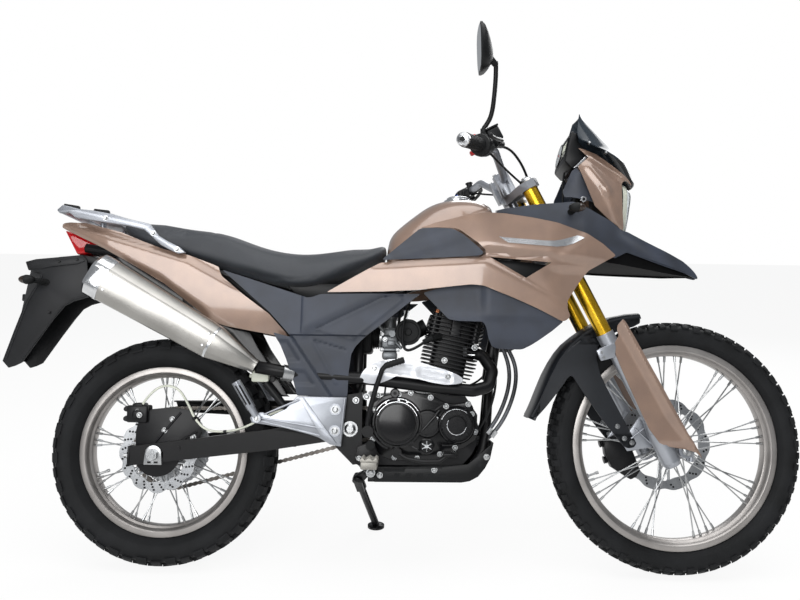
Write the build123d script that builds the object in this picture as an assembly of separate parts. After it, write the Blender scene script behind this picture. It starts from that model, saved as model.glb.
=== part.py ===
"""Dual sport motorcycle, parked on its side stand, as separate sub-parts.

Everything is drawn upright in the bike's own frame (millimetres, +X forwards, +Y to the rider's left,
+Z up, origin on the ground midway between the axles) and is leaned onto the side stand as it is written.
Steering parts are drawn in the steering frame: u forwards, v left, w up along the steering axis.
"""
from build123d import *
import math
import os

# ---- driving dimensions -------------------------------------------------------------------------
wheelbase = 1410.0
lean_deg = 12.0              # lean to the left on the side stand
rake_deg = 27.0
seat_gap = 0.3               # running gap left where one piece is seated on another
bore_gap = 0.05              # radial clearance of a hub on its axle

front_x = wheelbase / 2
rear_x = -wheelbase / 2

# tyres: outer radius over the lugs, half width, rim bead radius
front_tyre_r = 346.0
front_tyre_half = 46.0
front_bead_r = 267.0
rear_tyre_r = 312.0
rear_tyre_half = 58.0
rear_bead_r = 218.5
front_lugs, rear_lugs = 58, 40   # lugs in each shoulder row
lug_depth = 8.0
front_rim_half = 29.0
rear_rim_half = 34.0
rim_flange_h = 14.0          # flange above the bead seat
rim_well_depth = 15.0        # well below the bead seat
rim_wall = 3.5
spoke_r = 2.0
spoke_count = 36
axle_r = 8.5

# steering head
head_x, head_z = 262.0, 1029.0   # where the steering axis crosses the top clamp
steering_lock_deg = 40.0         # each way
fork_offset = 36.0               # fork tubes ahead of the steering axis
fork_half = 100.0                # fork tubes left and right of the centre
fork_tube_r = 22.0
fork_leg_r = 17.0
lower_clamp_w = -185.0
clamp_thick = 28.0
tube_end_w = -475.0
leg_end_w = -845.0

# frame
spar_r, rail_r, cradle_r = 16.0, 12.5, 13.0
spar_half, rail_half, cradle_half = 45.0, 80.0, 92.0
pivot_x, pivot_z = -184.0, 389.0
arm_inner, arm_outer = 86.0, 114.0
pivot_plate_y = 118.0
pivot_plate_t = 8.0
bracket_y = 140.0
bracket_t = 9.0

# engine
case_half = 100.0
case_bottom = 294.0
output_x, output_z = -105.0, 398.0
chain_y = 69.0
chain_half = 7.5
chain_half_h = 7.0
chain_pitch = 15.875
rear_teeth, front_teeth = 45, 15
cylinder_tilt = 11.0

steer_up = Vector(-math.sin(math.radians(rake_deg)), 0, math.cos(math.radians(rake_deg)))
steer_fwd = Vector(math.cos(math.radians(rake_deg)), 0, math.sin(math.radians(rake_deg)))
steering_frame = Location(Plane(origin=(head_x, 0, head_z), x_dir=steer_fwd, z_dir=steer_up))
# the front axle in the steering frame
axle_delta = Vector(front_x - head_x, 0, front_tyre_r - head_z)
axle_u = axle_delta.dot(steer_fwd)
axle_w = axle_delta.dot(steer_up)


# ---- small helpers ------------------------------------------------------------------------------
def rod(start, end, radius):
    """Round bar between two points."""
    along = Vector(*end) - Vector(*start)
    return Solid.make_cylinder(radius, along.length, Plane(origin=start, z_dir=along))


def wire(start, end, radius):
    """Thin six-sided bar between two points."""
    along = Vector(*end) - Vector(*start)
    section = Plane(origin=start, z_dir=along) * RegularPolygon(radius, 6)
    return Solid.extrude(section.faces()[0], along)


def across(x, z, y0, y1, radius):
    """Round bar along Y."""
    return rod((x, y0, z), (x, y1, z), radius)


def tube(points, radius, bend):
    """Round tube along straight runs joined by tangent arcs."""
    path = FilletPolyline(*points, radius=bend)
    return sweep(Plane(origin=path @ 0, z_dir=path % 0) * Circle(radius), path=path)


def plate(points, y0, y1):
    """Side-view outline of (x, z) points extruded from y0 to y1."""
    outline = Wire.make_polygon([(x, y0, z) for x, z in points], close=True)
    return Solid.extrude(Face(outline), Vector(0, y1 - y0, 0))


def block(x0, x1, y0, y1, z0, z1):
    return Pos((x0 + x1) / 2, (y0 + y1) / 2, (z0 + z1) / 2) * Box(x1 - x0, y1 - y0, z1 - z0)


def loft_sections(sections):
    """Ruled loft through closed sections with the same number of corners."""
    return Solid.make_loft([Wire.make_polygon(s, close=True) for s in sections], ruled=True)


def skin_y(stations, x, z):
    """Distance from the centre plane to a panel's outer face at (x, z)."""
    ordered = sorted(stations)
    for a, b in zip(ordered, ordered[1:]):
        if a[0] <= x <= b[0]:
            t = (x - a[0]) / (b[0] - a[0])
            z_low, z_mid, z_high, y_low, y_mid, y_high = [p + (q - p) * t for p, q in zip(a[1:], b[1:])]
            if z < z_mid:
                return y_low + (y_mid - y_low) * (z - z_low) / (z_mid - z_low)
            return y_mid + (y_high - y_mid) * (z - z_mid) / (z_high - z_mid)
    raise ValueError("x lies outside the stations")


def boss(stations, x, z, inner_y, radius=8.0):
    """Mounting boss from a panel's wall inwards to inner_y."""
    return across(x, z, -skin_y(stations, x, z) + 2, -inner_y, radius)


def both(shape):
    """A piece and its mirror image on the other side."""
    return [shape, shape.mirror(Plane.XZ)]


def turned(points, x, z, arc=360, start=0):
    """Revolve of a (y, r) outline about the Y line through (x, z)."""
    outline = Wire.make_polygon([(x, y, z + r) for y, r in points], close=True)
    axis = Axis((x, 0, z), (0, 1, 0))
    shape = revolve(Face(outline), axis, arc)
    return shape.rotate(axis, start) if start else shape


def fused(pieces):
    whole = pieces[0]
    return whole.fuse(*pieces[1:]) if len(pieces) > 1 else whole


def panel(outline, stations, thick, holes=()):
    """Right-hand moulded panel: a side-view outline cut from a skin.

    stations are (x, z_low, z_mid, z_high, y_low, y_mid, y_high) of its outer face; thick is its wall.
    """
    sections = []
    for x, z_low, z_mid, z_high, y_low, y_mid, y_high in stations:
        outer = [(x, -y_low, z_low), (x, -y_mid, z_mid), (x, -y_high, z_high)]
        inner = [(px, py + thick, pz) for px, py, pz in reversed(outer)]
        sections.append(outer + inner)
    shape = loft_sections(sections) & plate(outline, -400, 0)
    shape = shape.cut(*[plate(hole, -400, 0) for hole in holes]) if holes else shape
    return shape.solids()[0]


def hull_section(x, half_low, half_mid, half_top, z_low, z_mid, z_shoulder, z_top):
    """Section across the bike: flat bottom, sides and a crowned top."""
    right = [(half_low, z_low), (half_mid, z_mid), (half_top, z_shoulder), (half_top * 0.5, z_top)]
    return [(x, -y, z) for y, z in right] + [(x, y, z) for y, z in reversed(right)]


# ---- wheels -------------------------------------------------------------------------------------
def lug_ring(x, z, edges, lugs, turn):
    """One row of shoulder lugs as a toothed ring; edges are (y, root radius, tip radius), inner and outer."""
    sections = []
    for y, root_r, tip_r in edges:
        ring = []
        for i in range(lugs):
            for share, r in ((-0.31, root_r), (-0.31, tip_r), (0.31, tip_r), (0.31, root_r)):
                ring.append(polar(x, z, r, 360 / lugs * (i + share) + turn, y))
        sections.append(ring)
    core = across(x, z, -200, 200, min(root_r for y, root_r, tip_r in edges) - 6)
    return loft_sections(sections).cut(core)


def tyre(x, radius, half, bead_r, rim_half, lugs):
    """Dual sport tyre, seated between the rim flanges: a rib down the middle and a row of lugs each side."""
    bead_half = rim_half - rim_wall - seat_gap
    depth = radius - bead_r
    inner_tip = radius - depth * 0.025
    outer_tip = radius - depth * 0.13
    under_lugs = lug_depth + 1.2
    profile = [
        (bead_half, bead_r + seat_gap),
        (bead_half, bead_r + rim_flange_h + 1),
        (half, bead_r + depth * 0.6),
        (half * 0.87, outer_tip - under_lugs),
        (half * 0.4, inner_tip - under_lugs),
        (half * 0.28, radius - 0.5),
    ]
    carcass = turned(profile + [(-y, r) for y, r in reversed(profile)], x, radius)
    rows = []
    for s in (-1, 1):
        edges = [(s * half * 0.44, inner_tip - lug_depth, inner_tip),
                 (s * half * 0.87, outer_tip - lug_depth, outer_tip)]
        rows.append(lug_ring(x, radius, edges, lugs, s * 90 / lugs))
    return fused([carcass] + rows)


def rim(x, z, bead_r, rim_half):
    """Spoked-wheel rim: two flanges, bead seats and a shallow well."""
    flange_r = bead_r + rim_flange_h
    well_r = bead_r - rim_well_depth
    outer = [(rim_half, flange_r), (rim_half - rim_wall, flange_r), (rim_half - rim_wall, bead_r),
             (rim_half * 0.55, bead_r - 2), (rim_half * 0.4, well_r + rim_wall)]
    inner = [(rim_half * 0.5, well_r), (rim_half - 5, bead_r - 6), (rim_half, bead_r - 2)]
    upper = outer + [(-y, r) for y, r in reversed(outer)]
    return turned(upper + [(-y, r) for y, r in reversed(inner)] + inner, x, z)


def hub_and_spokes(x, z, bead_r, flange_y, flange_r, barrel_r, end_y):
    """Hub with two drilled flanges and crossed wire spokes that end at the rim well."""
    bore = axle_r + bore_gap
    flange_t = 7.0
    half = [(end_y, bore), (end_y, 17), (flange_y + flange_t, 20), (flange_y + flange_t, flange_r),
            (flange_y, flange_r), (flange_y, barrel_r)]
    hub = turned(half + [(-y, r) for y, r in reversed(half)], x, z)
    rim_r = bead_r - rim_well_depth - 1.0
    spokes = []
    per_side = spoke_count // 2
    for side in (-1, 1):
        for i in range(per_side):
            hole = 360.0 / per_side * (i + 0.5 * side * 0.5)
            lean = 52.0 if i % 2 else -52.0
            nipple = hole + lean * 0.62
            y_hub = side * (flange_y + (flange_t + 1.5 if i % 2 else 1.0))
            start = polar(x, z, flange_r - 5, hole, y_hub)
            end = polar(x, z, rim_r, nipple, side * 5.0)
            spokes.append(wire(start, end, spoke_r))
    return fused([hub] + spokes)


def polar(x, z, radius, angle, y):
    a = math.radians(angle)
    return (x + radius * math.cos(a), y, z + radius * math.sin(a))


def wave_disc(x, z, y, radius, inner_r, thick, waves):
    """Brake disc with a wavy rim, on a plain carrier."""
    disc = across(x, z, y - thick / 2, y + thick / 2, radius)
    scallops = [across(*polar(x, z, radius + 16, 360 / waves * i, 0)[::2], y - thick, y + thick, 20)
                for i in range(waves)]
    slots = [across(*polar(x, z, (radius + inner_r) / 2 + 4, 360 / waves * (i + 0.5), 0)[::2],
                    y - thick, y + thick, 6) for i in range(waves)]
    return disc.cut(*scallops, *slots)


def front_wheel():
    z = front_tyre_r
    hub = hub_and_spokes(front_x, z, front_bead_r, 26, 34, 20, 52)
    disc = wave_disc(front_x, z, 60, 133, 60, 4, 10)
    seat = across(front_x, z, 52 + seat_gap, 62, 40)
    disc = disc.fuse(seat).cut(across(front_x, z, 0, 80, 17.5))
    return {"front_tyre": [tyre(front_x, front_tyre_r, front_tyre_half, front_bead_r, front_rim_half,
                                 front_lugs)],
            "front_rim": [rim(front_x, z, front_bead_r, front_rim_half)],
            "front_hub": [hub], "front_disc": [disc]}


def sprocket_radius(teeth):
    return chain_pitch / (2 * math.sin(math.pi / teeth))


def rear_sprocket():
    z = rear_tyre_r
    tip = sprocket_radius(rear_teeth) - 9.5
    disc = across(rear_x, z, chain_y - 3, chain_y + 3, tip)
    holes = [across(*polar(rear_x, z, 72, 60 * i, 0)[::2], chain_y - 5, chain_y + 5, 19) for i in range(6)]
    notches = [across(*polar(rear_x, z, tip + 2.5, 360 / rear_teeth * i, 0)[::2],
                      chain_y - 5, chain_y + 5, 4.6) for i in range(rear_teeth)]
    disc = disc.cut(*holes, *notches)
    return disc.fuse(across(rear_x, z, 60 + seat_gap, chain_y + 3, 46)).cut(
        across(rear_x, z, 0, 100, 17.5))


def rear_wheel():
    z = rear_tyre_r
    hub = hub_and_spokes(rear_x, z, rear_bead_r, 30, 42, 26, 60)
    disc = wave_disc(rear_x, z, -70, 108, 55, 4, 12)
    disc = disc.fuse(across(rear_x, z, -72, -60 - seat_gap, 62)).cut(across(rear_x, z, -90, 0, 17.5))
    return {"rear_tyre": [tyre(rear_x, rear_tyre_r, rear_tyre_half, rear_bead_r, rear_rim_half, rear_lugs)],
            "rear_rim": [rim(rear_x, z, rear_bead_r, rear_rim_half)],
            "rear_hub": [hub], "rear_disc": [disc], "rear_sprocket": [rear_sprocket()]}


# ---- frame and running gear ------------------------------------------------------------------------
head_tube_top, head_tube_bottom = -20.0, -165.0
head_tube_r, stem_r = 29.0, 12.5
spar_bend = (230.0, 866.0)
spar_end = (-150.0, 752.0)
rail_line = [(-303.6, 732.2), (-643.6, 829.2), (-930.0, 869.0)]   # seat rail in side view
strut_ends = [(-176.0, 500.0), (-560.0, 806.0)]
cross_r = 10.0
shock_top = (-200.0, 742.0)
fender_cross = (-915.0, 867.0)
stay_cross = (455.0, 1060.0)


def line_z(p, q, x):
    """Height at x of the straight line through two (x, z) points."""
    return p[1] + (q[1] - p[1]) * (x - p[0]) / (q[0] - p[0])


def rail_z(x):
    if x > rail_line[1][0]:
        return line_z(rail_line[0], rail_line[1], x)
    return line_z(rail_line[1], rail_line[2], x)


def spar_top(x):
    rise = (spar_bend[1] - spar_end[1]) / (spar_bend[0] - spar_end[0])
    return line_z(spar_bend, spar_end, x) + spar_r * math.hypot(1, rise)


def rail_top(x):
    slope = (rail_z(x - 1) - rail_z(x + 1)) / 2
    return rail_z(x) + rail_r * math.hypot(1, slope)


def on_steering(u, w, v=0.0):
    """Point of the steering frame in the bike's frame."""
    return (head_x + u * steer_fwd.X + w * steer_up.X, v, head_z + u * steer_fwd.Z + w * steer_up.Z)


# side stand: hinge point, foot and folded direction
stand_pivot = Vector(-175, 122, 226)
stand_foot_x, stand_foot_y = -125.0, 278.0
contact_drop = 2.7               # the tyres' shoulders touch this far below the upright ground line
lean = math.radians(lean_deg)
stand_foot_z = (stand_foot_y * math.sin(lean) - contact_drop) / math.cos(lean)
stand_leg = (Vector(stand_foot_x, stand_foot_y, stand_foot_z) - stand_pivot).normalized()
stand_folded = Vector(-0.975, 0.2, 0.1).normalized()
stand_axis = stand_leg.cross(stand_folded).normalized()
stand_fold_deg = math.degrees(math.acos(stand_leg.dot(stand_folded)))
stand_tab_t, stand_tab_r = 10.0, 16.0
stand_pin_r = 5.0
cradle_z = case_bottom - cradle_r - seat_gap


def fairing_stay(grow=0.0):
    """Stay ahead of the head tube, between the fork tubes, that carries lamp, screen and beak."""
    upright = [on_steering(22, -90), (415, 0, 965), (stay_cross[0], 0, stay_cross[1]), (470, 0, 1120)]
    pieces = [tube(upright, 11 + grow, 24), rod((425, 0, 990), (600 + grow, 0, 903 - grow / 2), 9 + grow),
              across(stay_cross[0], stay_cross[1], -80, 80, 8 + grow)]
    return fused(pieces)


def stand_lug():
    """Flat lug for the side stand, in the plane its leg swings in, on a post from the cradle."""
    away = (stand_leg + stand_folded).normalized() * -1
    base = stand_pivot - stand_axis * (stand_tab_t / 2)
    lug = Solid.make_cylinder(stand_tab_r, stand_tab_t, Plane(origin=base, z_dir=stand_axis))
    flat = Plane(origin=base, x_dir=away, z_dir=stand_axis)
    corners = [flat.from_local_coords((p, q, 0))
               for p, q in ((0, -stand_tab_r), (44, -10), (44, 10), (0, stand_tab_r))]
    arm = Solid.extrude(Face(Wire.make_polygon(corners, close=True)), stand_axis * stand_tab_t)
    post = rod(stand_pivot + away * 35, (-140, cradle_half, cradle_z), 9)
    return [lug, arm, post]


def frame():
    head = rod(on_steering(0, head_tube_bottom), on_steering(0, head_tube_top), head_tube_r)
    low = on_steering(0, -140)
    pieces = [head]
    for s in (-1, 1):
        spar = [(low[0] - 8, s * 14, low[2] + 6), (spar_bend[0], s * spar_half, spar_bend[1]),
                (spar_end[0], s * spar_half, spar_end[1])]
        pieces.append(tube(spar, spar_r, 60))
        rail = [(-145, s * spar_half, 756), (-185, s * rail_half, 744)]
        rail += [(x, s * rail_half, z) for x, z in rail_line]
        pieces.append(tube(rail, rail_r, 24))
        cradle = [(196, s * 12, 545), (186, s * 30, 400), (166, s * cradle_half, 326),
                  (134, s * cradle_half, cradle_z), (-134, s * cradle_half, cradle_z), (-168, s * 112, 318)]
        pieces.append(tube(cradle, cradle_r, 20))
        upright = [(-165, s * rail_half, 740), (-168, s * rail_half, 508), (-170, s * 112, 466)]
        pieces.append(tube(upright, cradle_r, 20))
        (xa, za), (xb, zb) = strut_ends
        pieces.append(rod((xa, s * rail_half, za), (xb, s * rail_half, zb), cross_r))
        pivot_outline = [(-262, 395), (-255, 470), (-154, 484), (-152, 335), (-142, 300), (-175, 296),
                         (-215, 335)]
        pieces.append(plate(pivot_outline, s * pivot_plate_y, s * (pivot_plate_y + pivot_plate_t)))
        pieces.append(across(pivot_x, pivot_z, s * (arm_outer + seat_gap), s * (pivot_plate_y + 1), 16))
    down = [on_steering(-14, -110), on_steering(-75, -150), (205, 0, 600), (194, 0, 520)]
    pieces.append(tube(down, 19, 60))
    for (x, z), half in ((shock_top, rail_half), (strut_ends[1], rail_half), (fender_cross, rail_half),
                         ((-170, 472), pivot_plate_y), ((-162, 314), pivot_plate_y)):
        pieces.append(across(x, z, -half, half, cross_r))
    pieces.append(fairing_stay())
    whole = fused(pieces + stand_lug())
    bore = rod(on_steering(0, head_tube_bottom - 5), on_steering(0, head_tube_top + 5), stem_r + 0.5)
    pin = rod(stand_pivot - stand_axis * 20, stand_pivot + stand_axis * 20, stand_pin_r + bore_gap)
    return whole.cut(bore, pin)


arm_knee = (-400.0, 383.0)       # bend in the top edge of the swingarm's arms
beam_x = rear_x + rear_tyre_r + 33.0     # cross beam, ahead of the tyre
shock_foot = (beam_x + 40, 392.0)


def swingarm():
    arm_h = 27.0
    arms = []
    for s in (-1, 1):
        outline = [(rear_x - 66, rear_tyre_r - 30), (rear_x - 66, rear_tyre_r + 20), arm_knee,
                   (pivot_x - 10, pivot_z + arm_h), (pivot_x + 16, pivot_z + 12),
                   (pivot_x + 16, pivot_z - 12), (pivot_x - 10, pivot_z - arm_h),
                   (arm_knee[0], arm_knee[1] - 55)]
        arm = plate(outline, s * arm_inner, s * arm_outer)
        slot = block(rear_x - 25, rear_x + 25, *sorted((s * 80, s * 120)),
                     rear_tyre_r - axle_r - bore_gap, rear_tyre_r + axle_r + bore_gap)
        arms.append(arm.cut(slot))
    beam = block(beam_x, beam_x + 28, -arm_inner - 2, arm_inner + 2, 336, 372)
    x, z = shock_foot
    tab = [(x - 25, z - 32), (x + 15, z - 32), (x + 15, z + 13), (x - 15, z + 13)]
    tabs = [plate(tab, y, y + 8) for y in (-30, 22)]
    pivot_tube = across(pivot_x, pivot_z, -arm_inner - 2, arm_inner + 2, 20)
    return fused(arms + [beam, pivot_tube] + tabs)


def rear_axle():
    y_end = arm_outer + 20
    bar = across(rear_x, rear_tyre_r, -y_end, y_end, axle_r)
    pieces = [bar]
    for s in (-1, 1):
        pieces.append(across(rear_x, rear_tyre_r, s * (arm_outer + seat_gap), s * y_end, 15))
        outline = [(rear_x - 24, rear_tyre_r - 24), (rear_x - 20, rear_tyre_r + 12),
                   (rear_x, rear_tyre_r + 24), (rear_x + 20, rear_tyre_r + 12),
                   (rear_x + 24, rear_tyre_r - 24)]
        pieces.append(plate(outline, s * (arm_outer + seat_gap), s * (arm_outer + 5)))
    pieces.append(across(rear_x, rear_tyre_r, -arm_inner + seat_gap, -72.5, 14))
    pieces.append(across(rear_x, rear_tyre_r, chain_y + 3.5, arm_inner - seat_gap, 14))
    return fused(pieces)


def chain():
    """Drive chain as one closed loop around both sprockets."""
    big = sprocket_radius(rear_teeth)
    small = sprocket_radius(front_teeth)

    def belt(grow, y0, y1):
        rb, rs = big + grow, small + grow
        ends = [across(rear_x, rear_tyre_r, y0, y1, rb), across(output_x, output_z, y0, y1, rs)]
        dx, dz = output_x - rear_x, output_z - rear_tyre_r
        base = math.atan2(dz, dx)
        spread = math.acos((rb - rs) / math.hypot(dx, dz))
        corners = [polar(cx, cz, r, math.degrees(base + sign * spread), 0)[::2]
                   for cx, cz, r, sign in ((rear_x, rear_tyre_r, rb, 1), (output_x, output_z, rs, 1),
                                           (output_x, output_z, rs, -1), (rear_x, rear_tyre_r, rb, -1))]
        return fused(ends + [plate(corners, y0, y1)])

    outer = belt(chain_half_h, chain_y - chain_half, chain_y + chain_half)
    return outer.cut(belt(-chain_half_h, chain_y - chain_half - 1, chain_y + chain_half + 1))


def chain_guard():
    rear_top = (rear_x, rear_tyre_r + sprocket_radius(rear_teeth) + chain_half_h)
    front_top = (output_x, output_z + sprocket_radius(front_teeth) + chain_half_h)

    def over_chain(points):
        return [(x, line_z(rear_top, front_top, x) + lift) for x, lift in points]

    guard_gap = 11.0
    front_end, rear_end = -215.0, rear_x - 7
    y0, y1 = chain_y + 13, chain_y + 16
    shape = plate(over_chain([(front_end, guard_gap + 4), (rear_end, guard_gap + 4), (rear_end, guard_gap),
                              (front_end, guard_gap)]), chain_y - 3, y1)
    side = plate(over_chain([(front_end, guard_gap + 4), (rear_end, guard_gap + 4), (rear_end + 12, -18),
                             (-420, -34), (-300, -24), (front_end, -5)]), y0, y1)
    arm_top = [line_z(arm_knee, (rear_x - 66, rear_tyre_r + 20), x) + seat_gap for x in (-440, -402)]
    foot = plate([(-440, arm_top[0]), (-402, arm_top[1]), (-402, 410), (-440, 410)], y0, arm_outer - 6)
    return shape.fuse(side, foot)


def shock_absorber():
    bottom, top = (shock_foot[0], 0, shock_foot[1]), (shock_top[0], 0, shock_top[1])
    along = (Vector(*top) - Vector(*bottom)).normalized()
    pieces = [rod(bottom, top, 13)]
    pieces.append(across(bottom[0], bottom[2], -22 + seat_gap, 22 - seat_gap, 15))
    pieces.append(across(top[0], top[2], -16, 16, 17))
    base = Vector(*bottom)
    for i in range(9):
        start = base + along * (58 + i * 24)
        pieces.append(rod(tuple(start), tuple(start + along * 12), 29))
    pieces.append(rod(tuple(base + along * 46), tuple(base + along * 272), 22))
    whole = fused(pieces)
    return whole.cut(across(top[0], top[2], -40, 40, cross_r + seat_gap))


def rear_brake():
    def at_axle(points):
        return [(rear_x + dx, rear_tyre_r + dz) for dx, dz in points]

    arm = plate(at_axle([(-16, -14), (-16, 16), (65, 113), (115, 93), (115, 18)]),
                -arm_inner + seat_gap, -arm_inner + 6)
    body = plate(at_axle([(45, 88), (65, 118), (109, 100), (121, 38), (99, 18)]), -arm_inner + 6, -54)
    disc_room = across(rear_x, rear_tyre_r, -74.5, -65.5, 113)
    window = across(rear_x, rear_tyre_r, -66, -50, 90)
    axle = across(rear_x, rear_tyre_r, -100, 0, 14 + bore_gap)
    return [arm.fuse(body).cut(disc_room, window, axle)]


# ---- engine and exhaust ----------------------------------------------------------------------------
def engine_case():
    outline = [(-125, case_bottom), (112, case_bottom), (140, 326), (152, 350), (154, 430), (122, 478),
               (-20, 486), (-125, 478)]
    case = plate(outline, -case_half, case_half)
    rear_room = block(-160, -50, 52, case_half + 1, 330, 490)
    sprocket = across(output_x, output_z, 40, chain_y + 4, 11)
    teeth = across(output_x, output_z, chain_y - 3, chain_y + 3, sprocket_radius(front_teeth) - 7.4)
    return case.cut(rear_room).fuse(sprocket, teeth)


def round_cover(x, z, radius, depth, side, dish=0.0):
    """Round engine cover on the case: bevelled rim and, with dish, a sunk centre."""
    y0 = case_half + seat_gap
    profile = [(y0, 0.0), (y0, radius), (y0 + depth * 0.6, radius), (y0 + depth, radius * 0.86)]
    if dish:
        profile += [(y0 + depth, radius * 0.5), (y0 + depth - dish, radius * 0.45), (y0 + depth - dish, 0.0)]
    else:
        profile += [(y0 + depth, 0.0)]
    return turned([(side * y, r) for y, r in profile], x, z)


def engine_covers():
    y0 = case_half + seat_gap
    base = plate([(-135, 420), (-110, 470), (-20, 474), (60, 462), (130, 452), (140, 390), (120, 340),
                  (60, 316), (-60, 310), (-125, 345)], -y0 - 14, -y0)
    right = fused([base, round_cover(-60, 407, 64, 36, -1, 3), round_cover(20, 405, 34, 26, -1),
                   round_cover(97, 403, 48, 34, -1, 5)])
    left = fused([round_cover(30, 400, 72, 34, 1, 4),
                  plate([(-48, 330), (-48, 462), (20, 474), (110, 460), (125, 380), (90, 320)], y0, y0 + 12)])
    return [right, left]


cylinder_base = Location((62, 0, 486), (0, cylinder_tilt, 0))


def cylinder():
    base = cylinder_base
    pieces = [Pos(0, 0, 122) * Box(110, 100, 240)]
    for i in range(9):
        depth = 150 if i > 1 else 120
        pieces.append(Pos(0, 0, 44 + i * 12) * Box(depth, 146, 4))
    pieces.append(Pos(0, 0, 182) * Box(156, 150, 44))
    pieces.append(Pos(0, 0, 222) * Box(120, 116, 44))
    shape = fused([base * p for p in pieces])
    shape = shape.cut(block(-200, 300, -200, 200, 300, 486 + seat_gap))
    return shape.cut(exhaust_pipe(seat_gap)).solids().sort_by(SortBy.VOLUME)[-1]


def carburettor():
    throat = rod((-160, 0, 640), (-28, 0, 628), 24)
    bowl = rod((-85, 0, 575), (-85, 0, 640), 30)
    top = rod((-88, 0, 640), (-84, 0, 692), 22)
    side = across(-85, 632, -48, 20, 16)
    airbox = block(-178, -132, -58, 58, 590, 700)
    manifold = rod((-50, 0, 636), (24, 0, 676), 19)
    head_room = cylinder_base * (Pos(0, 0, 182) * Box(156 + 2 * seat_gap, 150, 44 + 2 * seat_gap))
    barrel_room = cylinder_base * (Pos(0, 0, 100) * Box(156 + 2 * seat_gap, 150, 160))
    whole = fused([throat, bowl, top, side, airbox, manifold]).cut(head_room, barrel_room)
    return whole.solids().sort_by(SortBy.VOLUME)[-1]


pipe_r = 16.5
pipe_route = [(138, -42, 600), (172, -58, 588), (196, -84, 548), (182, -112, 505), (140, -122, 494),
              (30, -122, 502), (-135, -122, 521), (-330, -122, 530), (-432, -156, 548)]


def exhaust_pipe(grow=0.0):
    return tube(pipe_route, pipe_r + grow, [22, 26, 26, 24, 60, 80, 80])


def pipe_shield():
    outline = [(-160, 520), (-119, 563), (-42, 575), (29, 558), (95, 538), (114, 521), (64, 510), (-55, 534),
               (-80, 522)]
    skin = plate(outline, -145, -142)
    bosses = [across(x, z, -142, -125, 6) for x, z in ((-118, 530), (52, 514))]
    return fused([skin] + bosses).cut(exhaust_pipe(seat_gap))


silencer_front = (-432.0, -156.0, 548.0)
silencer_rear = (-868.0, -172.0, 790.0)


def silencer():
    a, b = Vector(*silencer_front), Vector(*silencer_rear)
    along = (b - a).normalized()
    side = Vector(0, 1, 0)
    side = (side - along * side.dot(along)).normalized()
    up = side.cross(along)
    up = up if up.Z > 0 else up * -1
    length = (b - a).length
    # distance along, half width, half height
    stations = [(0, 17.5, 17.5), (110, 36, 38), (190, 44, 48), (length - 22, 49, 58), (length, 38, 46)]
    sections = []
    for s, half_w, half_h in stations:
        mid = a + along * s
        ring = [(half_w, 0), (half_w * 0.6, half_h), (-half_w * 0.6, half_h), (-half_w, 0),
                (-half_w * 0.6, -half_h), (half_w * 0.6, -half_h)]
        sections.append([tuple(mid + side * p + up * q) for p, q in ring])
    body = loft_sections(sections)
    outlet = rod(b - along * 2, b + along * 14, 14)
    hanger = plate([(-655, 838), (-625, 838), (-618, 688), (-650, 688)], -107, -101)
    lugs = [across(-640, rail_z(-640), -rail_half - rail_r - seat_gap, -107, 9),
            across(-634, 702, -140, -101, 9)]
    return fused([body, outlet, hanger] + lugs).cut(exhaust_pipe(seat_gap))


def skid_plate():
    inner_y = cradle_half + cradle_r + seat_gap
    under = cradle_z - cradle_r - seat_gap
    outline = [(-136, under), (-136, under - 14), (112, under - 12), (156, 266), (188, 312), (198, 358),
               (190, 360), (180, 317), (149, 273), (136, under)]
    floor = plate(outline, -inner_y, inner_y)
    walls = [plate([(-118, 290), (-118, under - 14), (112, under - 12), (156, 266), (188, 312), (198, 358),
                    (176, 340), (128, 300)], s * inner_y, s * (inner_y + 4)) for s in (-1, 1)]
    return fused([floor] + walls)


# ---- seat, tank and bodywork -------------------------------------------------------------------------
tank_rear_x = -100.0


def hull(stations):
    """Closed form through stations (x, half_low, half_mid, half_top, z_low, z_mid, z_shoulder, z_top)."""
    return loft_sections([hull_section(*s) for s in stations])


def tank_stations():
    return [
        (tank_rear_x, 62, 88, 62, spar_top(tank_rear_x) + seat_gap, 850, 895, 915),
        (-20, 72, 118, 84, spar_top(-20) + seat_gap, 880, 958, 984),
        (60, 76, 134, 96, spar_top(60) + seat_gap, 900, 1000, 1028),
        (150, 76, 134, 96, spar_top(150) + seat_gap, 905, 1006, 1032),
        (205, 60, 112, 76, spar_top(205) + seat_gap, 910, 982, 1003)]


def fuel_tank():
    cap = rod((105, 0, 1020), (105, 0, 1042), 34)
    return hull(tank_stations()).fuse(cap)


def seat():
    return hull([
        (tank_rear_x - seat_gap, 48, 70, 56, 858, 876, 898, 912),
        (-150, 70, 98, 78, 838, 860, 880, 893),
        (-215, 96, 124, 96, 800, 830, 862, 876),
        (-330, 112, 132, 104, rail_top(-330) + seat_gap, 790, 842, 859),
        (-410, 112, 130, 104, rail_top(-410) + seat_gap, 808, 850, 867),
        (-480, 104, 120, 100, rail_top(-480) + seat_gap, 826, 872, 890),
        (-560, 100, 110, 98, rail_top(-560) + seat_gap, 852, 902, 919),
        (-640, 96, 106, 94, rail_top(-640) + seat_gap, 872, 910, 926),
        (-750, 84, 94, 80, 890, 906, 930, 946),
        (-849, 44, 52, 44, 930, 940, 952, 962)])


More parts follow.
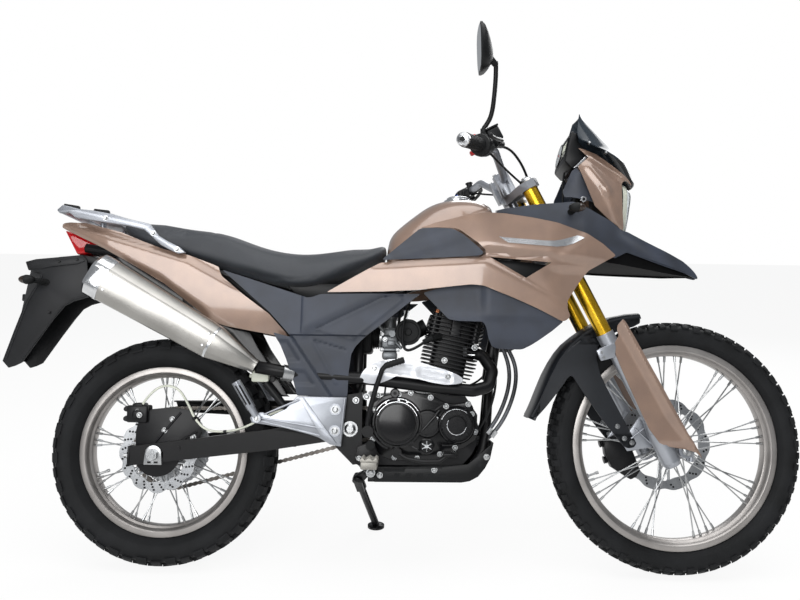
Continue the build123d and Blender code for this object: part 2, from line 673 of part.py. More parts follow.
def tail_panels():
    outline = [(-993, 931), (-929, 938), (-825, 910), (-704, 864), (-637, 851), (-552, 819), (-542, 792),
               (-408, 691), (-358, 635), (-455, 643), (-523, 656), (-569, 673), (-699, 770), (-869, 866),
               (-980, 918)]
    stations = [(-1000, 600, 802, 980, 66, 98, 92), (-860, 600, 792, 980, 96, 118, 112),
                (-640, 600, 767, 980, 108, 124, 118), (-350, 600, 700, 980, 112, 130, 122)]
    skin = panel(outline, stations, 4)
    strut_z = line_z(strut_ends[0], strut_ends[1], -455)
    bosses = [boss(stations, -700, rail_z(-700) - 2, rail_half + rail_r + seat_gap),
              boss(stations, -850, rail_z(-850) + 8, rail_half + rail_r + seat_gap),
              boss(stations, -455, strut_z - 8, rail_half + cross_r + seat_gap)]
    return both(fused([skin] + bosses))


def side_panels():
    outline = [(-534, 806), (-300, 736), (-2, 747), (-174, 612), (-187, 583), (-193, 472.5), (-325, 474),
               (-350, 630), (-404, 692)]
    stations = [(-540, 460, 700, 830, 136, 146, 140), (-350, 460, 640, 830, 140, 154, 138),
                (-180, 460, 640, 830, 144, 158, 140), (0, 460, 640, 830, 140, 156, 142)]
    skin = panel(outline, stations, 4)
    bosses = [boss(stations, -250, 728, rail_half + rail_r + seat_gap),
              boss(stations, -300, 598, rail_half + cross_r + seat_gap)]
    return both(fused([skin] + bosses))


shroud_stations = [(-270, 600, 800, 1000, 136, 148, 138), (-100, 600, 820, 1000, 142, 156, 146),
                   (150, 600, 830, 1000, 156, 184, 160), (340, 600, 830, 1000, 160, 192, 164),
                   (430, 600, 830, 1000, 158, 180, 158), (530, 600, 830, 1000, 138, 146, 138)]


def upper_shrouds():
    outline = [(-6, 925), (160, 970), (218, 966), (358, 939), (429, 916), (516, 856), (452, 826), (423, 795),
               (382, 733), (389, 692), (371, 677), (161, 769), (131, 772), (-109, 749), (-253, 748),
               (-111, 832), (149, 847), (174, 859), (145, 877), (82, 924)]
    hole = [(166, 844), (338, 834), (272, 790)]
    skin = panel(outline, shroud_stations, 4, [hole])
    bosses = [boss(shroud_stations, x, line_z(spar_bend, spar_end, x), spar_half + spar_r + seat_gap)
              for x in (176, -118)]
    return both(fused([skin] + bosses))


def lower_shrouds():
    outline = [(4, 753), (72, 679), (164, 676), (182, 616), (203, 608), (269, 604), (311, 630), (370, 676),
               (161, 768), (131, 771)]
    stations = [(0, 580, 700, 800, 120, 136, 146), (180, 580, 700, 800, 132, 158, 160),
                (400, 580, 700, 800, 140, 162, 166)]
    skin = panel(outline, stations, 4)
    return both(skin.fuse(boss(stations, 226, 690, 19 + seat_gap)))


def tank_pads():
    outline = [(-108, 834), (-6, 923.5), (80, 922.5), (143, 875), (172, 858.5), (149, 848.5)]
    stations = [(x, z0, z1, z2, y0 - 3, y1 - 3, y2 - 3) for x, z0, z1, z2, y0, y1, y2 in shroud_stations]
    skin = panel(outline, stations, 4)
    bosses = [boss(stations, x, z, 90) for x, z in ((-30, 868), (80, 885))]
    tank_room = hull([(x, lo + seat_gap, mid + seat_gap, up + seat_gap, z0 - 20, z1, z2, z3)
                      for x, lo, mid, up, z0, z1, z2, z3 in tank_stations()])
    outer = fused([skin] + bosses).cut(tank_room)
    return both(outer.solids().sort_by(SortBy.VOLUME)[-1])


rack_top_z = 968.0               # carrier plate, clear above the rail's tubes


def grab_rail():
    y = 124.0
    route = [(-652, 872), (-705, 890), (-748, 934), (-935, 955), (-986, 972)]
    pieces = []
    for s in (-1, 1):
        pieces.append(tube([(x, s * y, z) for x, z in route], 10, 20))
        pieces.append(rod((-886, s * rail_half, 953), (-886, s * rail_half, rail_top(-894) + seat_gap), 8))
    pieces.append(across(-984, 971, -y, y, 9))
    pieces.append(plate([(-930, 950), (-930, rack_top_z), (-860, rack_top_z), (-860, 944)], -y, y))
    return fused(pieces)


def inner_mudguard():
    top = [(-330, 560), (-430, 700), (-560, strut_ends[1][1] - cross_r - seat_gap), (-900, 845)]
    lower = [(x - 3, z - 3) for x, z in reversed(top)]
    return plate(top + lower, -64, 64)


fender_top = [(-1078, 839), (-948, 855)]


def tail_fender():
    outline = [(-1107, 831), fender_top[0], fender_top[1], (-905, fender_cross[1] - cross_r - seat_gap),
               (-905, 846), (-934, 840), (-922, 735), (-941, 729), (-988, 709), (-1098, 550), (-1135, 535),
               (-1153, 554), (-1095, 732)]
    body = plate(outline, -62, 62)
    hollow = plate([(-1093, 822), (-960, 838), (-937, 745), (-990, 722), (-1092, 575), (-1125, 560),
                    (-1138, 566), (-1083, 732)], -57, 57)
    opening = plate([(-940, 735), (-990, 715), (-1098, 556), (-1100, 540), (-1000, 640), (-900, 730)],
                    -57, 57)
    return body.cut(hollow, opening).solids().sort_by(SortBy.VOLUME)[-1]


def tail_light():
    slope = line_z(fender_top[0], fender_top[1], -963) + 2 * seat_gap
    outline = [(-1001, 921), (-935, 899), (-935, 857.5), (-948, 856), (-963, slope)]
    return plate(outline, -64, 64)


def headlight_cowl():
    outline = [(432, 1172), (480, 1158), (549, 1106), (580, 1066), (560, 1060), (545, 960), (472, 1004),
               (428, 1115)]
    stations = [(420, 930, 1050, 1200, 100, 112, 78), (520, 930, 1050, 1200, 92, 104, 70),
                (600, 930, 1050, 1200, 80, 90, 60)]
    skin = panel(outline, stations, 4)
    brow = plate([(464, 1154), (540, 1100), (570, 1066), (564, 1064), (536, 1093), (464, 1144)], -90, 90)
    # inside of the cowl: (x, half width at the lamp, half width at the brow)
    room = [[(x, -y, 900), (x, y, 900), (x, y, 1050), (x, h, 1200), (x, -h, 1200), (x, -y, 1050)]
            for x, y, h in ((420, 110, 76), (520, 102, 68), (600, 88, 58))]
    brow_room = loft_sections(room)
    lugs = [across(stay_cross[0], stay_cross[1], s * (80 + seat_gap), s * 107, 9) for s in (-1, 1)]
    tabs = [block(505, 550, *sorted((s * 50, s * 62)), 1100, 1112) for s in (-1, 1)]
    whole = fused(both(skin) + [brow & brow_room] + lugs + tabs)
    return whole.cut(windscreen(), Pos(-seat_gap, 0, 0) * windscreen()).solids().sort_by(SortBy.VOLUME)[-1]


def headlight():
    bowl = loft_sections([[(470, y, z) for y, z in ((-40, 1010), (40, 1010), (40, 1052), (-40, 1052))],
                          [(548, y, z) for y, z in ((-74, 956), (74, 956), (80, 1064), (-80, 1064))]])
    lens = loft_sections([[(x, y, z) for x, y, z in ((548.3, -74, 956), (548.3, 74, 956), (548.3, 80, 1064),
                                                     (548.3, -80, 1064))],
                          [(x, y, z) for x, y, z in ((576, -60, 946), (576, 60, 946), (590, 66, 1052),
                                                     (590, -66, 1052))]])
    seat_block = block(stay_cross[0] + 8 + seat_gap, 475, -30, 30, 1040, 1050)
    return [bowl.fuse(seat_block), lens]


def windscreen():
    # height, x at the middle, x at the edge, half width
    levels = [(1098, 582, 552, 60), (1120, 572, 530, 68), (1160, 546, 486, 74), (1215, 502, 454, 66),
              (1280, 446, 426, 38)]
    sections = []
    for z, x_mid, x_edge, half in levels:
        x_near = x_mid - (x_mid - x_edge) * 0.35
        ring = [(x_edge, -half), (x_near, -half * 0.6), (x_mid, 0), (x_near, half * 0.6), (x_edge, half)]
        sections.append([(x, y, z) for x, y in ring] + [(x - 5, y, z) for x, y in reversed(ring)])
    return loft_sections(sections)


beak_stations = [(180, 800, 900, 1010, 168, 170, 160), (430, 800, 900, 1010, 164, 168, 146),
                 (560, 800, 900, 1010, 112, 120, 104), (700, 800, 880, 1010, 52, 58, 50),
                 (790, 800, 840, 1010, 9, 10, 9)]


def beak():
    outline = [(191, 974), (307, 996), (400, 1004), (414, 1000), (545, 936), (576, 932), (738, 863),
               (776, 834), (786, 821), (483, 844), (517, 857.5), (430, 918), (358.5, 941), (218, 968)]
    skin = panel(outline, beak_stations, 5)
    deck = plate([(500, 946), (576, 932), (738, 863), (776, 834), (786, 821), (770, 828), (735, 855),
                  (574, 924), (500, 938)], -110, 110)
    plan = Solid.extrude(Face(Wire.make_polygon([(500, -114, 800), (560, -108, 800), (700, -50, 800),
                                                 (790, -6, 800), (790, 6, 800), (700, 50, 800),
                                                 (560, 108, 800), (500, 114, 800)], close=True)),
                         Vector(0, 0, 200))
    whole = fused(both(skin) + [deck & plan])
    return whole.cut(fairing_stay(seat_gap))


def indicators():
    lamps = []
    beak_y = skin_y(beak_stations, 395, 960)
    for x, z, y0, y1 in ((395, 960, beak_y - 4, beak_y + 34), (-1040, 770, 62 + seat_gap, 105)):
        stalk = across(x, z, -y1 - 2, -y0, 8)
        lamp = turned([(-y1, 0), (-y1, 15), (-y1 - 12, 22), (-y1 - 38, 16), (-y1 - 46, 8), (-y1 - 46, 0)],
                      x, z)
        lamps.append(stalk.fuse(lamp))
    front, rear = lamps
    front = front.cut(Pos(0, -seat_gap, 0) * beak()).solids().sort_by(SortBy.VOLUME)[-1]
    return both(front) + both(rear)


def instruments():
    clock = plate([(420, 1232), (394, 1140), (408, 1104), (458, 1112), (462, 1135), (446, 1160)], -72, 72)
    return clock.cut(fairing_stay(seat_gap))


def foot_brackets():
    outline = [(-322, 472), (-194, 471), (-205, 344), (-234, 349), (-262, 372), (-406, 394), (-440, 402),
               (-438, 428), (-400, 428), (-352, 418)]
    y0 = bracket_y
    shape = plate(outline, -y0 - bracket_t, -y0)
    bolts = [across(x, z, -y0 - 1, -pivot_plate_y - pivot_plate_t - seat_gap, 11)
             for x, z in ((-222, 440), (-222, 385))]
    peg = rod((-428, -y0 - 14, 415), (-482, -y0 - 24, 508), 12)
    hinge = across(-426, 414, -y0 - 20, -y0, 10)
    return both(fused([shape, peg, hinge] + bolts))


def foot_controls():
    y0 = pivot_plate_y + pivot_plate_t + seat_gap
    items = []
    for s in (-1, 1):
        mount = block(-168, -112, *sorted((s * y0, s * (y0 + 12))), 296, 350)
        peg = block(-148, -108, *sorted((s * (y0 + 8), s * 236)), 298, 322)
        items.append(mount.fuse(peg))
    pedal = tube([(-60, -128, 330), (-20, -142, 312), (52, -152, 312), (78, -152, 331)], 6, 12)
    pad = block(62, 94, -188, -143, 327, 338)
    pedal_hub = across(-60, 330, -136, -case_half - 14 - 2 * seat_gap, 12)
    items.append(fused([pedal, pad, pedal_hub]))
    lever = tube([(-20, 120, 312), (10, 132, 310), (70, 145, 318), (92, 145, 334)], 6, 12)
    toe = across(92, 334, 140, 184, 10)
    hub = across(-20, 312, case_half + seat_gap, 126, 11)
    items.append(fused([lever, toe, hub]))
    kick = tube([(-136, -152, 385), (-128, -158, 440), (-98, -168, 548), (-44, -176, 566)], 8, 16)
    kick_hub = across(-136, 385, -158, -case_half - 14 - 2 * seat_gap, 12)
    items.append(kick.fuse(kick_hub))
    return items


# ---- steering and front end ----------------------------------------------------------------------------
def in_steering(shape):
    return steering_frame * shape


def clamp_plate(w0, w1):
    outline = [(-22, -24), (10, -112), (28, -132), (fork_offset + 16, -130), (fork_offset + 30, -104),
               (fork_offset + 20, -60), (34, 0), (fork_offset + 20, 60), (fork_offset + 30, 104),
               (fork_offset + 16, 130), (28, 132), (10, 112), (-22, 24)]
    face = Face(Wire.make_polygon([(u, v, w0) for u, v in outline], close=True))
    return Solid.extrude(face, Vector(0, 0, w1 - w0))


bar_u, bar_w = -6.0, 66.0
bar_r = 11.0


def triple_clamps():
    lower = clamp_plate(lower_clamp_w - clamp_thick / 2, lower_clamp_w + clamp_thick / 2)
    upper = clamp_plate(0, 22)
    stem = rod((0, 0, lower_clamp_w), (0, 0, 30), stem_r)
    nut = rod((0, 0, 20), (0, 0, 34), 19)
    risers = [block(bar_u - 20, bar_u + 20, s * 45 - 16, s * 45 + 16, 20, bar_w + 20) for s in (-1, 1)]
    whole = fused([lower, upper, stem, nut] + risers)
    bores = [rod((fork_offset, s * fork_half, -300), (fork_offset, s * fork_half, 60), fork_tube_r + bore_gap)
             for s in (-1, 1)]
    bar = rod((bar_u, -100, bar_w), (bar_u, 100, bar_w), bar_r + bore_gap)
    return in_steering(whole.cut(bar, *bores))


def fork_tubes():
    tubes = []
    for s in (-1, 1):
        y = s * fork_half
        upper = rod((fork_offset, y, tube_end_w), (fork_offset, y, 26), fork_tube_r)
        collar = rod((fork_offset, y, tube_end_w), (fork_offset, y, tube_end_w + 30), 26)
        bore = rod((fork_offset, y, tube_end_w - 1), (fork_offset, y, tube_end_w + 60), fork_leg_r + bore_gap)
        tubes.append(in_steering(upper.fuse(collar).cut(bore)))
    return tubes


def fork_legs():
    legs = []
    for s in (-1, 1):
        leg = rod((fork_offset, s * fork_half, axle_w - 12), (fork_offset, s * fork_half, tube_end_w + 58),
                  fork_leg_r)
        u0, u1 = min(fork_offset, axle_u) - 20, max(fork_offset, axle_u) + 20
        shape = [(fork_offset - 20, axle_w + 90), (fork_offset + 20, axle_w + 90), (u1, axle_w + 16),
                 (u1, axle_w - 18), (u1 - 31, axle_w - 24), (u0, axle_w)]
        y0, y1 = sorted((s * (fork_half - 18), s * (fork_half + 18)))
        face = Face(Wire.make_polygon([(u, y0, w) for u, w in shape], close=True))
        casting = Solid.extrude(face, Vector(0, y1 - y0, 0))
        bore = rod((axle_u, y0 - 1, axle_w), (axle_u, y1 + 1, axle_w), axle_r + bore_gap)
        legs.append(in_steering(leg.fuse(casting).cut(bore)))
    return legs


def front_axle():
    z = front_tyre_r
    bar = across(front_x, z, -122, 122, axle_r)
    inner = fork_half - 18 - seat_gap
    spacers = [across(front_x, z, -inner, -52 - seat_gap, 13), across(front_x, z, 62 + seat_gap, inner, 13)]
    heads = [across(front_x, z, s * (fork_half + 18 + seat_gap), s * 122, 13) for s in (-1, 1)]
    return fused([bar] + spacers + heads)


def fork_guards():
    outline = [(518, 617), (537, 691), (560, 650), (704, 392), (738, 328), (690, 330), (638, 368)]
    skin = plate(outline, -fork_half - 27, -fork_half - 23)
    bosses = [across(x, z, -fork_half - 24, -fork_half - r - seat_gap, 7)
              for x, z, r in ((536, 646 - 40, 26), (612, 440, 17))]
    return both(fused([skin] + bosses).cut(*[in_steering(rod((fork_offset, -fork_half, -900),
                                                             (fork_offset, -fork_half, 0), 26 + seat_gap))]))


def front_mudguard():
    def round_tyre(points):
        return [polar(front_x, front_tyre_r, front_tyre_r + gap, angle, 0)[::2] for angle, gap in points]

    # (angle about the axle, height over the tyre's lugs)
    arch_line = [(105.4, 38), (115.5, 52), (126, 59), (134.5, 65), (145.7, 64), (158, 61.5), (169.7, 73)]
    top = round_tyre(arch_line)
    lower = round_tyre([(angle, gap - 5) for angle, gap in reversed(arch_line)])
    arch = plate(top + lower, -66, 66)
    skirt = top + round_tyre([(167.7, 48), (161.8, 26), (147, -7), (137.5, -11), (125.4, -2), (107, 14)])
    sides = [plate(skirt, s * 62, s * 66) for s in (-1, 1)]
    leg_x, leg_y, leg_z = on_steering(fork_offset, axle_w + 70)
    stays = []
    for s in (-1, 1):
        strap = plate(round_tyre([(145, 14), (139.5, 2)]) + [(leg_x + 9, leg_z + 14), (leg_x + 3, leg_z - 12)]
                      + round_tyre([(176, -199), (167.5, -171)]), s * 77.5, s * 80.5)
        tab = across(*round_tyre([(142.5, 3)])[0], s * 63, s * 79, 8)
        pad = across(leg_x, leg_z, s * 77.5, s * (fork_half - 18 - seat_gap), 8)
        stays += [strap, tab, pad]
    return fused([arch] + sides + stays)


def front_caliper():
    y0 = 64.5
    bracket = plate([(560, 340), (640, 400), (690, 372), (668, 330), (628, 262), (570, 268)], y0 + 2, y0 + 9)
    body = plate([(532, 352), (566, 372), (610, 330), (634, 272), (606, 246), (552, 280)], 46, y0 + 12)
    disc_room = across(front_x, front_tyre_r, 56.5, 63.5, 138)
    window = across(front_x, front_tyre_r, 40, 63, 112)
    seats = across(655, 372, y0 + 2, fork_half - 18 - seat_gap, 8)
    return bracket.fuse(body, seats).cut(disc_room, window)


bar_mid = on_steering(bar_u, bar_w)
bar_route = [(90, -400, 1089), (188, -175, 1136), (bar_mid[0], -80, bar_mid[2]), (bar_mid[0], 80, bar_mid[2]),
             (188, 175, 1136), (90, 400, 1089)]


def on_grip(distance, side):
    """Point on the bar's straight end, distance inwards from its tip."""
    tip, knee = Vector(90, side * 400, 1089), Vector(188, side * 175, 1136)
    return tip + (knee - tip).normalized() * distance


mirror_up = Vector(-0.2, 0, 1).normalized()
mirror_thread_r, mirror_thread_depth = 5.0, 14.0


def mirror_seat(side):
    """Top of the threaded tower on a lever perch."""
    return on_grip(180, side) + mirror_up * 30


def handlebar():
    return tube(bar_route, bar_r, 45)


def grips():
    items = []
    for s in (-1, 1):
        grip = rod(on_grip(6, s), on_grip(126, s), 17)
        grip = grip.cut(rod(on_grip(-5, s), on_grip(140, s), bar_r + bore_gap))
        weight = rod(on_grip(-12, s), on_grip(5.7, s), 15)
        weight = weight.cut(rod(on_grip(0, s), on_grip(20, s), bar_r + bore_gap))
        items += [grip, weight]
    return items


def hand_controls():
    items = []
    for s in (-1, 1):
        housing = rod(on_grip(127, s), on_grip(168, s), 22)
        perch = rod(on_grip(170, s), on_grip(190, s), 17)
        ahead = Vector(0.891, 0, 0.454) * 32
        root = on_grip(180, s) + ahead
        arm = rod(on_grip(180, s), root, 9)
        lever = tube([tuple(root), tuple(on_grip(150, s) + Vector(0.891, 0, 0.3) * 50),
                      tuple(on_grip(15, s) + Vector(0.891, 0, 0.2) * 56)], 5.5, 30)
        bridge = rod(on_grip(160, s), on_grip(172, s), 15)
        tower = rod(on_grip(180, s), mirror_seat(s), 9)
        thread = rod(mirror_seat(s) - mirror_up * mirror_thread_depth, mirror_seat(s) + mirror_up,
                     mirror_thread_r)
        shape = fused([housing, perch, arm, lever, bridge, tower])
        items.append(shape.cut(rod(on_grip(100, s), on_grip(200, s), bar_r + bore_gap), thread))
    return items


def mirror():
    base = mirror_seat(-1) + mirror_up * seat_gap
    stem = tube([tuple(base), tuple(base + mirror_up * 45), (184, -272, 1290), (165, -300, 1345)], 5, 20)
    stud = rod(base - mirror_up * (mirror_thread_depth - 1), base + mirror_up, mirror_thread_r - bore_gap)
    head = Location((152, -306, 1357), (0, -14, 0)) * loft_sections([
        [(-8, y, z) for y, z in ((-50, -40), (-30, -62), (40, -58), (58, -20), (58, 34), (30, 60), (-34, 56),
                                 (-52, 30))],
        [(12, y * 0.7, z * 0.7) for y, z in ((-50, -40), (-30, -62), (40, -58), (58, -20), (58, 34), (30, 60),
                                             (-34, 56), (-52, 30))]])
    return stem.fuse(stud, head)


# ---- side stand ---------------------------------------------------------------------------------------
def side_stand():
    up = Vector(0, -math.sin(lean), math.cos(lean))
    foot = Vector(stand_foot_x, stand_foot_y, stand_foot_z)
    gap = stand_tab_t / 2 + seat_gap
    cheeks = []
    for s in (-1, 1):
        start = stand_pivot + stand_axis * (gap if s > 0 else -gap - 6)
        disc = Solid.make_cylinder(15, 6, Plane(origin=start, z_dir=stand_axis))
        flat = Plane(origin=start + stand_leg * 22, z_dir=stand_axis, x_dir=stand_leg)
        cheeks.append(disc.fuse(Solid.extrude(Face(Wire.make_polygon(
            [flat.from_local_coords(p) for p in ((-22, -12), (26, -12), (26, 12), (-22, 12))], close=True)),
            stand_axis * 6)))
    pin = rod(stand_pivot - stand_axis * (gap + 7), stand_pivot + stand_axis * (gap + 7), stand_pin_r)
    leg = rod(stand_pivot + stand_leg * 26, foot + up * 9, 11)
    pad = Solid.make_cylinder(26, 8, Plane(origin=foot, z_dir=up))
    return fused(cheeks + [pin, leg, pad])


# ---- assembly ---------------------------------------------------------------------------------------
bodies = {
    "steering": ["triple_clamps", "fork_tubes", "fork_legs", "fork_guards", "front_mudguard", "front_axle",
                 "front_caliper", "handlebar", "grips", "hand_controls", "mirror"],
    "front_wheel": ["front_tyre", "front_rim", "front_hub", "front_disc"],
    "rear_wheel": ["rear_tyre", "rear_rim", "rear_hub", "rear_disc", "rear_sprocket"],
    "side_stand": ["side_stand"],
}


def build():
    parts = {}
    parts.update(front_wheel())
    parts.update(rear_wheel())
    for make in (frame, swingarm, rear_axle, chain, chain_guard, shock_absorber, rear_brake, engine_case,
                 engine_covers, cylinder, carburettor, exhaust_pipe, pipe_shield, silencer, skid_plate,
                 fuel_tank, seat, tail_panels, side_panels, upper_shrouds, lower_shrouds, tank_pads,
                 grab_rail, inner_mudguard, tail_fender, tail_light, headlight_cowl, headlight, windscreen,
                 beak, indicators, instruments, foot_brackets, foot_controls, triple_clamps, fork_tubes,
                 fork_legs, front_axle, fork_guards, front_mudguard, front_caliper, handlebar, grips,
                 hand_controls, mirror, side_stand):
        made = make()
        parts[make.__name__] = made if isinstance(made, list) else [made]
    return parts


def solids_of(shapes):
    return [solid for shape in shapes for solid in shape.solids()]


# lean onto the stand, lowest point at z 0, middle of the footprint at the origin
upright = build()
leaned = {name: [Rot(-lean_deg, 0, 0) * s for s in solids_of(shapes)] for name, shapes in upright.items()}
overall = Compound([s for solids in leaned.values() for s in solids]).bounding_box()
shift = Vector(-overall.center().X, -overall.center().Y, -overall.min.Z)
to_ground = Pos(*shift) * Rot(-lean_deg, 0, 0)

os.makedirs("parts", exist_ok=True)
for name, solids in leaned.items():
    export_step(Compound([Pos(*shift) * s for s in solids]), f"parts/{name}.step")
print("size", overall.size, "shift", shift)
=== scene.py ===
import math
import bmesh
import bpy
from mathutils import Matrix, Vector


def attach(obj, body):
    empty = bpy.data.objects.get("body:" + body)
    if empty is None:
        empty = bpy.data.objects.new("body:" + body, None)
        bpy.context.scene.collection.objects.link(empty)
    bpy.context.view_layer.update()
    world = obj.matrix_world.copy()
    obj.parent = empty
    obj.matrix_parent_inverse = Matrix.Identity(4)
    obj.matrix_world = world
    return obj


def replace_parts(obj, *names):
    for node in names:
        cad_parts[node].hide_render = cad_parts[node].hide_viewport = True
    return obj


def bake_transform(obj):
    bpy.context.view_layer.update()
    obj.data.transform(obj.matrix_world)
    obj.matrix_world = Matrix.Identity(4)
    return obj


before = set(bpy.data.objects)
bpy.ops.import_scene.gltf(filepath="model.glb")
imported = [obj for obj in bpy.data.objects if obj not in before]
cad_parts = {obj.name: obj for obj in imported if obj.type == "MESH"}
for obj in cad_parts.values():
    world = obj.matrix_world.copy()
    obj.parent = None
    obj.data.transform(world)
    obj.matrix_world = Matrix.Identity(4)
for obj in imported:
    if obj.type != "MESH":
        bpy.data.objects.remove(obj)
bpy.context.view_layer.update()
print("frame loaded,", len(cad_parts), "nodes")

# The pieces are drawn upright in millimetres, x forwards, y to the rider's left, z up from the ground
# midway between the axles, and are leaned onto the side stand as they are placed.
bike = {
    "lean": 12.0,                          # degrees to the left
    "shift": (51.25, -227.055, 3.006),     # from the upright origin to the parked one
    "frontX": 705.0, "rearX": -705.0,
    "frontRadius": 346.0, "rearRadius": 312.0,
    "headX": 262.0, "headZ": 1029.0, "rake": 27.0,
}
leanTurn = Matrix.Rotation(math.radians(-bike["lean"]), 4, "X")
leanFrame = Matrix.Translation(Vector(bike["shift"]) / 1000) @ leanTurn @ Matrix.Scale(0.001, 4)
rake = math.radians(bike["rake"])
steerUp = Vector((-math.sin(rake), 0, math.cos(rake)))
steerForward = Vector((math.cos(rake), 0, math.sin(rake)))
steerFrame = Matrix.Translation((bike["headX"], 0, bike["headZ"])) @ Matrix(
    (steerForward, (0, 1, 0), steerUp)).transposed().to_4x4()


# camera

cameraSetup = {
    "place": (-41.07, -2109.72, 536.08), "lens": 33.42,
    "right": (0.99985, 0.00677, 0.01586), "up": (-0.01511, -0.09881, 0.99499),
}


def newObject(name, data):
    made = bpy.data.objects.new(name, data)
    bpy.context.scene.collection.objects.link(made)
    return made


def addCamera():
    data = bpy.data.cameras.new("studioCamera")
    data.lens = cameraSetup["lens"]
    data.sensor_width = 36
    data.clip_start, data.clip_end = 0.05, 60
    camera = newObject("studioCamera", data)
    right = Vector(cameraSetup["right"]).normalized()
    up = Vector(cameraSetup["up"])
    up = (up - right * up.dot(right)).normalized()
    turn = Matrix((right, up, right.cross(up))).transposed().to_4x4()
    camera.matrix_world = Matrix.Translation(leanFrame @ Vector(cameraSetup["place"])) @ leanTurn @ turn
    bpy.context.scene.camera = camera


addCamera()


# finishes

def toLinear(hexText):
    parts = [int(hexText[i:i + 2], 16) / 255 for i in (1, 3, 5)]
    return [c / 12.92 if c <= 0.04045 else ((c + 0.055) / 1.055) ** 2.4 for c in parts] + [1.0]


def addNode(material, kind, settings=None, links=None):
    node = material.node_tree.nodes.new(kind)
    for key, value in (settings or {}).items():
        if isinstance(key, int) or key in node.inputs:
            node.inputs[key].default_value = value
        else:
            setattr(node, key, value)
    for key, source in (links or {}).items():
        material.node_tree.links.new(source, node.inputs[key])
    return node


def startFinish(name, settings):
    material = bpy.data.materials.new(name)
    material.use_nodes = True
    shader = material.node_tree.nodes["Principled BSDF"]
    for key, value in settings.items():
        shader.inputs[key].default_value = value
    return material, shader


def grainFinish(name, dark, light, rough, grain, relief, metallic=0.0, coat=0.0, stretch=(1, 1, 1),
        specular=0.5):
    # dark and light are the ends of the colour variation, grain its size in mm, relief the bump in mm
    material, shader = startFinish(name, {"Metallic": metallic, "Coat Weight": coat, "Coat Roughness": 0.08,
        "Specular IOR Level": specular})
    link = material.node_tree.links.new
    place = addNode(material, "ShaderNodeTexCoord")
    scaled = addNode(material, "ShaderNodeMapping", {"Scale": stretch}, {"Vector": place.outputs["Object"]})
    fine = addNode(material, "ShaderNodeTexNoise", {"Scale": 1000 / grain, "Detail": 3.0, "Roughness": 0.6},
        {"Vector": scaled.outputs[0]})
    broad = addNode(material, "ShaderNodeTexNoise", {"Scale": 14.0, "Detail": 2.0},
        {"Vector": place.outputs["Object"]})
    mixed = addNode(material, "ShaderNodeMath", {"operation": "MULTIPLY_ADD", 1: 0.6},
        {0: fine.outputs["Fac"], 2: broad.outputs["Fac"]})
    ramp = addNode(material, "ShaderNodeMapRange", {"From Min": 0.55, "From Max": 1.05},
        {"Value": mixed.outputs[0]})
    colour = addNode(material, "ShaderNodeMix", {"data_type": "RGBA", 6: toLinear(dark), 7: toLinear(light)},
        {0: ramp.outputs[0]})
    link(colour.outputs[2], shader.inputs["Base Color"])
    roughness = addNode(material, "ShaderNodeMapRange",
        {"From Min": 0.3, "From Max": 0.7, "To Min": rough[0], "To Max": rough[1]},
        {"Value": fine.outputs["Fac"]})
    link(roughness.outputs[0], shader.inputs["Roughness"])
    if relief:
        bump = addNode(material, "ShaderNodeBump", {"Distance": relief / 1000, "Strength": 0.6},
            {"Height": fine.outputs["Fac"]})
        link(bump.outputs[0], shader.inputs["Normal"])
    return material


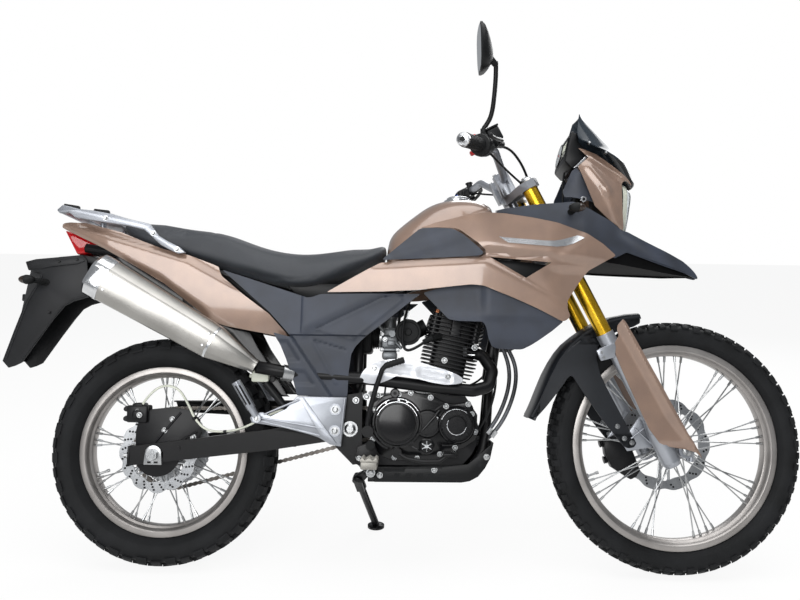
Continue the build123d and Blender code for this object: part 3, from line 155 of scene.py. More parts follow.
finish = {
    # two-coat metallic paint over ABS, sprayed: a soft pinkish bronze that darkens away from the light
    "bronzePaint": grainFinish("metallicBronzePaint", "#7c6659", "#8c7363", (0.3, 0.38), 1.6, 0.0, 0.3, 1.0),
    # moulded, grained polypropylene: dull blue-grey with a fine pebble
    "grainedPlastic": grainFinish("grainedPolypropylene", "#23272f", "#2f3542", (0.48, 0.62), 1.1, 0.10),
    # smooth moulded ABS in black: satin
    "blackPlastic": grainFinish("satinBlackABS", "#090a0b", "#111214", (0.34, 0.46), 2.5, 0.03,
        specular=0.22),
    # matt moulding of the beak's tray in near black: painted shade for a face turned away from the light
    "trayShadePlastic": grainFinish("mattTrayWithPaintedShade", "#050506", "#0a0a0b", (0.62, 0.76), 1.2, 0.05,
        specular=0.08),
    # powder-coated steel tube: black, slightly glossy, faint orange peel
    "powderCoat": grainFinish("powderCoatedSteel", "#070708", "#0e0e10", (0.3, 0.42), 3.0, 0.06,
        specular=0.22),
    # black enamelled cast aluminium of the engine: half gloss over a cast skin
    "engineEnamel": grainFinish("enamelledCastAluminium", "#0b0b0d", "#161618", (0.28, 0.44), 1.4, 0.12,
        specular=0.22),
    # gloss black enamel on the round covers: picks up clear highlights
    "coverEnamel": grainFinish("glossEnamelledCover", "#060607", "#0d0d0f", (0.16, 0.24), 4.0, 0.02, 0.0,
        0.12, specular=0.3),
    # silver painted cast aluminium: rail, brackets, fork bottoms
    "silverCasting": grainFinish("silverPaintedCasting", "#8b8e94", "#a4a7ad", (0.3, 0.42), 1.2, 0.04, 0.75),
    # machined aluminium: bright rings, bar ends, caps
    "machinedAluminium": grainFinish("machinedAluminium", "#b9bbbd", "#dcdddf", (0.18, 0.3), 0.8, 0.0, 1.0),
    # zinc-plated steel: bolts and spokes
    "zincSteel": grainFinish("zincPlatedSteel", "#8f9193", "#bfc0c0", (0.22, 0.38), 1.5, 0.0, 1.0),
    # ground brake steel, ringed by its pads
    "discSteel": grainFinish("groundBrakeSteel", "#8d8f92", "#b4b6b8", (0.24, 0.4), 0.7, 0.02, 1.0),
    # anodised aluminium rim: grey with a silk sheen
    "rimAluminium": grainFinish("anodisedRimAluminium", "#8f8b88", "#a9a5a2", (0.32, 0.44), 1.2, 0.01, 0.85),
    # gold anodised fork tube, drawn and ground along its length
    "goldTube": grainFinish("goldAnodisedTube", "#b98c18", "#e2b93a", (0.2, 0.32), 0.6, 0.0, 1.0, 0.0,
        (1, 1, 0.08)),
    # brushed stainless sheet: fine lines along the silencer
    "brushedStainless": grainFinish("brushedStainlessSheet", "#94928e", "#a5a39f", (0.26, 0.36), 0.5, 0.015,
        1.0, 0.0, (0.06, 1, 1)),
    # silver heat-proof paint, sprayed: the heat shield's satin flake
    "shieldPaint": grainFinish("silverHeatPaint", "#b9bbc0", "#d6d8dc", (0.26, 0.36), 1.2, 0.0, 0.35, 0.35),
    # bright chromed pressing: lamp bowls and silencer bands
    "chromedSteel": grainFinish("satinChromedPressing", "#b4b6b8", "#e2e3e4", (0.1, 0.2), 1.5, 0.0, 1.0),
    # tyre rubber: dark grey, with a fine random variation
    "tyreRubber": grainFinish("tyreRubber", "#0d0e0f", "#191a1c", (0.62, 0.8), 1.8, 0.10, specular=0.22),
    # soft moulded rubber: grips, hoses and boots
    "softRubber": grainFinish("softMouldedRubber", "#0a0b0c", "#131415", (0.5, 0.62), 1.2, 0.04,
        specular=0.22),
    # bare die-cast zinc alloy of the carburettor: dull grey
    "zincCasting": grainFinish("dieCastZincAlloy", "#6f7275", "#95989a", (0.38, 0.52), 1.0, 0.06, 0.85),
    # oiled chain steel: dark with worn bright edges
    "chainSteel": grainFinish("oiledChainSteel", "#4a4744", "#7a7570", (0.26, 0.42), 1.6, 0.0, 0.95),
    # red signal plastic: switch and reflector bodies
    "redPlastic": grainFinish("redSignalABS", "#8e0f12", "#b3171b", (0.24, 0.34), 2.0, 0.0),
    # blue-black polypropylene of the front mudguard
    "mudguardPlastic": grainFinish("mouldedPolypropylene", "#121418", "#1a1d22", (0.34, 0.46), 1.4, 0.05,
        specular=0.35),
    # satin ABS of the number plate carrier
    "satinPlastic": grainFinish("satinBlackCarrierABS", "#0c0d0f", "#16171a", (0.42, 0.55), 1.4, 0.05,
        specular=0.3),
    # weathered cast aluminium of the riding pegs
    "pegCasting": grainFinish("weatheredCastAluminium", "#7d7b76", "#a29f98", (0.42, 0.56), 1.4, 0.08, 0.8),
    # woven cover of the oil lines: dark with bright strands
    "braidedCover": grainFinish("wovenHoseCover", "#101113", "#5a5c60", (0.36, 0.5), 3.2, 0.25, 0.5),
    # powder coated spring wire, deep red
    "springPaint": grainFinish("powderCoatedSpring", "#7c0f12", "#93161a", (0.3, 0.4), 2.0, 0.02),
    # coloured ABS of the small switches
    "bluePlastic": grainFinish("blueSwitchABS", "#1c3c8c", "#2a52b4", (0.3, 0.4), 2.0, 0.0),
    "yellowPlastic": grainFinish("yellowSwitchABS", "#b58a14", "#d8ab22", (0.3, 0.4), 2.0, 0.0),
    # milky polyethylene: fluid reservoir, lamp band and dial marks
    "milkyPlastic": grainFinish("milkyPolyethylene", "#b9bcae", "#d6d8cb", (0.3, 0.42), 2.0, 0.02),
    # copper-plated washers under the head bolts
    "copperPlate": grainFinish("copperPlatedBolt", "#8f5a3a", "#b9795a", (0.24, 0.36), 1.5, 0.0, 1.0),
}


def lensFinish(name, tint, rough, through, flutes=0.0, specular=0.5):
    # moulded polycarbonate: clear body, tint in its colour, flutes in mm of pitch
    material, shader = startFinish(name, {"Roughness": rough, "Transmission Weight": through, "IOR": 1.49,
        "Base Color": toLinear(tint), "Specular IOR Level": specular})
    place = addNode(material, "ShaderNodeTexCoord")
    if flutes:
        waves = 1000 / flutes / 20 * math.pi        # scale that gives one wave a flute
        wave = addNode(material, "ShaderNodeTexWave", {"bands_direction": "Y", "Scale": waves},
            {"Vector": place.outputs["Object"]})
        bump = addNode(material, "ShaderNodeBump", {"Distance": 0.0006, "Strength": 0.7},
            {"Height": wave.outputs["Fac"]})
    else:
        speck = addNode(material, "ShaderNodeTexNoise", {"Scale": 60.0}, {"Vector": place.outputs["Object"]})
        bump = addNode(material, "ShaderNodeBump", {"Distance": 0.0001, "Strength": 0.2},
            {"Height": speck.outputs["Fac"]})
    material.node_tree.links.new(bump.outputs[0], shader.inputs["Normal"])
    return material


finish["clearLens"] = lensFinish("clearPolycarbonate", "#eef2f4", 0.02, 0.95)
finish["smokedScreen"] = lensFinish("smokedPolycarbonate", "#2a3138", 0.12, 0.1, specular=0.12)
finish["smokedLens"] = lensFinish("smokedIndicatorLens", "#2e2119", 0.1, 0.3, 5.0)
finish["redLens"] = lensFinish("redPolycarbonate", "#c4161b", 0.08, 0.35, 6.0)
finish["mirrorGlass"] = grainFinish("silveredGlass", "#d5d9dc", "#e2e5e8", (0.02, 0.04), 6.0, 0.0, 1.0)


def seatVinylFinish():
    # stamped PVC seat cover: dark grey, leather-like cells about 1.6 mm across, dull sheen
    material, shader = startFinish("stampedSeatVinyl", {"Roughness": 0.52, "Sheen Weight": 0.12})
    place = addNode(material, "ShaderNodeTexCoord")
    cells = addNode(material, "ShaderNodeTexVoronoi", {"feature": "DISTANCE_TO_EDGE", "Scale": 1000 / 2.2},
        {"Vector": place.outputs["Object"]})
    clouds = addNode(material, "ShaderNodeTexNoise", {"Scale": 16.0, "Detail": 3.0},
        {"Vector": place.outputs["Object"]})
    edge = addNode(material, "ShaderNodeMapRange", {"From Max": 0.12}, {"Value": cells.outputs["Distance"]})
    colour = addNode(material, "ShaderNodeMix",
        {"data_type": "RGBA", 6: toLinear("#1f2227"), 7: toLinear("#2b2f35")}, {0: clouds.outputs["Fac"]})
    bump = addNode(material, "ShaderNodeBump", {"Distance": 0.00025, "Strength": 0.5},
        {"Height": edge.outputs[0]})
    material.node_tree.links.new(colour.outputs[2], shader.inputs["Base Color"])
    material.node_tree.links.new(bump.outputs[0], shader.inputs["Normal"])
    return material


finish["seatVinyl"] = seatVinylFinish()
print("finishes made,", len(finish))


# modelling helpers

def smoothByAngle(mesh, degrees):
    mesh.shade_smooth()
    mesh.set_sharp_from_angle(angle=math.radians(degrees))


def newPiece(name, mesh, body, finishName, angle):
    # what every piece ends with: finish, shading and body
    mesh.materials.clear()
    mesh.materials.append(finish[finishName])
    smoothByAngle(mesh, angle)
    piece = newObject(name, mesh)
    if body:
        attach(piece, body)
    return piece


def placePiece(name, bm, body, finishName, replaces=(), angle=38, bevel=0.0):
    # a finished bmesh in upright millimetres becomes a piece of the parked bike
    bmesh.ops.recalc_face_normals(bm, faces=bm.faces)
    bmesh.ops.transform(bm, matrix=leanFrame, verts=bm.verts)
    mesh = bpy.data.meshes.new(name)
    bm.to_mesh(mesh)
    bm.free()
    piece = newPiece(name, mesh, body, finishName, angle)
    if bevel:
        edge = piece.modifiers.new("softEdges", "BEVEL")
        edge.width, edge.segments, edge.limit_method = bevel / 1000, 2, "ANGLE"
        edge.angle_limit = math.radians(40)
        edge.harden_normals = False
    if replaces:
        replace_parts(piece, *replaces)
    return piece


def movedVerts(made):
    return [g for g in made["geom"] if isinstance(g, bmesh.types.BMVert)]


def roundEdges(bm, edges, offset, segments=2, clamp=False):
    bmesh.ops.bevel(bm, geom=edges, offset=offset, affect="EDGES", segments=segments, profile=0.5,
        material=-1, clamp_overlap=clamp)


def around(x, z, radius, angle):
    # point on a circle seen from the side
    return x + radius * math.cos(angle), z + radius * math.sin(angle)


def addBar(bm, start, end, radius, sides, endRadius=None):
    a, b = Vector(start), Vector(end)
    along = b - a
    place = Matrix.Translation((a + b) / 2) @ along.to_track_quat("Z", "Y").to_matrix().to_4x4()
    bmesh.ops.create_cone(bm, cap_ends=True, segments=sides, radius1=radius, depth=along.length,
        radius2=radius if endRadius is None else endRadius, matrix=place)


def addRun(bm, points, radius, sides):
    for a, b in zip(points, points[1:]):
        addBar(bm, a, b, radius, sides)


def addAcross(bm, x, z, y0, y1, radius, sides=24, endRadius=None):
    addBar(bm, (x, y0, z), (x, y1, z), radius, sides, endRadius)


def addCube(bm, place, soften, segments=2):
    made = bmesh.ops.create_cube(bm, size=1.0, matrix=place)
    edges = dict.fromkeys(e for v in made["verts"] for e in v.link_edges)
    roundEdges(bm, list(edges), soften, segments)


def addBlock(bm, low, high, soften):
    low, high = Vector(low), Vector(high)
    addCube(bm, Matrix.Translation((low + high) / 2) @ Matrix.Diagonal((*(high - low), 1)), soften)


def addBlocks(bm, low, high, soften):
    # the same block on each side of the bike
    addBlock(bm, (low[0], -high[1], low[2]), (high[0], -low[1], high[2]), soften)
    addBlock(bm, low, high, soften)


def addPlate(bm, outline, y0, y1, soften=0.0):
    # side-view outline given thickness across the bike
    loop = [bm.verts.new((x, y0, z)) for x, z in outline]
    face = bm.faces.new(loop)
    moved = movedVerts(bmesh.ops.extrude_face_region(bm, geom=[face], use_keep_orig=True))
    bmesh.ops.translate(bm, verts=moved, vec=(0, y1 - y0, 0))
    if soften:
        edges = dict.fromkeys(e for v in loop + moved for f in v.link_faces for e in f.edges)
        edges = [e for e in edges if e.is_manifold and e.calc_face_angle(0) > 0.6]
        roundEdges(bm, edges, soften, clamp=True)


def addPlates(bm, outline, inner, outer, soften=0.0):
    # the same plate on each side of the bike
    for side in (-1, 1):
        addPlate(bm, outline, *sorted((side * inner, side * outer)), soften)


def spinPoints(bm, points, centre, axis, steps, closed=False):
    # a run of points turned about an axis
    loop = [bm.verts.new(p) for p in points]
    edges = [bm.edges.new(pair) for pair in zip(loop, loop[1:])]
    if closed:
        edges.append(bm.edges.new((loop[-1], loop[0])))
    bmesh.ops.spin(bm, geom=loop + edges, cent=centre, axis=axis, angle=math.tau, steps=steps, use_merge=True)
    bmesh.ops.remove_doubles(bm, verts=bm.verts, dist=0.001)


def addTurned(bm, profile, x, z, steps, closed=False):
    # (y, radius) profile turned about the line across the bike through (x, z)
    spinPoints(bm, [(x, y, z + radius) for y, radius in profile], (x, 0, z), (0, 1, 0), steps, closed)


def mirrorAcross(bm):
    copy = bmesh.ops.duplicate(bm, geom=bm.verts[:] + bm.edges[:] + bm.faces[:])
    faces = [g for g in copy["geom"] if isinstance(g, bmesh.types.BMFace)]
    bmesh.ops.scale(bm, vec=(1, -1, 1), verts=movedVerts(copy))
    bmesh.ops.reverse_faces(bm, faces=faces)


def dressNode(node, body, finishName, slotName):
    # the CAD node's own shape, merged and shaded smooth
    bm = bmesh.new()
    bm.from_mesh(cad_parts[node].data)
    bmesh.ops.remove_doubles(bm, verts=bm.verts, dist=0.00002)
    mesh = bpy.data.meshes.new(node + "Dressed")
    bm.to_mesh(mesh)
    bm.free()
    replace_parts(newPiece(node + "Dressed", mesh, body, finishName, 32), node)


def addHose(name, route, radius, body, finishName):
    # a held hose or cable on one smooth line
    curve = bpy.data.curves.new(name, "CURVE")
    curve.dimensions = "3D"
    spline = curve.splines.new("NURBS")
    spline.points.add(len(route) - 1)
    for point, spot in zip(spline.points, route):
        point.co = (*(leanFrame @ Vector(spot)), 1)
    spline.order_u, spline.use_endpoint_u, spline.resolution_u = 3, True, 8
    curve.bevel_depth, curve.bevel_resolution, curve.use_fill_caps = radius / 1000, 3, True
    drawn = newObject(name + "Line", curve)
    mesh = bpy.data.meshes.new_from_object(drawn)
    bpy.data.objects.remove(drawn)
    mesh.name = name
    return newPiece(name, mesh, body, finishName, 50)


# wheels

wheels = {
    "front": {"x": bike["frontX"], "radius": bike["frontRadius"], "half": 46.0, "bead": 267.0,
        "rimHalf": 29.0, "lugs": 66, "lugLong": 19.0, "deep": 8.0, "body": "front_wheel", "flangeY": 26.0,
        "flangeR": 34.0},
    "rear": {"x": bike["rearX"], "radius": bike["rearRadius"], "half": 58.0, "bead": 218.5, "rimHalf": 34.0,
        "lugs": 46, "lugLong": 29.0, "deep": 10.0, "body": "rear_wheel", "flangeY": 30.0, "flangeR": 42.0},
}


def addLug(bm, profile, length, angle, x, z, lean=0.0):
    # one tread block: its section across the tyre, run round the tyre by its length
    loop = [bm.verts.new((-length / 2, y, r)) for y, r in profile]
    face = bm.faces.new(loop)
    far = movedVerts(bmesh.ops.extrude_face_region(bm, geom=[face], use_keep_orig=True))
    bmesh.ops.translate(bm, verts=far, vec=(length, 0, 0))
    verts = loop + far
    middle = sum((v.co for v in verts), Vector()) / len(verts)
    top = max(v.co.z for v in verts)
    draft = 0.82                            # the tread face is shorter than its root
    for v in verts:
        if v.co.z > top - 16 and v.co.z > middle.z - 2:
            v.co.x *= draft
    turn = Matrix.Rotation(lean, 4, Vector((0, 0, 1)))
    there, back = Matrix.Translation((0, middle.y, 0)), Matrix.Translation((0, -middle.y, 0))
    bmesh.ops.transform(bm, matrix=there @ turn @ back, verts=verts)
    place = Matrix.Translation((x, 0, z)) @ Matrix.Rotation(angle, 4, "Y")
    bmesh.ops.transform(bm, matrix=place, verts=verts)


def addTyre(name, wheel, node):
    radius, half, bead = wheel["radius"], wheel["half"], wheel["bead"]
    x, z, deep = wheel["x"], wheel["radius"], wheel["deep"]
    depth = radius - bead
    inside = wheel["rimHalf"] - 4.0
    crown = [(inside, bead + 1), (inside, bead + 15), (inside + 3, bead + 17),
        (half * 0.86, bead + depth * 0.34), (half * 0.88, bead + depth * 0.36),
        (half * 0.93, bead + depth * 0.45), (half * 0.965, bead + depth * 0.58),
        (half * 0.95, bead + depth * 0.62), (half * 0.9, radius - deep - depth * 0.13),
        (half * 0.74, radius - deep - depth * 0.07), (half * 0.4, radius - deep - 1.5), (0, radius - deep)]
    bm = bmesh.new()
    profile = crown + [(-y, r) for y, r in reversed(crown[:-1])]
    addTurned(bm, profile, x, z, steps=120, closed=True)
    step = math.tau / wheel["lugs"]
    long = wheel["lugLong"]
    edgeLow, edgeMid = radius - depth * 0.32, radius - depth * 0.13
    for i in range(wheel["lugs"]):
        angle = step * i
        short = i % 2
        for side in (-1, 1):
            turn = angle + (step * 0.5 if side > 0 else 0)
            low = edgeLow + (7 if short else 0)
            shoulder = [(half * 0.56, radius - depth * 0.045), (half * 0.86, edgeMid),
                (half * 0.995, low + 4), (half * 0.99, low), (half * 0.9, low - 1),
                (half * 0.78, radius - deep - 12), (half * 0.56, radius - deep - 6)]
            addLug(bm, [(side * y, r) for y, r in shoulder], long, turn, x, z)
            middle = [(half * 0.05, radius - 0.2), (half * 0.42, radius - depth * 0.022),
                (half * 0.44, radius - deep - 4), (half * 0.05, radius - deep - 3)]
            addLug(bm, [(side * y, r) for y, r in middle], long * 0.92, turn + step * 0.5, x, z,
                lean=side * 0.16)
    placePiece(name, bm, wheel["body"], "tyreRubber", (node,), angle=28)


def spokeEnds(wheel):
    # hub hole, rim hole and hub side of each wire spoke
    perSide = 18
    for side in (-1, 1):
        for i in range(perSide):
            hole = 360.0 / perSide * (i + 0.25 * side)
            lean = 52.0 if i % 2 else -52.0
            yHub = side * (wheel["flangeY"] + (8.5 if i % 2 else 1.0))
            yield (hole, hole + lean * 0.62, yHub, side)


def polarSpot(wheel, radius, degrees, y):
    px, pz = around(wheel["x"], wheel["radius"], radius, math.radians(degrees))
    return px, y, pz


def addSpokes(name, wheel, node):
    bm = bmesh.new()
    for hole, nipple, yHub, side in spokeEnds(wheel):
        start = Vector(polarSpot(wheel, wheel["flangeR"] - 5, hole, yHub))
        end = Vector(polarSpot(wheel, wheel["bead"] - 15.5, nipple, side * 5.0))
        addBar(bm, start, end, 1.9, sides=8)
        along = (end - start).normalized()
        addBar(bm, end - along * 17, end + along * 1.5, 3.3, sides=8, endRadius=3.6)
        addBar(bm, start - Vector((0, side * 2.2, 0)), start + Vector((0, side * 2.2, 0)), 3.6, sides=8)
    placePiece(name, bm, wheel["body"], "zincSteel", (node,), angle=40)


def addHub(name, wheel, barrel, endY, finishName):
    x, z = wheel["x"], wheel["radius"]
    fy, fr = wheel["flangeY"], wheel["flangeR"]
    bm = bmesh.new()
    half = [(endY, 8.6), (endY, 16), (endY - 6, 17), (fy + 7, 21), (fy + 7, fr - 1), (fy + 6, fr),
        (fy + 1, fr), (fy, fr - 1), (fy - 3, barrel + 3), (fy - 8, barrel)]
    profile = half + [(-y, r) for y, r in reversed(half)]
    addTurned(bm, profile, x, z, steps=64, closed=True)
    placePiece(name, bm, wheel["body"], finishName, angle=30)


def addRim(name, wheel, node):
    # extruded section with rolled flanges, two inner beads and a raised centre band
    b, h = wheel["bead"], wheel["rimHalf"]
    half = [(h - 3.2, b + 0.5), (h - 3.2, b + 12), (h - 2.4, b + 13.6), (h - 0.8, b + 13.6), (h, b + 12.2),
        (h, b - 1), (h - 1.5, b - 3.4), (h - 5, b - 5.6), (h * 0.62, b - 9), (h * 0.5, b - 14.6),
        (h * 0.36, b - 16), (0, b - 16.4)]
    inner = [(0, b - 12.2), (h * 0.4, b - 11.6), (h * 0.56, b - 2.6), (h - 3.4, b - 0.2)]
    bm = bmesh.new()
    loop = half + [(-y, r) for y, r in reversed(half[:-1])] + [(-y, r) for y,
        r in reversed(inner[1:])] + inner
    addTurned(bm, loop, wheel["x"], wheel["radius"], steps=128, closed=True)
    placePiece(name, bm, wheel["body"], "rimAluminium", (node,), angle=30)
    valve = bmesh.new()
    low = polarSpot(wheel, b - 44, 200, 0)
    high = polarSpot(wheel, b - 16, 200, 0)
    addBar(valve, low, high, 3.2, sides=12)
    addBar(valve, polarSpot(wheel, b - 50, 200, 0), polarSpot(wheel, b - 42, 200, 0), 4.4, sides=12)
    addBar(valve, polarSpot(wheel, b - 21, 200, 0), polarSpot(wheel, b - 16, 200, 0), 6.5, sides=6)
    placePiece(name + "Valve", valve, wheel["body"], "zincSteel")


discs = {
    "front": {"y": 60.0, "outer": 131.5, "inner": 98.0, "carrier": 44.0, "thick": 3.8, "waves": 10,
        "arms": 5},
    "rear": {"y": -70.0, "outer": 107.0, "inner": 76.0, "carrier": 50.0, "thick": 3.8, "waves": 12,
        "arms": 6},
}


def addDisc(name, wheel, disc, node):
    # wavy braking ring with slots, on an armed carrier bolted to the hub
    x, z, middleY = wheel["x"], wheel["radius"], disc["y"]
    y0 = middleY - disc["thick"] / 2
    bm = bmesh.new()
    steps = disc["waves"] * 12
    rings = []
    for inner in (False, True):
        loop = []
        for i in range(steps):
            a = math.tau * i / steps
            dip = 0.5 - 0.5 * math.cos(disc["waves"] * a)
            r = disc["inner"] + 5 * dip if inner else disc["outer"] - 7 * dip ** 2
            px, pz = around(x, z, r, a)
            loop.append(bm.verts.new((px, y0, pz)))
        rings.append([bm.edges.new((loop[i], loop[(i + 1) % steps])) for i in range(steps)])
    ring = bmesh.ops.bridge_loops(bm, edges=rings[0] + rings[1])["faces"]
    made = bmesh.ops.extrude_face_region(bm, geom=ring, use_keep_orig=True)
    bmesh.ops.translate(bm, verts=movedVerts(made), vec=(0, disc["thick"], 0))
    placePiece(name, bm, wheel["body"], "discSteel", (node,), angle=30)
    # black discs on both faces of the ring: painted shade standing in for the holes through it
    slots = bmesh.new()
    middle = (disc["inner"] + disc["outer"]) / 2
    for i in range(disc["waves"] * 2):
        a = math.tau * (i + 0.5) / (disc["waves"] * 2)
        for k in (-1, 0, 1):
            for y in (y0 - 0.25, y0 + disc["thick"] + 0.25):
                addAcross(slots, *around(x, z, middle + k * 7, a + k * 0.045), y - 0.2, y + 0.2, 3.0, 12)
    placePiece(name + "HoleShade", slots, wheel["body"], "powderCoat")
    carrier = bmesh.new()
    addAcross(carrier, x, z, middleY - 3, middleY + 3, disc["carrier"], 48)
    for i in range(disc["arms"] * 2):
        a = math.tau * i / (disc["arms"] * 2)
        rootX, rootZ = around(x, z, disc["carrier"] - 6, a)
        tipX, tipZ = around(x, z, disc["inner"] + 7, a + (0.2 if i % 2 else -0.2))
        addBar(carrier, (rootX, middleY, rootZ), (tipX, middleY, tipZ), 5.0, 8, 3.6)
        addAcross(carrier, tipX, tipZ, middleY - 4, middleY + 4, 6.0, 12)
        if i % 2:
            spot = around(x, z, disc["carrier"] * 0.72, a)
            side = 1 if middleY > 0 else -1
            addAcross(carrier, *spot, middleY + side * 2, middleY + side * 7, 5.0, 6)
    placePiece(name + "Carrier", carrier, wheel["body"], "discSteel")


for end, wheel in wheels.items():
    addTyre(end + "Tyre", wheel, end + "_tyre")
    addRim(end + "Rim", wheel, end + "_rim")
    addSpokes(end + "Spokes", wheel, end + "_hub")
    addDisc(end + "Disc", wheel, discs[end], end + "_disc")
addHub("frontHub", wheels["front"], 20, 52, "silverCasting")
addHub("rearHub", wheels["rear"], 26, 60, "engineEnamel")
print("wheels made")


# moulded bodywork

def cutIntoCells(bm, stepX, stepZ):
    # cuts flat faces into cells, so that they can take a curve
    for axis, step in (((1, 0, 0), stepX), ((0, 0, 1), stepZ)):
        index = 0 if axis[0] else 2
        low = min(v.co[index] for v in bm.verts)
        high = max(v.co[index] for v in bm.verts)
        place = math.floor(low / step) * step + step
        while place < high - 0.01:
            centre = [0, 0, 0]
            centre[index] = place
            bmesh.ops.bisect_plane(bm, geom=bm.verts[:] + bm.edges[:] + bm.faces[:], dist=0.01,
                plane_co=centre, plane_no=axis)
            place += step


def blendDepth(stations, x, z):
    # distance from the middle plane: straight along the bike, crowned from low over mid to high
    last = len(stations) - 2
    for i, (a, b) in enumerate(zip(stations, stations[1:])):
        if x <= b[0] or i == last:
            break
    t = min(max((x - a[0]) / (b[0] - a[0]), 0.0), 1.0)
    zLow, zMid, zHigh, yLow, yMid, yHigh = [p + (q - p) * t for p, q in zip(a[1:], b[1:])]
    if z < zMid:
        s = min(max((zMid - z) / (zMid - zLow), 0), 1)
        return yMid + (yLow - yMid) * s ** 1.5
    s = min(max((z - zMid) / (zHigh - zMid), 0), 1)
    return yMid + (yHigh - yMid) * s ** 1.5


def offLine(line, x, z):
    # signed distance from the line through its first two points, plus how far along it
    (ax, az), (bx, bz) = line[:2]
    length = math.hypot(bx - ax, bz - az)
    dx, dz = (bx - ax) / length, (bz - az) / length
    return (x - ax) * dz - (z - az) * dx, ((x - ax) * dx + (z - az) * dz) / length


def ramp(value, low, high):
    t = min(max((value - low) / (high - low), 0.0), 1.0)
    return t * t * (3 - 2 * t)


def moulding(outline, depth, thick, step, corner, holes=(), sided=True):
    # one skin: outline with rounded corners, cut into cells, curved by depth(x, z), walled inwards
    bm = bmesh.new()
    face = bm.faces.new([bm.verts.new((x, 0, z)) for x, z in outline])
    bmesh.ops.bevel(bm, geom=face.verts[:], offset=corner, affect="VERTICES", segments=3, profile=0.5,
        material=-1)
    for hole in holes:
        cutHole(bm, hole)
    cutIntoCells(bm, step, step)
    for v in bm.verts:
        v.co.y = -depth(v.co.x, v.co.z)
    bmesh.ops.recalc_face_normals(bm, faces=bm.faces)
    if sum(f.normal.y * f.calc_area() for f in bm.faces) > 0:
        bmesh.ops.reverse_faces(bm, faces=bm.faces)
    wallInwards(bm, Vector((0, thick, 0)))
    if sided:
        mirrorAcross(bm)
    return bm


def wallInwards(bm, step):
    # second skin behind the first, joined along every open edge
    rim = [e for e in bm.edges if e.is_boundary]
    made = bmesh.ops.duplicate(bm, geom=bm.verts[:] + bm.edges[:] + bm.faces[:])
    twin = made["vert_map"]
    for v in movedVerts(made):
        v.co += step(v.co) if callable(step) else step
    for e in rim:
        a, b = e.verts
        bm.faces.new((a, b, twin[b], twin[a]))


def cutHole(bm, hole):
    # convex opening: a cut along each side, then the faces inside are taken out
    middle = Vector((sum(p[0] for p in hole) / len(hole), 0, sum(p[1] for p in hole) / len(hole)))
    sides = list(zip(hole, hole[1:] + hole[:1]))
    for (ax, az), (bx, bz) in sides:
        normal = Vector((bz - az, 0, ax - bx)).normalized()
        bmesh.ops.bisect_plane(bm, geom=bm.verts[:] + bm.edges[:] + bm.faces[:], dist=0.01,
            plane_co=(ax, 0, az), plane_no=normal)
    inside = []
    for f in bm.faces:
        spot = f.calc_center_median()
        keep = True
        for (ax, az), (bx, bz) in sides:
            normal = Vector((bz - az, 0, ax - bx))
            here = (spot - Vector((ax, 0, az))).dot(normal)
            there = (middle - Vector((ax, 0, az))).dot(normal)
            keep = keep and here * there > 0
        if keep:
            inside.append(f)
    bmesh.ops.delete(bm, geom=inside, context="FACES")


shroud = {
    "stations": [(-270, 600, 800, 1000, 136, 148, 138), (-100, 600, 820, 1000, 142, 156, 146),
        (150, 600, 830, 1000, 156, 184, 160), (340, 600, 830, 1000, 160, 192, 164),
        (430, 600, 830, 1000, 158, 180, 158), (530, 600, 830, 1000, 138, 146, 138)],
    "outline": [(-6, 925), (34, 939), (96, 955), (160, 967), (218, 964), (290, 953), (358, 939), (429, 914),
        (478, 886), (514, 857), (456, 824), (440, 815), (423, 795), (398, 758), (382, 733), (381, 712),
        (389, 692), (376, 680), (366, 679), (300, 712), (240, 738), (161, 769), (131, 772), (100, 769),
        (-10, 757), (-109, 752), (-253, 749), (-182, 790), (-111, 830), (-20, 837), (90, 842), (149, 844),
        (167, 853), (168, 862), (150, 880), (118, 905), (98, 920), (82, 924), (40, 926)],
    "hole": [(176, 846), (338, 832), (272, 791)],
    "trim": [(200, 900), (214, 897), (324, 889), (344, 889), (366, 893), (408, 906), (426, 899), (396, 883),
        (374, 876), (350, 873), (310, 876), (224, 883)],
}


def shroudDepth(x, z):
    depth = blendDepth(shroud["stations"], x, z)
    # lower lip of the wing turns in
    off = offLine([(150, 862), (446, 830)], x, z)[0]
    depth += 6 * ramp(-off, -4, 22) * ramp(x, 110, 190) * ramp(z, 806, 834)
    # upper edge of the strip is a bright chamfer
    above = offLine([(-111, 830), (145, 844)], x, z)[0]
    if x < 165:
        depth -= 8 * ramp(-above, -16, -1) * (1 - ramp(-above, 3, 12))
    else:
        under = offLine([(170, 851), (333, 761)], x, z)[0]
        depth -= 9 * (1 - ramp(under, 4, 20)) * ramp(z, 690, 790) * (1 - ramp(-off, -2, 14))
    # facet crease down the front
    front = offLine([(330, 752), (372, 680)], x, z)[0]
    depth -= 9 * ramp(-front, 4, 60) * ramp(830 - z, 0, 30)
    # wing turns in towards the beak
    nose = offLine([(439, 902), (390, 858)], x, z)[0]
    depth -= 6 * ramp(nose, 0, 30) * ramp(z, 842, 850)
    return depth


placePiece("upperShrouds", moulding(shroud["outline"], shroudDepth, 5.0, 8.0, 5.0, [shroud["hole"]]),
    "chassis", "bronzePaint", ("upper_shrouds",), angle=50, bevel=1.6)
pan = bmesh.new()
addPlates(pan, [(-392, 796), (-345, 752), (-296, 730), (-240, 736), (-140, 738), (-140, 772), (-300, 780)],
    90, 94, 1.0)
placePiece("seatPanEdges", pan, "chassis", "blackPlastic")
# black sheet behind the intake opening: painted shade that hides the tank and frame showing through
intake = bmesh.new()
addPlates(intake, [(156, 846), (186, 846), (300, 836), (346, 828), (284, 780), (262, 776), (168, 830)], 139,
    142, 1.0)
placePiece("intakeShadeSheet", intake, "chassis", "blackPlastic")
placePiece("shroudTrim", moulding(shroud["trim"], lambda x, z: shroudDepth(x, z) + 1.6, 2.6, 10.0, 2.0),
    "chassis", "machinedAluminium")

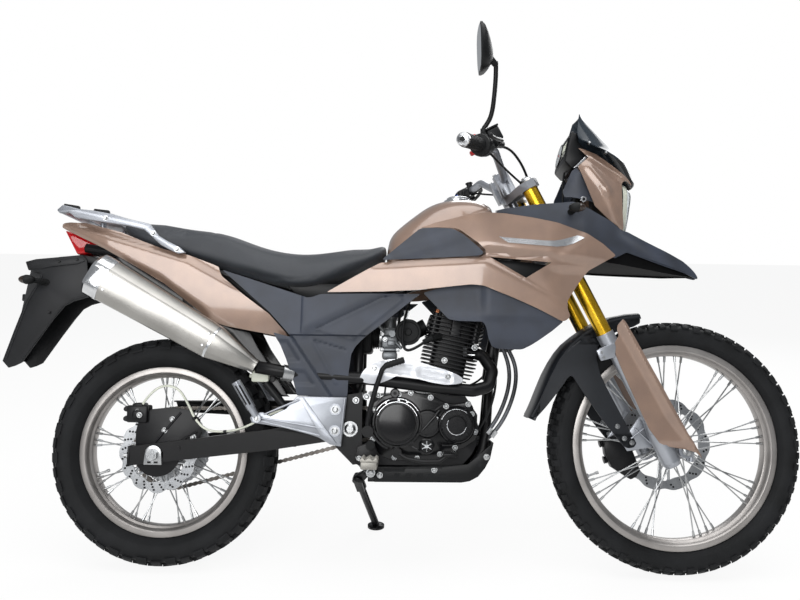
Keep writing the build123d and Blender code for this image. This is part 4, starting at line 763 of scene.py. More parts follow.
lowerShroud = {
    "stations": [(0, 580, 700, 800, 120, 136, 146), (180, 580, 700, 800, 132, 158, 160),
        (400, 580, 700, 800, 140, 162, 166)],
    "outline": [(4, 753), (40, 716), (72, 682), (96, 678), (164, 676), (172, 660), (178, 632), (188, 612),
        (203, 607), (240, 605), (269, 605), (290, 616), (311, 630), (344, 654), (374, 680), (334, 704),
        (240, 744), (161, 776), (131, 779), (70, 770)],
}


def lowerDepth(x, z):
    depth = blendDepth(lowerShroud["stations"], x, z)
    step = ramp(z, 676, 690) * ramp(370 - x, 0, 30)
    cheek = ramp(x, 150, 176)
    depth += 5 * step * cheek - 6 * (1 - cheek) * ramp(z, 690, 740)
    return depth - 10 * ramp(616 - z, -8, 12)


placePiece("lowerShrouds", moulding(lowerShroud["outline"], lowerDepth, 5.0, 8.0, 6.0), "chassis",
    "grainedPlastic", ("lower_shrouds",), angle=50, bevel=1.4)

tankPad = {"outline": [(-108, 836), (-60, 878), (-6, 924), (40, 925), (80, 922.5), (110, 903), (143, 875),
    (158, 860), (160, 853), (149, 848), (90, 845), (-20, 840)]}


def padDepth(x, z):
    depth = blendDepth(shroud["stations"], x, z) - 3
    crease = offLine([(-108, 838), (64, 892)], x, z)[0]
    return depth + 5 - 9 * ramp(-crease, 0, 34) - 5 * ramp(crease, 0, 30)


placePiece("tankPads", moulding(tankPad["outline"], padDepth, 4.0, 8.0, 8.0), "chassis", "grainedPlastic",
    ("tank_pads",), angle=50, bevel=1.2)

sidePanel = {
    "stations": [(-540, 460, 700, 830, 136, 146, 140), (-350, 460, 640, 830, 140, 154, 138),
        (-180, 460, 640, 830, 144, 158, 140), (0, 460, 640, 830, 140, 156, 142)],
    "outline": [(-536, 806), (-470, 786), (-404, 765), (-318, 738), (-304, 733), (-290, 735), (-268, 743),
        (-150, 746), (-3, 748), (-30, 727), (-90, 677), (-150, 630), (-172, 608), (-184, 586), (-190, 540),
        (-193, 473), (-240, 472.5), (-325, 474), (-332, 500), (-352, 560), (-372, 606), (-392, 640),
        (-346, 628), (-346, 632), (-404, 694)],
    "grooves": [[(-274, 652), (-97, 741)], [(-97, 741), (-45, 743)], [(-285, 621), (-198, 596)]],
    "ridges": [[(-274, 650), (-181, 626)], [(-181, 626), (-55, 731)], [(-285, 617), (-223, 508)]],
    "rearGroove": [(-346, 627), (-238, 472)],
    "pockets": [[(-392, 622), (-352, 622), (-314, 562), (-372, 562)],
        [(-364, 546), (-304, 542), (-274, 500), (-346, 500)]],
}


def insidePocket(pocket, x, z):
    # depth inside a convex pocket, 0 outside it
    middle = (sum(p[0] for p in pocket) / 4, sum(p[1] for p in pocket) / 4)
    least = 1e9
    for a, b in zip(pocket, pocket[1:] + pocket[:1]):
        off = offLine([a, b], x, z)[0]
        inner = offLine([a, b], *middle)[0]
        least = min(least, off * (1 if inner > 0 else -1))
    return max(least, 0)


def sideDepth(x, z):
    depth = blendDepth(sidePanel["stations"], x, z)
    for line in sidePanel["grooves"]:
        off, along = offLine(line, x, z)
        if -0.01 <= along <= 1.01:
            depth -= 3.0 * (1 - ramp(abs(off), 0.8, 2.6))
    for line in sidePanel["ridges"]:
        off, along = offLine(line, x, z)
        if -0.02 <= along <= 1.02:
            depth += 1.8 * (1 - ramp(abs(off), 0, 7))
    valley = offLine([(-319, 645), (-113, 744)], x, z)[0]
    if x > -319:
        depth += 7 * ramp(-valley, -26, 12) * ramp(x, -345, -300) - 4
    else:
        depth -= 4
    if z < 636:
        depth -= 9 * ramp(-offLine(sidePanel["rearGroove"], x, z)[0], 0, 7)
        for pocket in sidePanel["pockets"]:
            depth -= 5 * ramp(insidePocket(pocket, x, z), 0, 8)
    return depth


placePiece("sidePanels", moulding(sidePanel["outline"], sideDepth, 4.0, 4.0, 4.0), "chassis",
    "grainedPlastic", ("side_panels",), angle=55, bevel=1.2)

tailPanel = {
    "stations": [(-1000, 600, 802, 980, 66, 98, 92), (-860, 600, 792, 980, 96, 118, 112),
        (-640, 600, 767, 980, 108, 124, 118), (-350, 600, 700, 980, 112, 130, 122)],
    "outline": [(-996, 924), (-990, 936), (-975, 939), (-929, 937), (-825, 910), (-765, 886), (-704, 864),
        (-637, 849), (-568, 824), (-552, 817), (-549, 806), (-542, 792), (-480, 742), (-408, 690),
        (-362, 640), (-358, 630), (-372, 630), (-455, 644), (-523, 656), (-552, 664), (-590, 688),
        (-640, 726), (-699, 770), (-780, 816), (-869, 864), (-930, 892), (-980, 915)],
}


def tailDepth(x, z):
    depth = blendDepth(tailPanel["stations"], x, z)
    off = offLine([(-985, 926), (-638, 826)] if x < -638 else [(-638, 826), (-407, 702)], x, z)[0]
    depth -= 12 * ramp(-off, 0, 22)
    low = offLine([(-990, 914), (-716, 782)] if x < -716 else [(-716, 782), (-575, 680)], x, z)[0]
    return depth - 9 * (1 - ramp(-low, 0, 16)) * ramp(-x, 560, 600)


placePiece("tailPanels", moulding(tailPanel["outline"], tailDepth, 4.0, 7.0, 3.0), "chassis", "bronzePaint",
    ("tail_panels",), angle=55, bevel=1.4)

beak = {
    "stations": [(180, 800, 900, 1010, 168, 170, 160), (430, 800, 900, 1010, 164, 168, 146),
        (560, 800, 900, 1010, 112, 120, 104), (700, 800, 880, 1010, 52, 58, 50),
        (790, 800, 840, 1010, 9, 10, 9)],
    "outline": [(191, 972), (220, 980), (307, 994), (400, 1003), (414, 1001), (470, 973), (545, 937),
        (566, 934), (620, 913), (680, 889), (738, 863), (762, 846), (776, 834), (786, 821), (780, 821),
        (739, 835), (632, 857), (553, 876), (528, 863), (517, 857), (484, 884), (430, 917), (358.5, 941),
        (290, 956), (218, 968)],
    "deckLine": [(520, 946), (566, 934), (620, 913), (680, 889), (738, 863), (776, 834), (784, 823)],
    "tray": [(483, 844), (517, 857), (528, 863), (553, 876), (632, 857), (739, 835), (780, 821), (700, 824),
        (600, 833)],
}


def onLine(points, x):
    # height of a run of points at x
    for (ax, az), (bx, bz) in zip(points, points[1:]):
        if x <= bx:
            break
    return az + (bz - az) * (x - ax) / (bx - ax)


def gridSkin(bm, rows, step):
    # skin through rows of points, walled by step
    made = [[bm.verts.new(p) for p in row] for row in rows]
    for low, high in zip(made, made[1:]):
        for i in range(len(low) - 1):
            bm.faces.new((low[i], low[i + 1], high[i + 1], high[i]))
    wallInwards(bm, step)


def beakDepth(x, z):
    depth = blendDepth(beak["stations"], x, z)
    edge = offLine([(415, 1004), (520, 866)], x, z)[0]
    depth -= 5 * ramp(edge, 0, 40) * ramp(540 - x, 0, 40)
    top = offLine([(540, 938), (786, 826)], x, z)[0]
    if x > 500:
        depth -= 26 * ramp(-top, -40, 6) * ramp(x, 500, 560) * ramp(800 - x, 0, 200)
    return max(depth, 6)


def addBeak():
    bm = moulding(beak["outline"], beakDepth, 4.0, 8.0, 4.0)
    rows = []
    for i in range(23):
        x = 520 + 12 * i
        z = onLine(beak["deckLine"], x)
        half = beakDepth(x, z) - 1
        lift = 6 * min(1, (786 - x) / 120)
        row = []
        for j in range(-8, 9):
            t = j / 8
            row.append((x, half * t, z - 1 + lift * (1 - t * t) - 5 * lift / 6 * math.exp(-(t / 0.3) ** 2)))
        rows.append(row)
    gridSkin(bm, rows, Vector((0, 0, -4)))
    placePiece("beakShell", bm, "chassis", "grainedPlastic", ("beak",), angle=50, bevel=1.2)
    tray = moulding(beak["tray"], lambda x, z: beakDepth(x, z) - 9, 8.0, 12.0, 3.0)
    rows = [[(x, (beakDepth(x, 840) - 10) * t, onLine([(483, 848), (600, 837), (700, 828), (782, 822)], x))
        for t in (-1, -0.5, 0, 0.5, 1)] for x in range(484, 780, 16)]
    gridSkin(tray, rows, Vector((0, 0, 4)))
    # the tray's near-black finish is painted shade on the beak's underside
    placePiece("beakTray", tray, "chassis", "trayShadePlastic", angle=40)


addBeak()
print("side bodywork made")


# crowned bodywork across the middle

def crossLoft(bm, rings):
    # rings of points across the bike, joined end to end and closed at both ends
    loops = []
    for ring in rings:
        verts = [bm.verts.new(p) for p in ring]
        loops.append([bm.edges.new((verts[i], verts[(i + 1) % len(verts)])) for i in range(len(verts))])
        if ring is rings[0] or ring is rings[-1]:
            bm.faces.new(verts)
    for a, b in zip(loops, loops[1:]):
        bmesh.ops.bridge_loops(bm, edges=a + b)


def crownRing(x, low, mid, top, zLow, zMid, zShoulder, zTop):
    right = [(0, zLow), (low * 0.6, zLow), (low, zLow + 4), ((low + mid) / 2 + 3, (zLow + zMid) / 2),
        (mid, zMid), ((mid + top) / 2 + 2, (zMid + zShoulder) / 2 + 3), (top, zShoulder),
        (top * 0.62, zTop - (zTop - zShoulder) * 0.25), (top * 0.3, zTop), (0, zTop + 1)]
    ring = [(x, -y, z) for y, z in right]
    return ring + [(x, y, z) for y, z in reversed(right[1:-1])]


tank = {
    "stations": [(-100, 62, 88, 60, 784, 850, 890, 914), (-60, 68, 104, 74, 790, 866, 926, 952),
        (-20, 72, 118, 84, 800, 880, 956, 983), (18, 74, 128, 90, 812, 892, 984, 1012),
        (60, 76, 134, 95, 826, 900, 1000, 1027), (100, 76, 136, 97, 838, 904, 1006, 1032),
        (150, 76, 134, 96, 852, 905, 1004, 1031), (186, 68, 124, 86, 862, 906, 994, 1020),
        (205, 58, 108, 74, 868, 910, 978, 1001)],
    "cap": (105, 0, 34.0),
}


def addTank():
    bm = bmesh.new()
    crossLoft(bm, [crownRing(*s) for s in tank["stations"]])
    piece = placePiece("fuelTank", bm, "chassis", "bronzePaint", ("fuel_tank",), angle=60)
    smooth = piece.modifiers.new("smoothPressing", "SUBSURF")
    smooth.levels = smooth.render_levels = 2
    cap = bmesh.new()
    x, y, r = tank["cap"]
    top = 1032
    profile = [(0, top - 4), (r + 7, top - 4), (r + 7, top + 1), (r + 4, top + 3), (r, top + 3),
        (r - 1, top + 9), (r - 4, top + 11), (r - 13, top + 11), (r - 14, top + 9), (0, top + 9)]
    spinPoints(cap, [(x + radius, y, z) for radius, z in profile], (x, y, 0), (0, 0, 1), 48)
    for i in range(6):
        spot = around(x, 0, r + 3.6, math.tau * i / 6)
        addBar(cap, (*spot, top + 2), (*spot, top + 4.6), 2.2, 8)
    addBlock(cap, (x - 5, -9, top + 9), (x + 9, 9, top + 12.5), 1.0)
    placePiece("fuelCap", cap, "chassis", "machinedAluminium")


addTank()

seat = {
    "stations": [(-100.5, 40, 62, 50, 862, 878, 894, 906), (-125, 54, 80, 64, 846, 866, 888, 899),
        (-165, 76, 106, 82, 822, 846, 873, 886), (-215, 96, 122, 96, 798, 826, 860, 874),
        (-270, 106, 128, 102, 774, 806, 848, 864), (-330, 110, 130, 104, 758, 790, 840, 858),
        (-400, 110, 128, 104, 776, 804, 848, 865), (-462, 106, 122, 101, 794, 820, 864, 882),
        (-520, 102, 114, 99, 810, 838, 886, 905), (-575, 99, 108, 97, 828, 858, 902, 920),
        (-640, 95, 104, 93, 846, 872, 908, 925), (-700, 90, 98, 88, 860, 888, 918, 935),
        (-760, 82, 92, 80, 878, 906, 930, 946), (-815, 62, 70, 62, 906, 922, 942, 955),
        (-846, 44, 50, 44, 932, 940, 952, 961)],
    "voxel": 5.0, "swell": 7.0,
}


def pressureSwell(piece, cap):
    # foam under a stretched cover: a short cloth run with pressure, held to a small move
    rest = [v.co.copy() for v in piece.data.vertices]
    cloth = piece.modifiers.new("coverPressure", "CLOTH")
    cloth.settings.use_pressure = True
    cloth.settings.uniform_pressure_force = 4
    cloth.settings.effector_weights.gravity = 0
    cloth.settings.quality = 6
    cloth.settings.tension_stiffness = 30
    cloth.settings.bending_stiffness = 6
    scene = bpy.context.scene
    for number in range(1, 21):
        scene.frame_set(number)
    shaped = piece.evaluated_get(bpy.context.evaluated_depsgraph_get()).to_mesh()
    moved = [v.co.copy() for v in shaped.vertices]
    piece.modifiers.remove(cloth)
    scene.frame_set(1)
    for vertex, start, end in zip(piece.data.vertices, rest, moved):
        step = end - start
        if step.length > cap:
            step *= cap / step.length
        vertex.co = start + step


def addSeat():
    bm = bmesh.new()
    crossLoft(bm, [crownRing(*s) for s in seat["stations"]])
    bmesh.ops.recalc_face_normals(bm, faces=bm.faces)
    bmesh.ops.transform(bm, matrix=leanFrame, verts=bm.verts)
    mesh = bpy.data.meshes.new("seatPad")
    bm.to_mesh(mesh)
    bm.free()
    mesh.materials.append(finish["seatVinyl"])
    piece = newObject("seatPad", mesh)
    smooth = piece.modifiers.new("round", "SUBSURF")
    smooth.levels = smooth.render_levels = 2
    remesh = piece.modifiers.new("foamCells", "REMESH")
    remesh.mode, remesh.voxel_size = "VOXEL", seat["voxel"] / 1000
    bpy.context.view_layer.update()
    made = bpy.data.meshes.new_from_object(piece.evaluated_get(bpy.context.evaluated_depsgraph_get()))
    piece.modifiers.clear()
    piece.data = made
    pressureSwell(piece, seat["swell"] / 1000)
    sewSeams(piece)
    smoothByAngle(piece.data, 60)
    piece.data.materials.clear()
    piece.data.materials.append(finish["seatVinyl"])
    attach(piece, "chassis")
    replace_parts(piece, "seat")


def sewSeams(piece):
    # the cover is sewn along each side where the top meets the wall: a shallow channel with a raised lip
    toBike = leanFrame.inverted()
    for vertex in piece.data.vertices:
        spot = toBike @ vertex.co
        side, edge = seatSeam(spot.x)
        off = math.hypot(abs(spot.y) - side, spot.z - edge)
        dip = 2.2 * math.exp(-(off / 4.2) ** 2)
        across = (spot.x + 575 + 0.35 * (spot.z - 900)) / 5.0
        step = 1.6 * math.exp(-across ** 2) if spot.z > edge - 4 else 0
        inward = Vector((0, -0.5 if spot.y > 0 else 0.5, -0.85))
        vertex.co = leanFrame @ (spot + inward * (dip + step))


def seatSeam(x):
    for a, b in zip(seat["stations"], seat["stations"][1:]):
        if x >= b[0]:
            t = min(max((x - a[0]) / (b[0] - a[0]), 0), 1)
            return a[3] + (b[3] - a[3]) * t + 5, a[6] + (b[6] - a[6]) * t - 4
    return seat["stations"][-1][3], seat["stations"][-1][6]


addSeat()
print("tank and seat made")


# headlight cowl, lamp, screen and instruments

cowl = {
    "stations": [(420, 930, 1060, 1200, 96, 108, 80), (500, 930, 1060, 1200, 90, 104, 72),
        (560, 930, 1060, 1200, 80, 94, 60), (600, 930, 1060, 1200, 66, 78, 48)],
    "outline": [(433, 1171), (455, 1166), (482, 1157), (520, 1130), (549, 1107), (566, 1092), (577, 1080),
        (584, 1068), (572, 1076), (562, 1079), (553, 1073), (552, 1000), (556, 948), (553, 935), (540, 948),
        (506, 974), (474, 1003), (452, 1054), (429, 1114), (440, 1125), (459, 1142), (447, 1156)],
    "crests": [[(458, 1146), (556, 1082)], [(452, 1122), (506, 1047)], [(506, 1047), (542, 953)]],
}


def cowlDepth(x, z):
    depth = blendDepth(cowl["stations"], x, z)
    for line, high, wide in zip(cowl["crests"], (9, 7, 6), (16, 20, 18)):
        off, along = offLine(line, x, z)
        fade = ramp(along, -0.15, 0.1) * (1 - ramp(along, 0.95, 1.25))
        depth += high * fade * (1 - ramp(abs(off), 0, wide))
    under = offLine([(452, 1122), (506, 1047)], x, z)[0]
    depth -= 10 * ramp(-under, 4, 50)
    return depth


placePiece("headlightCowl", moulding(cowl["outline"], cowlDepth, 4.0, 6.0, 3.0), "chassis", "bronzePaint",
    ("headlight_cowl",), angle=55, bevel=1.2)

lamp = {
    # z, front x, half width
    "rows": [(929, 578, 36), (940, 580, 52), (960, 583, 66), (985, 587, 75), (1010, 590, 81), (1035, 594, 84),
        (1049, 595, 83), (1060, 590, 79), (1070, 583, 70), (1078, 572, 56)],
    "backX": 556.0, "splitX": 571.0,
}


def lampRows(inset, frontOnly):
    rows = []
    for z, frontX, half in lamp["rows"]:
        row = []
        for j in range(-14, 15):
            t = j / 14
            x = lamp["backX"] + (frontX - inset - lamp["backX"]) * (1 - abs(t) ** 3.2)
            if frontOnly:
                x = max(x, lamp["splitX"])
            row.append((x, t * (half - inset * 0.6), z))
        rows.append(row)
    return rows


def addForward(bm, profile, z, steps=40):
    # (x, radius) profile turned about the line forwards at height z
    spinPoints(bm, [(x, 0, z + radius) for x, radius in profile], (0, 0, z), (1, 0, 0), steps)


def addLampUnit():
    glass = bmesh.new()
    gridSkin(glass, lampRows(0, False), Vector((-2.5, 0, 0)))
    lens = placePiece("headlightLens", glass, "chassis", "clearLens", ("headlight",), angle=60)
    smooth = lens.modifiers.new("mouldedCurve", "SUBSURF")
    smooth.levels = smooth.render_levels = 1
    band = bmesh.new()
    for side in (-1, 1):
        rows = []
        for z, frontX, half in lamp["rows"]:
            row = []
            for x in (556, 560, 564, 568, 571):
                share = (x - lamp["backX"]) / (frontX - lamp["backX"])
                row.append((x, side * (half * ((1 - share) ** (1 / 3.2)) + 0.8), z))
            rows.append(row)
        gridSkin(band, rows, Vector((0, -side * 1.4, 0)))
    placePiece("headlightBand", band, "chassis", "milkyPlastic", angle=60)
    bowls = bmesh.new()
    for z, radius, depth, frontX in ((1010, 52, 46, 574), (956, 26, 24, 570)):
        profile = [(frontX - depth * (1 - (i / 9) ** 2), radius * i / 9) for i in range(1, 10)]
        profile += [(frontX, radius + 3), (frontX - 4, radius + 3)]
        profile += [(frontX - 4 - depth * (1 - (i / 9) ** 2), radius * i / 9 + 2) for i in (8, 5, 2)]
        addForward(bowls, profile, z)
    placePiece("headlightBowls", bowls, "chassis", "chromedSteel", angle=50)
    hood = bmesh.new()
    addForward(hood, [(566, 0), (566, 13), (558, 15), (540, 15), (540, 0)], 1010, 24)
    addForward(hood, [(562, 0), (562, 6), (548, 7), (548, 0)], 956, 16)
    placePiece("bulbShields", hood, "chassis", "silverCasting")
    shell = bmesh.new()
    rows = []
    for z, frontX, half in lamp["rows"]:
        row = []
        for j in range(-8, 9):
            t = j / 8
            row.append((558 - 74 * (1 - abs(t) ** 2.4), t * (half - 5),
                1005 + (z - 1005) * (0.97 - 0.25 * (1 - abs(t)))))
        rows.append(row)
    gridSkin(shell, rows, Vector((2, 0, 0)))
    placePiece("headlightShell", shell, "chassis", "blackPlastic", angle=50)


addLampUnit()

screen = {
    # down the screen: middle x, z; edge x, z; half width
    "rows": [(455, 1287, 447, 1283, 44), (505, 1236, 434, 1208, 84), (551, 1183, 466, 1181, 96),
        (586, 1130, 530, 1147, 94), (604, 1078, 588, 1083, 62)],
}


def smoothRow(values, t):
    # Catmull-Rom through equally spaced rows
    last = len(values) - 1
    i = min(int(t * last), last - 1)
    u = t * last - i
    p = [values[min(max(k, 0), last)] for k in (i - 1, i, i + 1, i + 2)]
    made = []
    for a, b, c, d in zip(*p):
        curve = (2 * a - 5 * b + 4 * c - d) * u * u + (3 * b - a - 3 * c + d) * u ** 3
        made.append(0.5 * (2 * b + (c - a) * u + curve))
    return made


def screenRows(start, end, count, grow=0.0):
    rows = []
    for i in range(count + 1):
        cx, cz, sx, sz, half = smoothRow(screen["rows"], start + (end - start) * i / count)
        row = []
        for j in range(-16, 17):
            t = j / 16
            bend = t * t * (1.25 - 0.25 * t * t)
            row.append((cx + grow + (sx - cx) * bend, (half + grow) * math.sin(t * 1.2) / math.sin(1.2),
                cz + (sz - cz) * bend))
        rows.append(row)
    return rows


def addScreen():
    bm = bmesh.new()
    gridSkin(bm, screenRows(0.0, 0.93, 30), lambda co: Vector((-1.6, -co.y * 0.024, -1.2)))
    placePiece("windscreen", bm, "chassis", "smokedScreen", ("windscreen",), angle=70)
    chin = bmesh.new()
    gridSkin(chin, screenRows(0.78, 1.0, 10, 1.6), lambda co: Vector((-3, -co.y * 0.03, -2)))
    placePiece("screenChin", chin, "chassis", "coverEnamel", angle=60)
    screws = bmesh.new()
    for side in (-1, 1):
        for x, y, z in ((508, 92, 1157), (462, 92, 1184)):
            addBar(screws, (x, side * (y - 8), z), (x, side * (y + 2.5), z + 1), 4.2, 14)
            addBar(screws, (x, side * (y + 2.5), z + 1), (x, side * (y + 4), z + 1.4), 3.2, 14, 2.0)
    placePiece("screenScrews", screws, "chassis", "zincSteel")


addScreen()

dash = {
    "side": [(417, 1225), (430, 1219), (438, 1212), (436, 1196), (467, 1158), (452, 1142), (418, 1114),
        (396, 1138)],
    "half": 74.0, "faceLow": (397, 1140), "faceHigh": (416, 1223),
}


def addDash():
    body = bmesh.new()
    addPlate(body, dash["side"], -dash["half"], dash["half"], 6.0)
    placePiece("instrumentHousing", body, "chassis", "blackPlastic", ("instruments",),
        bevel=1.0)
    (lowX, lowZ), (highX, highZ) = dash["faceLow"], dash["faceHigh"]
    low, high = Vector((lowX, 0, lowZ)), Vector((highX, 0, highZ))
    up = (high - low).normalized()
    out = Vector((-up.z, 0, up.x))
    middle = (low + high) / 2 + out * 0.5
    turn = Matrix((Vector((0, 1, 0)), up, out)).transposed().to_4x4()

    def onFace(u, v, w):
        return middle + turn @ Vector((u, v, w))

    def drawLoop(bm, points, radius, sides):
        addRun(bm, [onFace(u, v, 1) for u, v in points + points[:1]], radius, sides)

    bezel = bmesh.new()
    drawLoop(bezel, [around(34, 0, 33, math.tau * i / 40) for i in range(40)], 2.4, 8)
    corners = [(-64, -26), (-6, -26), (-6, 26), (-64, 26)]
    drawLoop(bezel, corners, 1.6, 8)
    placePiece("instrumentBezels", bezel, "chassis", "blackPlastic")
    dial = bmesh.new()
    addBar(dial, onFace(34, 0, -1), onFace(34, 0, 0.6), 32, 48)
    dial.faces.new([dial.verts.new(onFace(u, v, 0.6)) for u, v in corners])
    placePiece("dialFaces", dial, "chassis", "coverEnamel")
    marks = bmesh.new()
    for i in range(21):
        a = math.radians(225 - 13.5 * i)
        inner = 22 if i % 2 == 0 else 25
        addBar(marks, onFace(*around(34, 0, inner, a), 1), onFace(*around(34, 0, 29, a), 1), 0.7, 6)
    for u, v, w, h in ((-56, -6, 12, 22), (-38, -6, 12, 22), (-20, -6, 8, 22), (-56, -18, 40, 5)):
        drawLoop(marks, [(u, v), (u + w, v), (u + w, v + h), (u, v + h)], 0.7, 6)
    placePiece("dialMarks", marks, "chassis", "milkyPlastic")
    needle = bmesh.new()
    addBar(needle, onFace(34, 0, 2.2), onFace(34 - 20, -16, 2.2), 1.1, 8, 0.5)
    addBar(needle, onFace(34, 0, 1), onFace(34, 0, 4), 3.4, 16)
    placePiece("dialNeedle", needle, "chassis", "redPlastic")
    glass = bmesh.new()
    addBar(glass, onFace(34, 0, 2.6), onFace(34, 0, 3.2), 32, 48)
    placePiece("dialGlass", glass, "chassis", "clearLens")
    brace = bmesh.new()
    for side in (-1, 1):
        addPlate(brace, [(418, 1113), (454, 1149), (461, 1145), (436, 1119)], side * 84 - 2.5,
            side * 84 + 2.5, 0.8)
    placePiece("instrumentBrace", brace, "chassis", "machinedAluminium")


addDash()

cheek = {"outline": [(397, 1034), (393, 1052), (403, 1074), (418, 1110), (430, 1118), (440, 1100),
    (470, 1030), (486, 1017), (455, 1023), (415, 1033)]}


def cheekDepth(x, z):
    fold = offLine([(384, 1034), (432, 1108)], x, z)[0]
    return 66 + 16 * ramp(x, 380, 440) - 6 * ramp(-fold, -10, 14)


def addCheeks():
    placePiece("cowlCheeks", moulding(cheek["outline"], cheekDepth, 4.0, 9.0, 4.0), "chassis",
        "grainedPlastic", angle=50, bevel=1.2)
    rings = bmesh.new()
    for side in (-1, 1):
        y = side * (cheekDepth(447, 1026) + 1)
        addAcross(rings, 447, 1026, y - side * 6, y + side * 1.5, 8.0, 28)
    placePiece("cheekWashers", rings, "chassis", "machinedAluminium", bevel=0.5)
    bolts = bmesh.new()
    for side in (-1, 1):
        y = side * (cheekDepth(447, 1026) + 1)
        addAcross(bolts, 447, 1026, y, y + side * 4.5, 4.6, 6)
    placePiece("cheekBolts", bolts, "chassis", "powderCoat", bevel=0.4)


addCheeks()
print("front bodywork made")


# fork, front mudguard, bars and controls

def inSteering(point):
    return steerFrame @ Vector(point)


axleSpot = steerFrame.inverted() @ Vector((bike["frontX"], 0, bike["frontRadius"]))
fork = {"offset": 38.0, "half": 100.0, "tubeEnd": -475.0, "legRadius": 16.5, "tubeRadius": 21.0}


def addStemBar(bm, start, end, *shape):
    # bar between two points of the steering frame
    addBar(bm, inSteering(start), inSteering(end), *shape)


def addForkLegs():
    legs, tubes, seals, clips, screws = (bmesh.new() for _ in range(5))
    u, w, tubeEnd, slim = fork["offset"], axleSpot.z, fork["tubeEnd"], fork["legRadius"]
    for side in (-1, 1):
        y = side * fork["half"]
        addStemBar(legs, (u, y, tubeEnd + 4), (u, y, w + 118), slim, 40)
        addStemBar(legs, (u, y, w + 118), (u, y, w + 78), slim, 40, 24.5)
        addStemBar(legs, (u, y, w + 78), (u, y, w - 12), 24.5, 40)
        addStemBar(legs, (u, y, w - 12), (u, y, w - 24), 24.5, 40, 19)
        addStemBar(legs, (axleSpot.x, y - 18, w), (axleSpot.x, y + 18, w), 20.5, 36)
        for ear in (y - side * 10, y + side * 10):
            addStemBar(legs, (axleSpot.x + 10, ear, w - 13), (axleSpot.x - 2, ear, w - 32), 6.5, 16)
        addStemBar(tubes, (u, y, 24), (u, y, tubeEnd), fork["tubeRadius"], 48)
        addStemBar(seals, (u, y, tubeEnd - 6), (u, y, tubeEnd + 2), 22, 36)
        outer = y + side * 24
        addPlate(clips, [(468, 605), (478, 612), (517, 628), (520, 616), (517, 588), (480, 578)], outer,
            outer - side * 7, 1.2)
        addStemBar(clips, (u, y, tubeEnd + 1), (u, y, tubeEnd + 34), 24.0, 36)
        for x, z in ((481, 601), (487, 588)):
            addAcross(screws, x, z, outer, outer + side * 3.5, 4.0, 6)
    placePiece("forkTubes", tubes, "steering", "goldTube", ("fork_tubes",), bevel=0.8)
    placePiece("forkLegs", legs, "steering", "silverCasting", ("fork_legs",), bevel=0.8)
    placePiece("forkSeals", seals, "steering", "softRubber")
    placePiece("guardClamps", clips, "steering", "silverCasting", bevel=0.6)
    placePiece("clampScrews", screws, "steering", "zincSteel")


addForkLegs()

guard = {
    "outline": [(515, 619), (520, 632), (528, 645), (524, 662), (525, 675), (537, 691), (546, 682),
        (572, 636), (636, 520), (704, 392), (726, 358), (737, 338), (740, 327), (733, 334), (724, 343),
        (700, 350), (676, 353), (650, 357), (630, 366), (604, 402), (568, 482), (538, 550), (520, 594)],
    "ridge": [(534, 688), (661, 452)], "ridgeLow": [(661, 452), (702, 384)],
}


def guardDepth(x, z):
    off = offLine(guard["ridge"] if z > 452 else guard["ridgeLow"], x, z)[0]
    depth = 133 - 22 * min(abs(off) / 34, 1.2) ** 1.6
    depth += 3.0 * (1 - ramp(abs(off), 0, 6))
    for groove in (-20, 17):
        depth -= 2.6 * (1 - ramp(abs(off - groove), 1, 4)) * ramp(z, 360, 420)
    if off > 0:
        depth = max(depth, 122.5 + 5 * ramp(430 - z, 0, 60))
    return depth - 4 * ramp(372 - z, 0, 16)


placePiece("forkGuards", moulding(guard["outline"], guardDepth, 3.0, 5.0, 3.0), "steering", "bronzePaint",
    ("fork_guards",), angle=60, bevel=1.0)

mudguard = {
    # along the crown from the front lip to the rear tip: x, z, height of the side wall below it
    "crown": [(606, 716), (570, 712), (523, 702), (490, 688), (458, 668), (430, 648), (404, 626), (384, 602),
        (366, 574), (348, 540), (332, 502), (316, 462), (298, 421)],
    "outline": [(603, 706), (570, 701), (523, 691), (480, 672), (446, 652), (412, 622), (380, 580),
        (352, 524), (326, 466), (304, 424), (316, 425), (340, 452), (369, 489), (390, 518), (400, 534),
        (409, 540), (418, 535), (445, 491), (500, 412), (549, 352), (560, 346), (574, 349), (581, 360),
        (540, 440), (505, 510), (488, 550), (480, 590), (484, 620), (500, 645), (540, 664), (584, 678),
        (602, 688)],
    "bolts": [(534, 404), (552, 372), (572, 361)],
}


def mudguardDepth(x, z):
    return 66 + 13 * ramp(620 - z, 0, 230) * ramp(x, 330, 480)


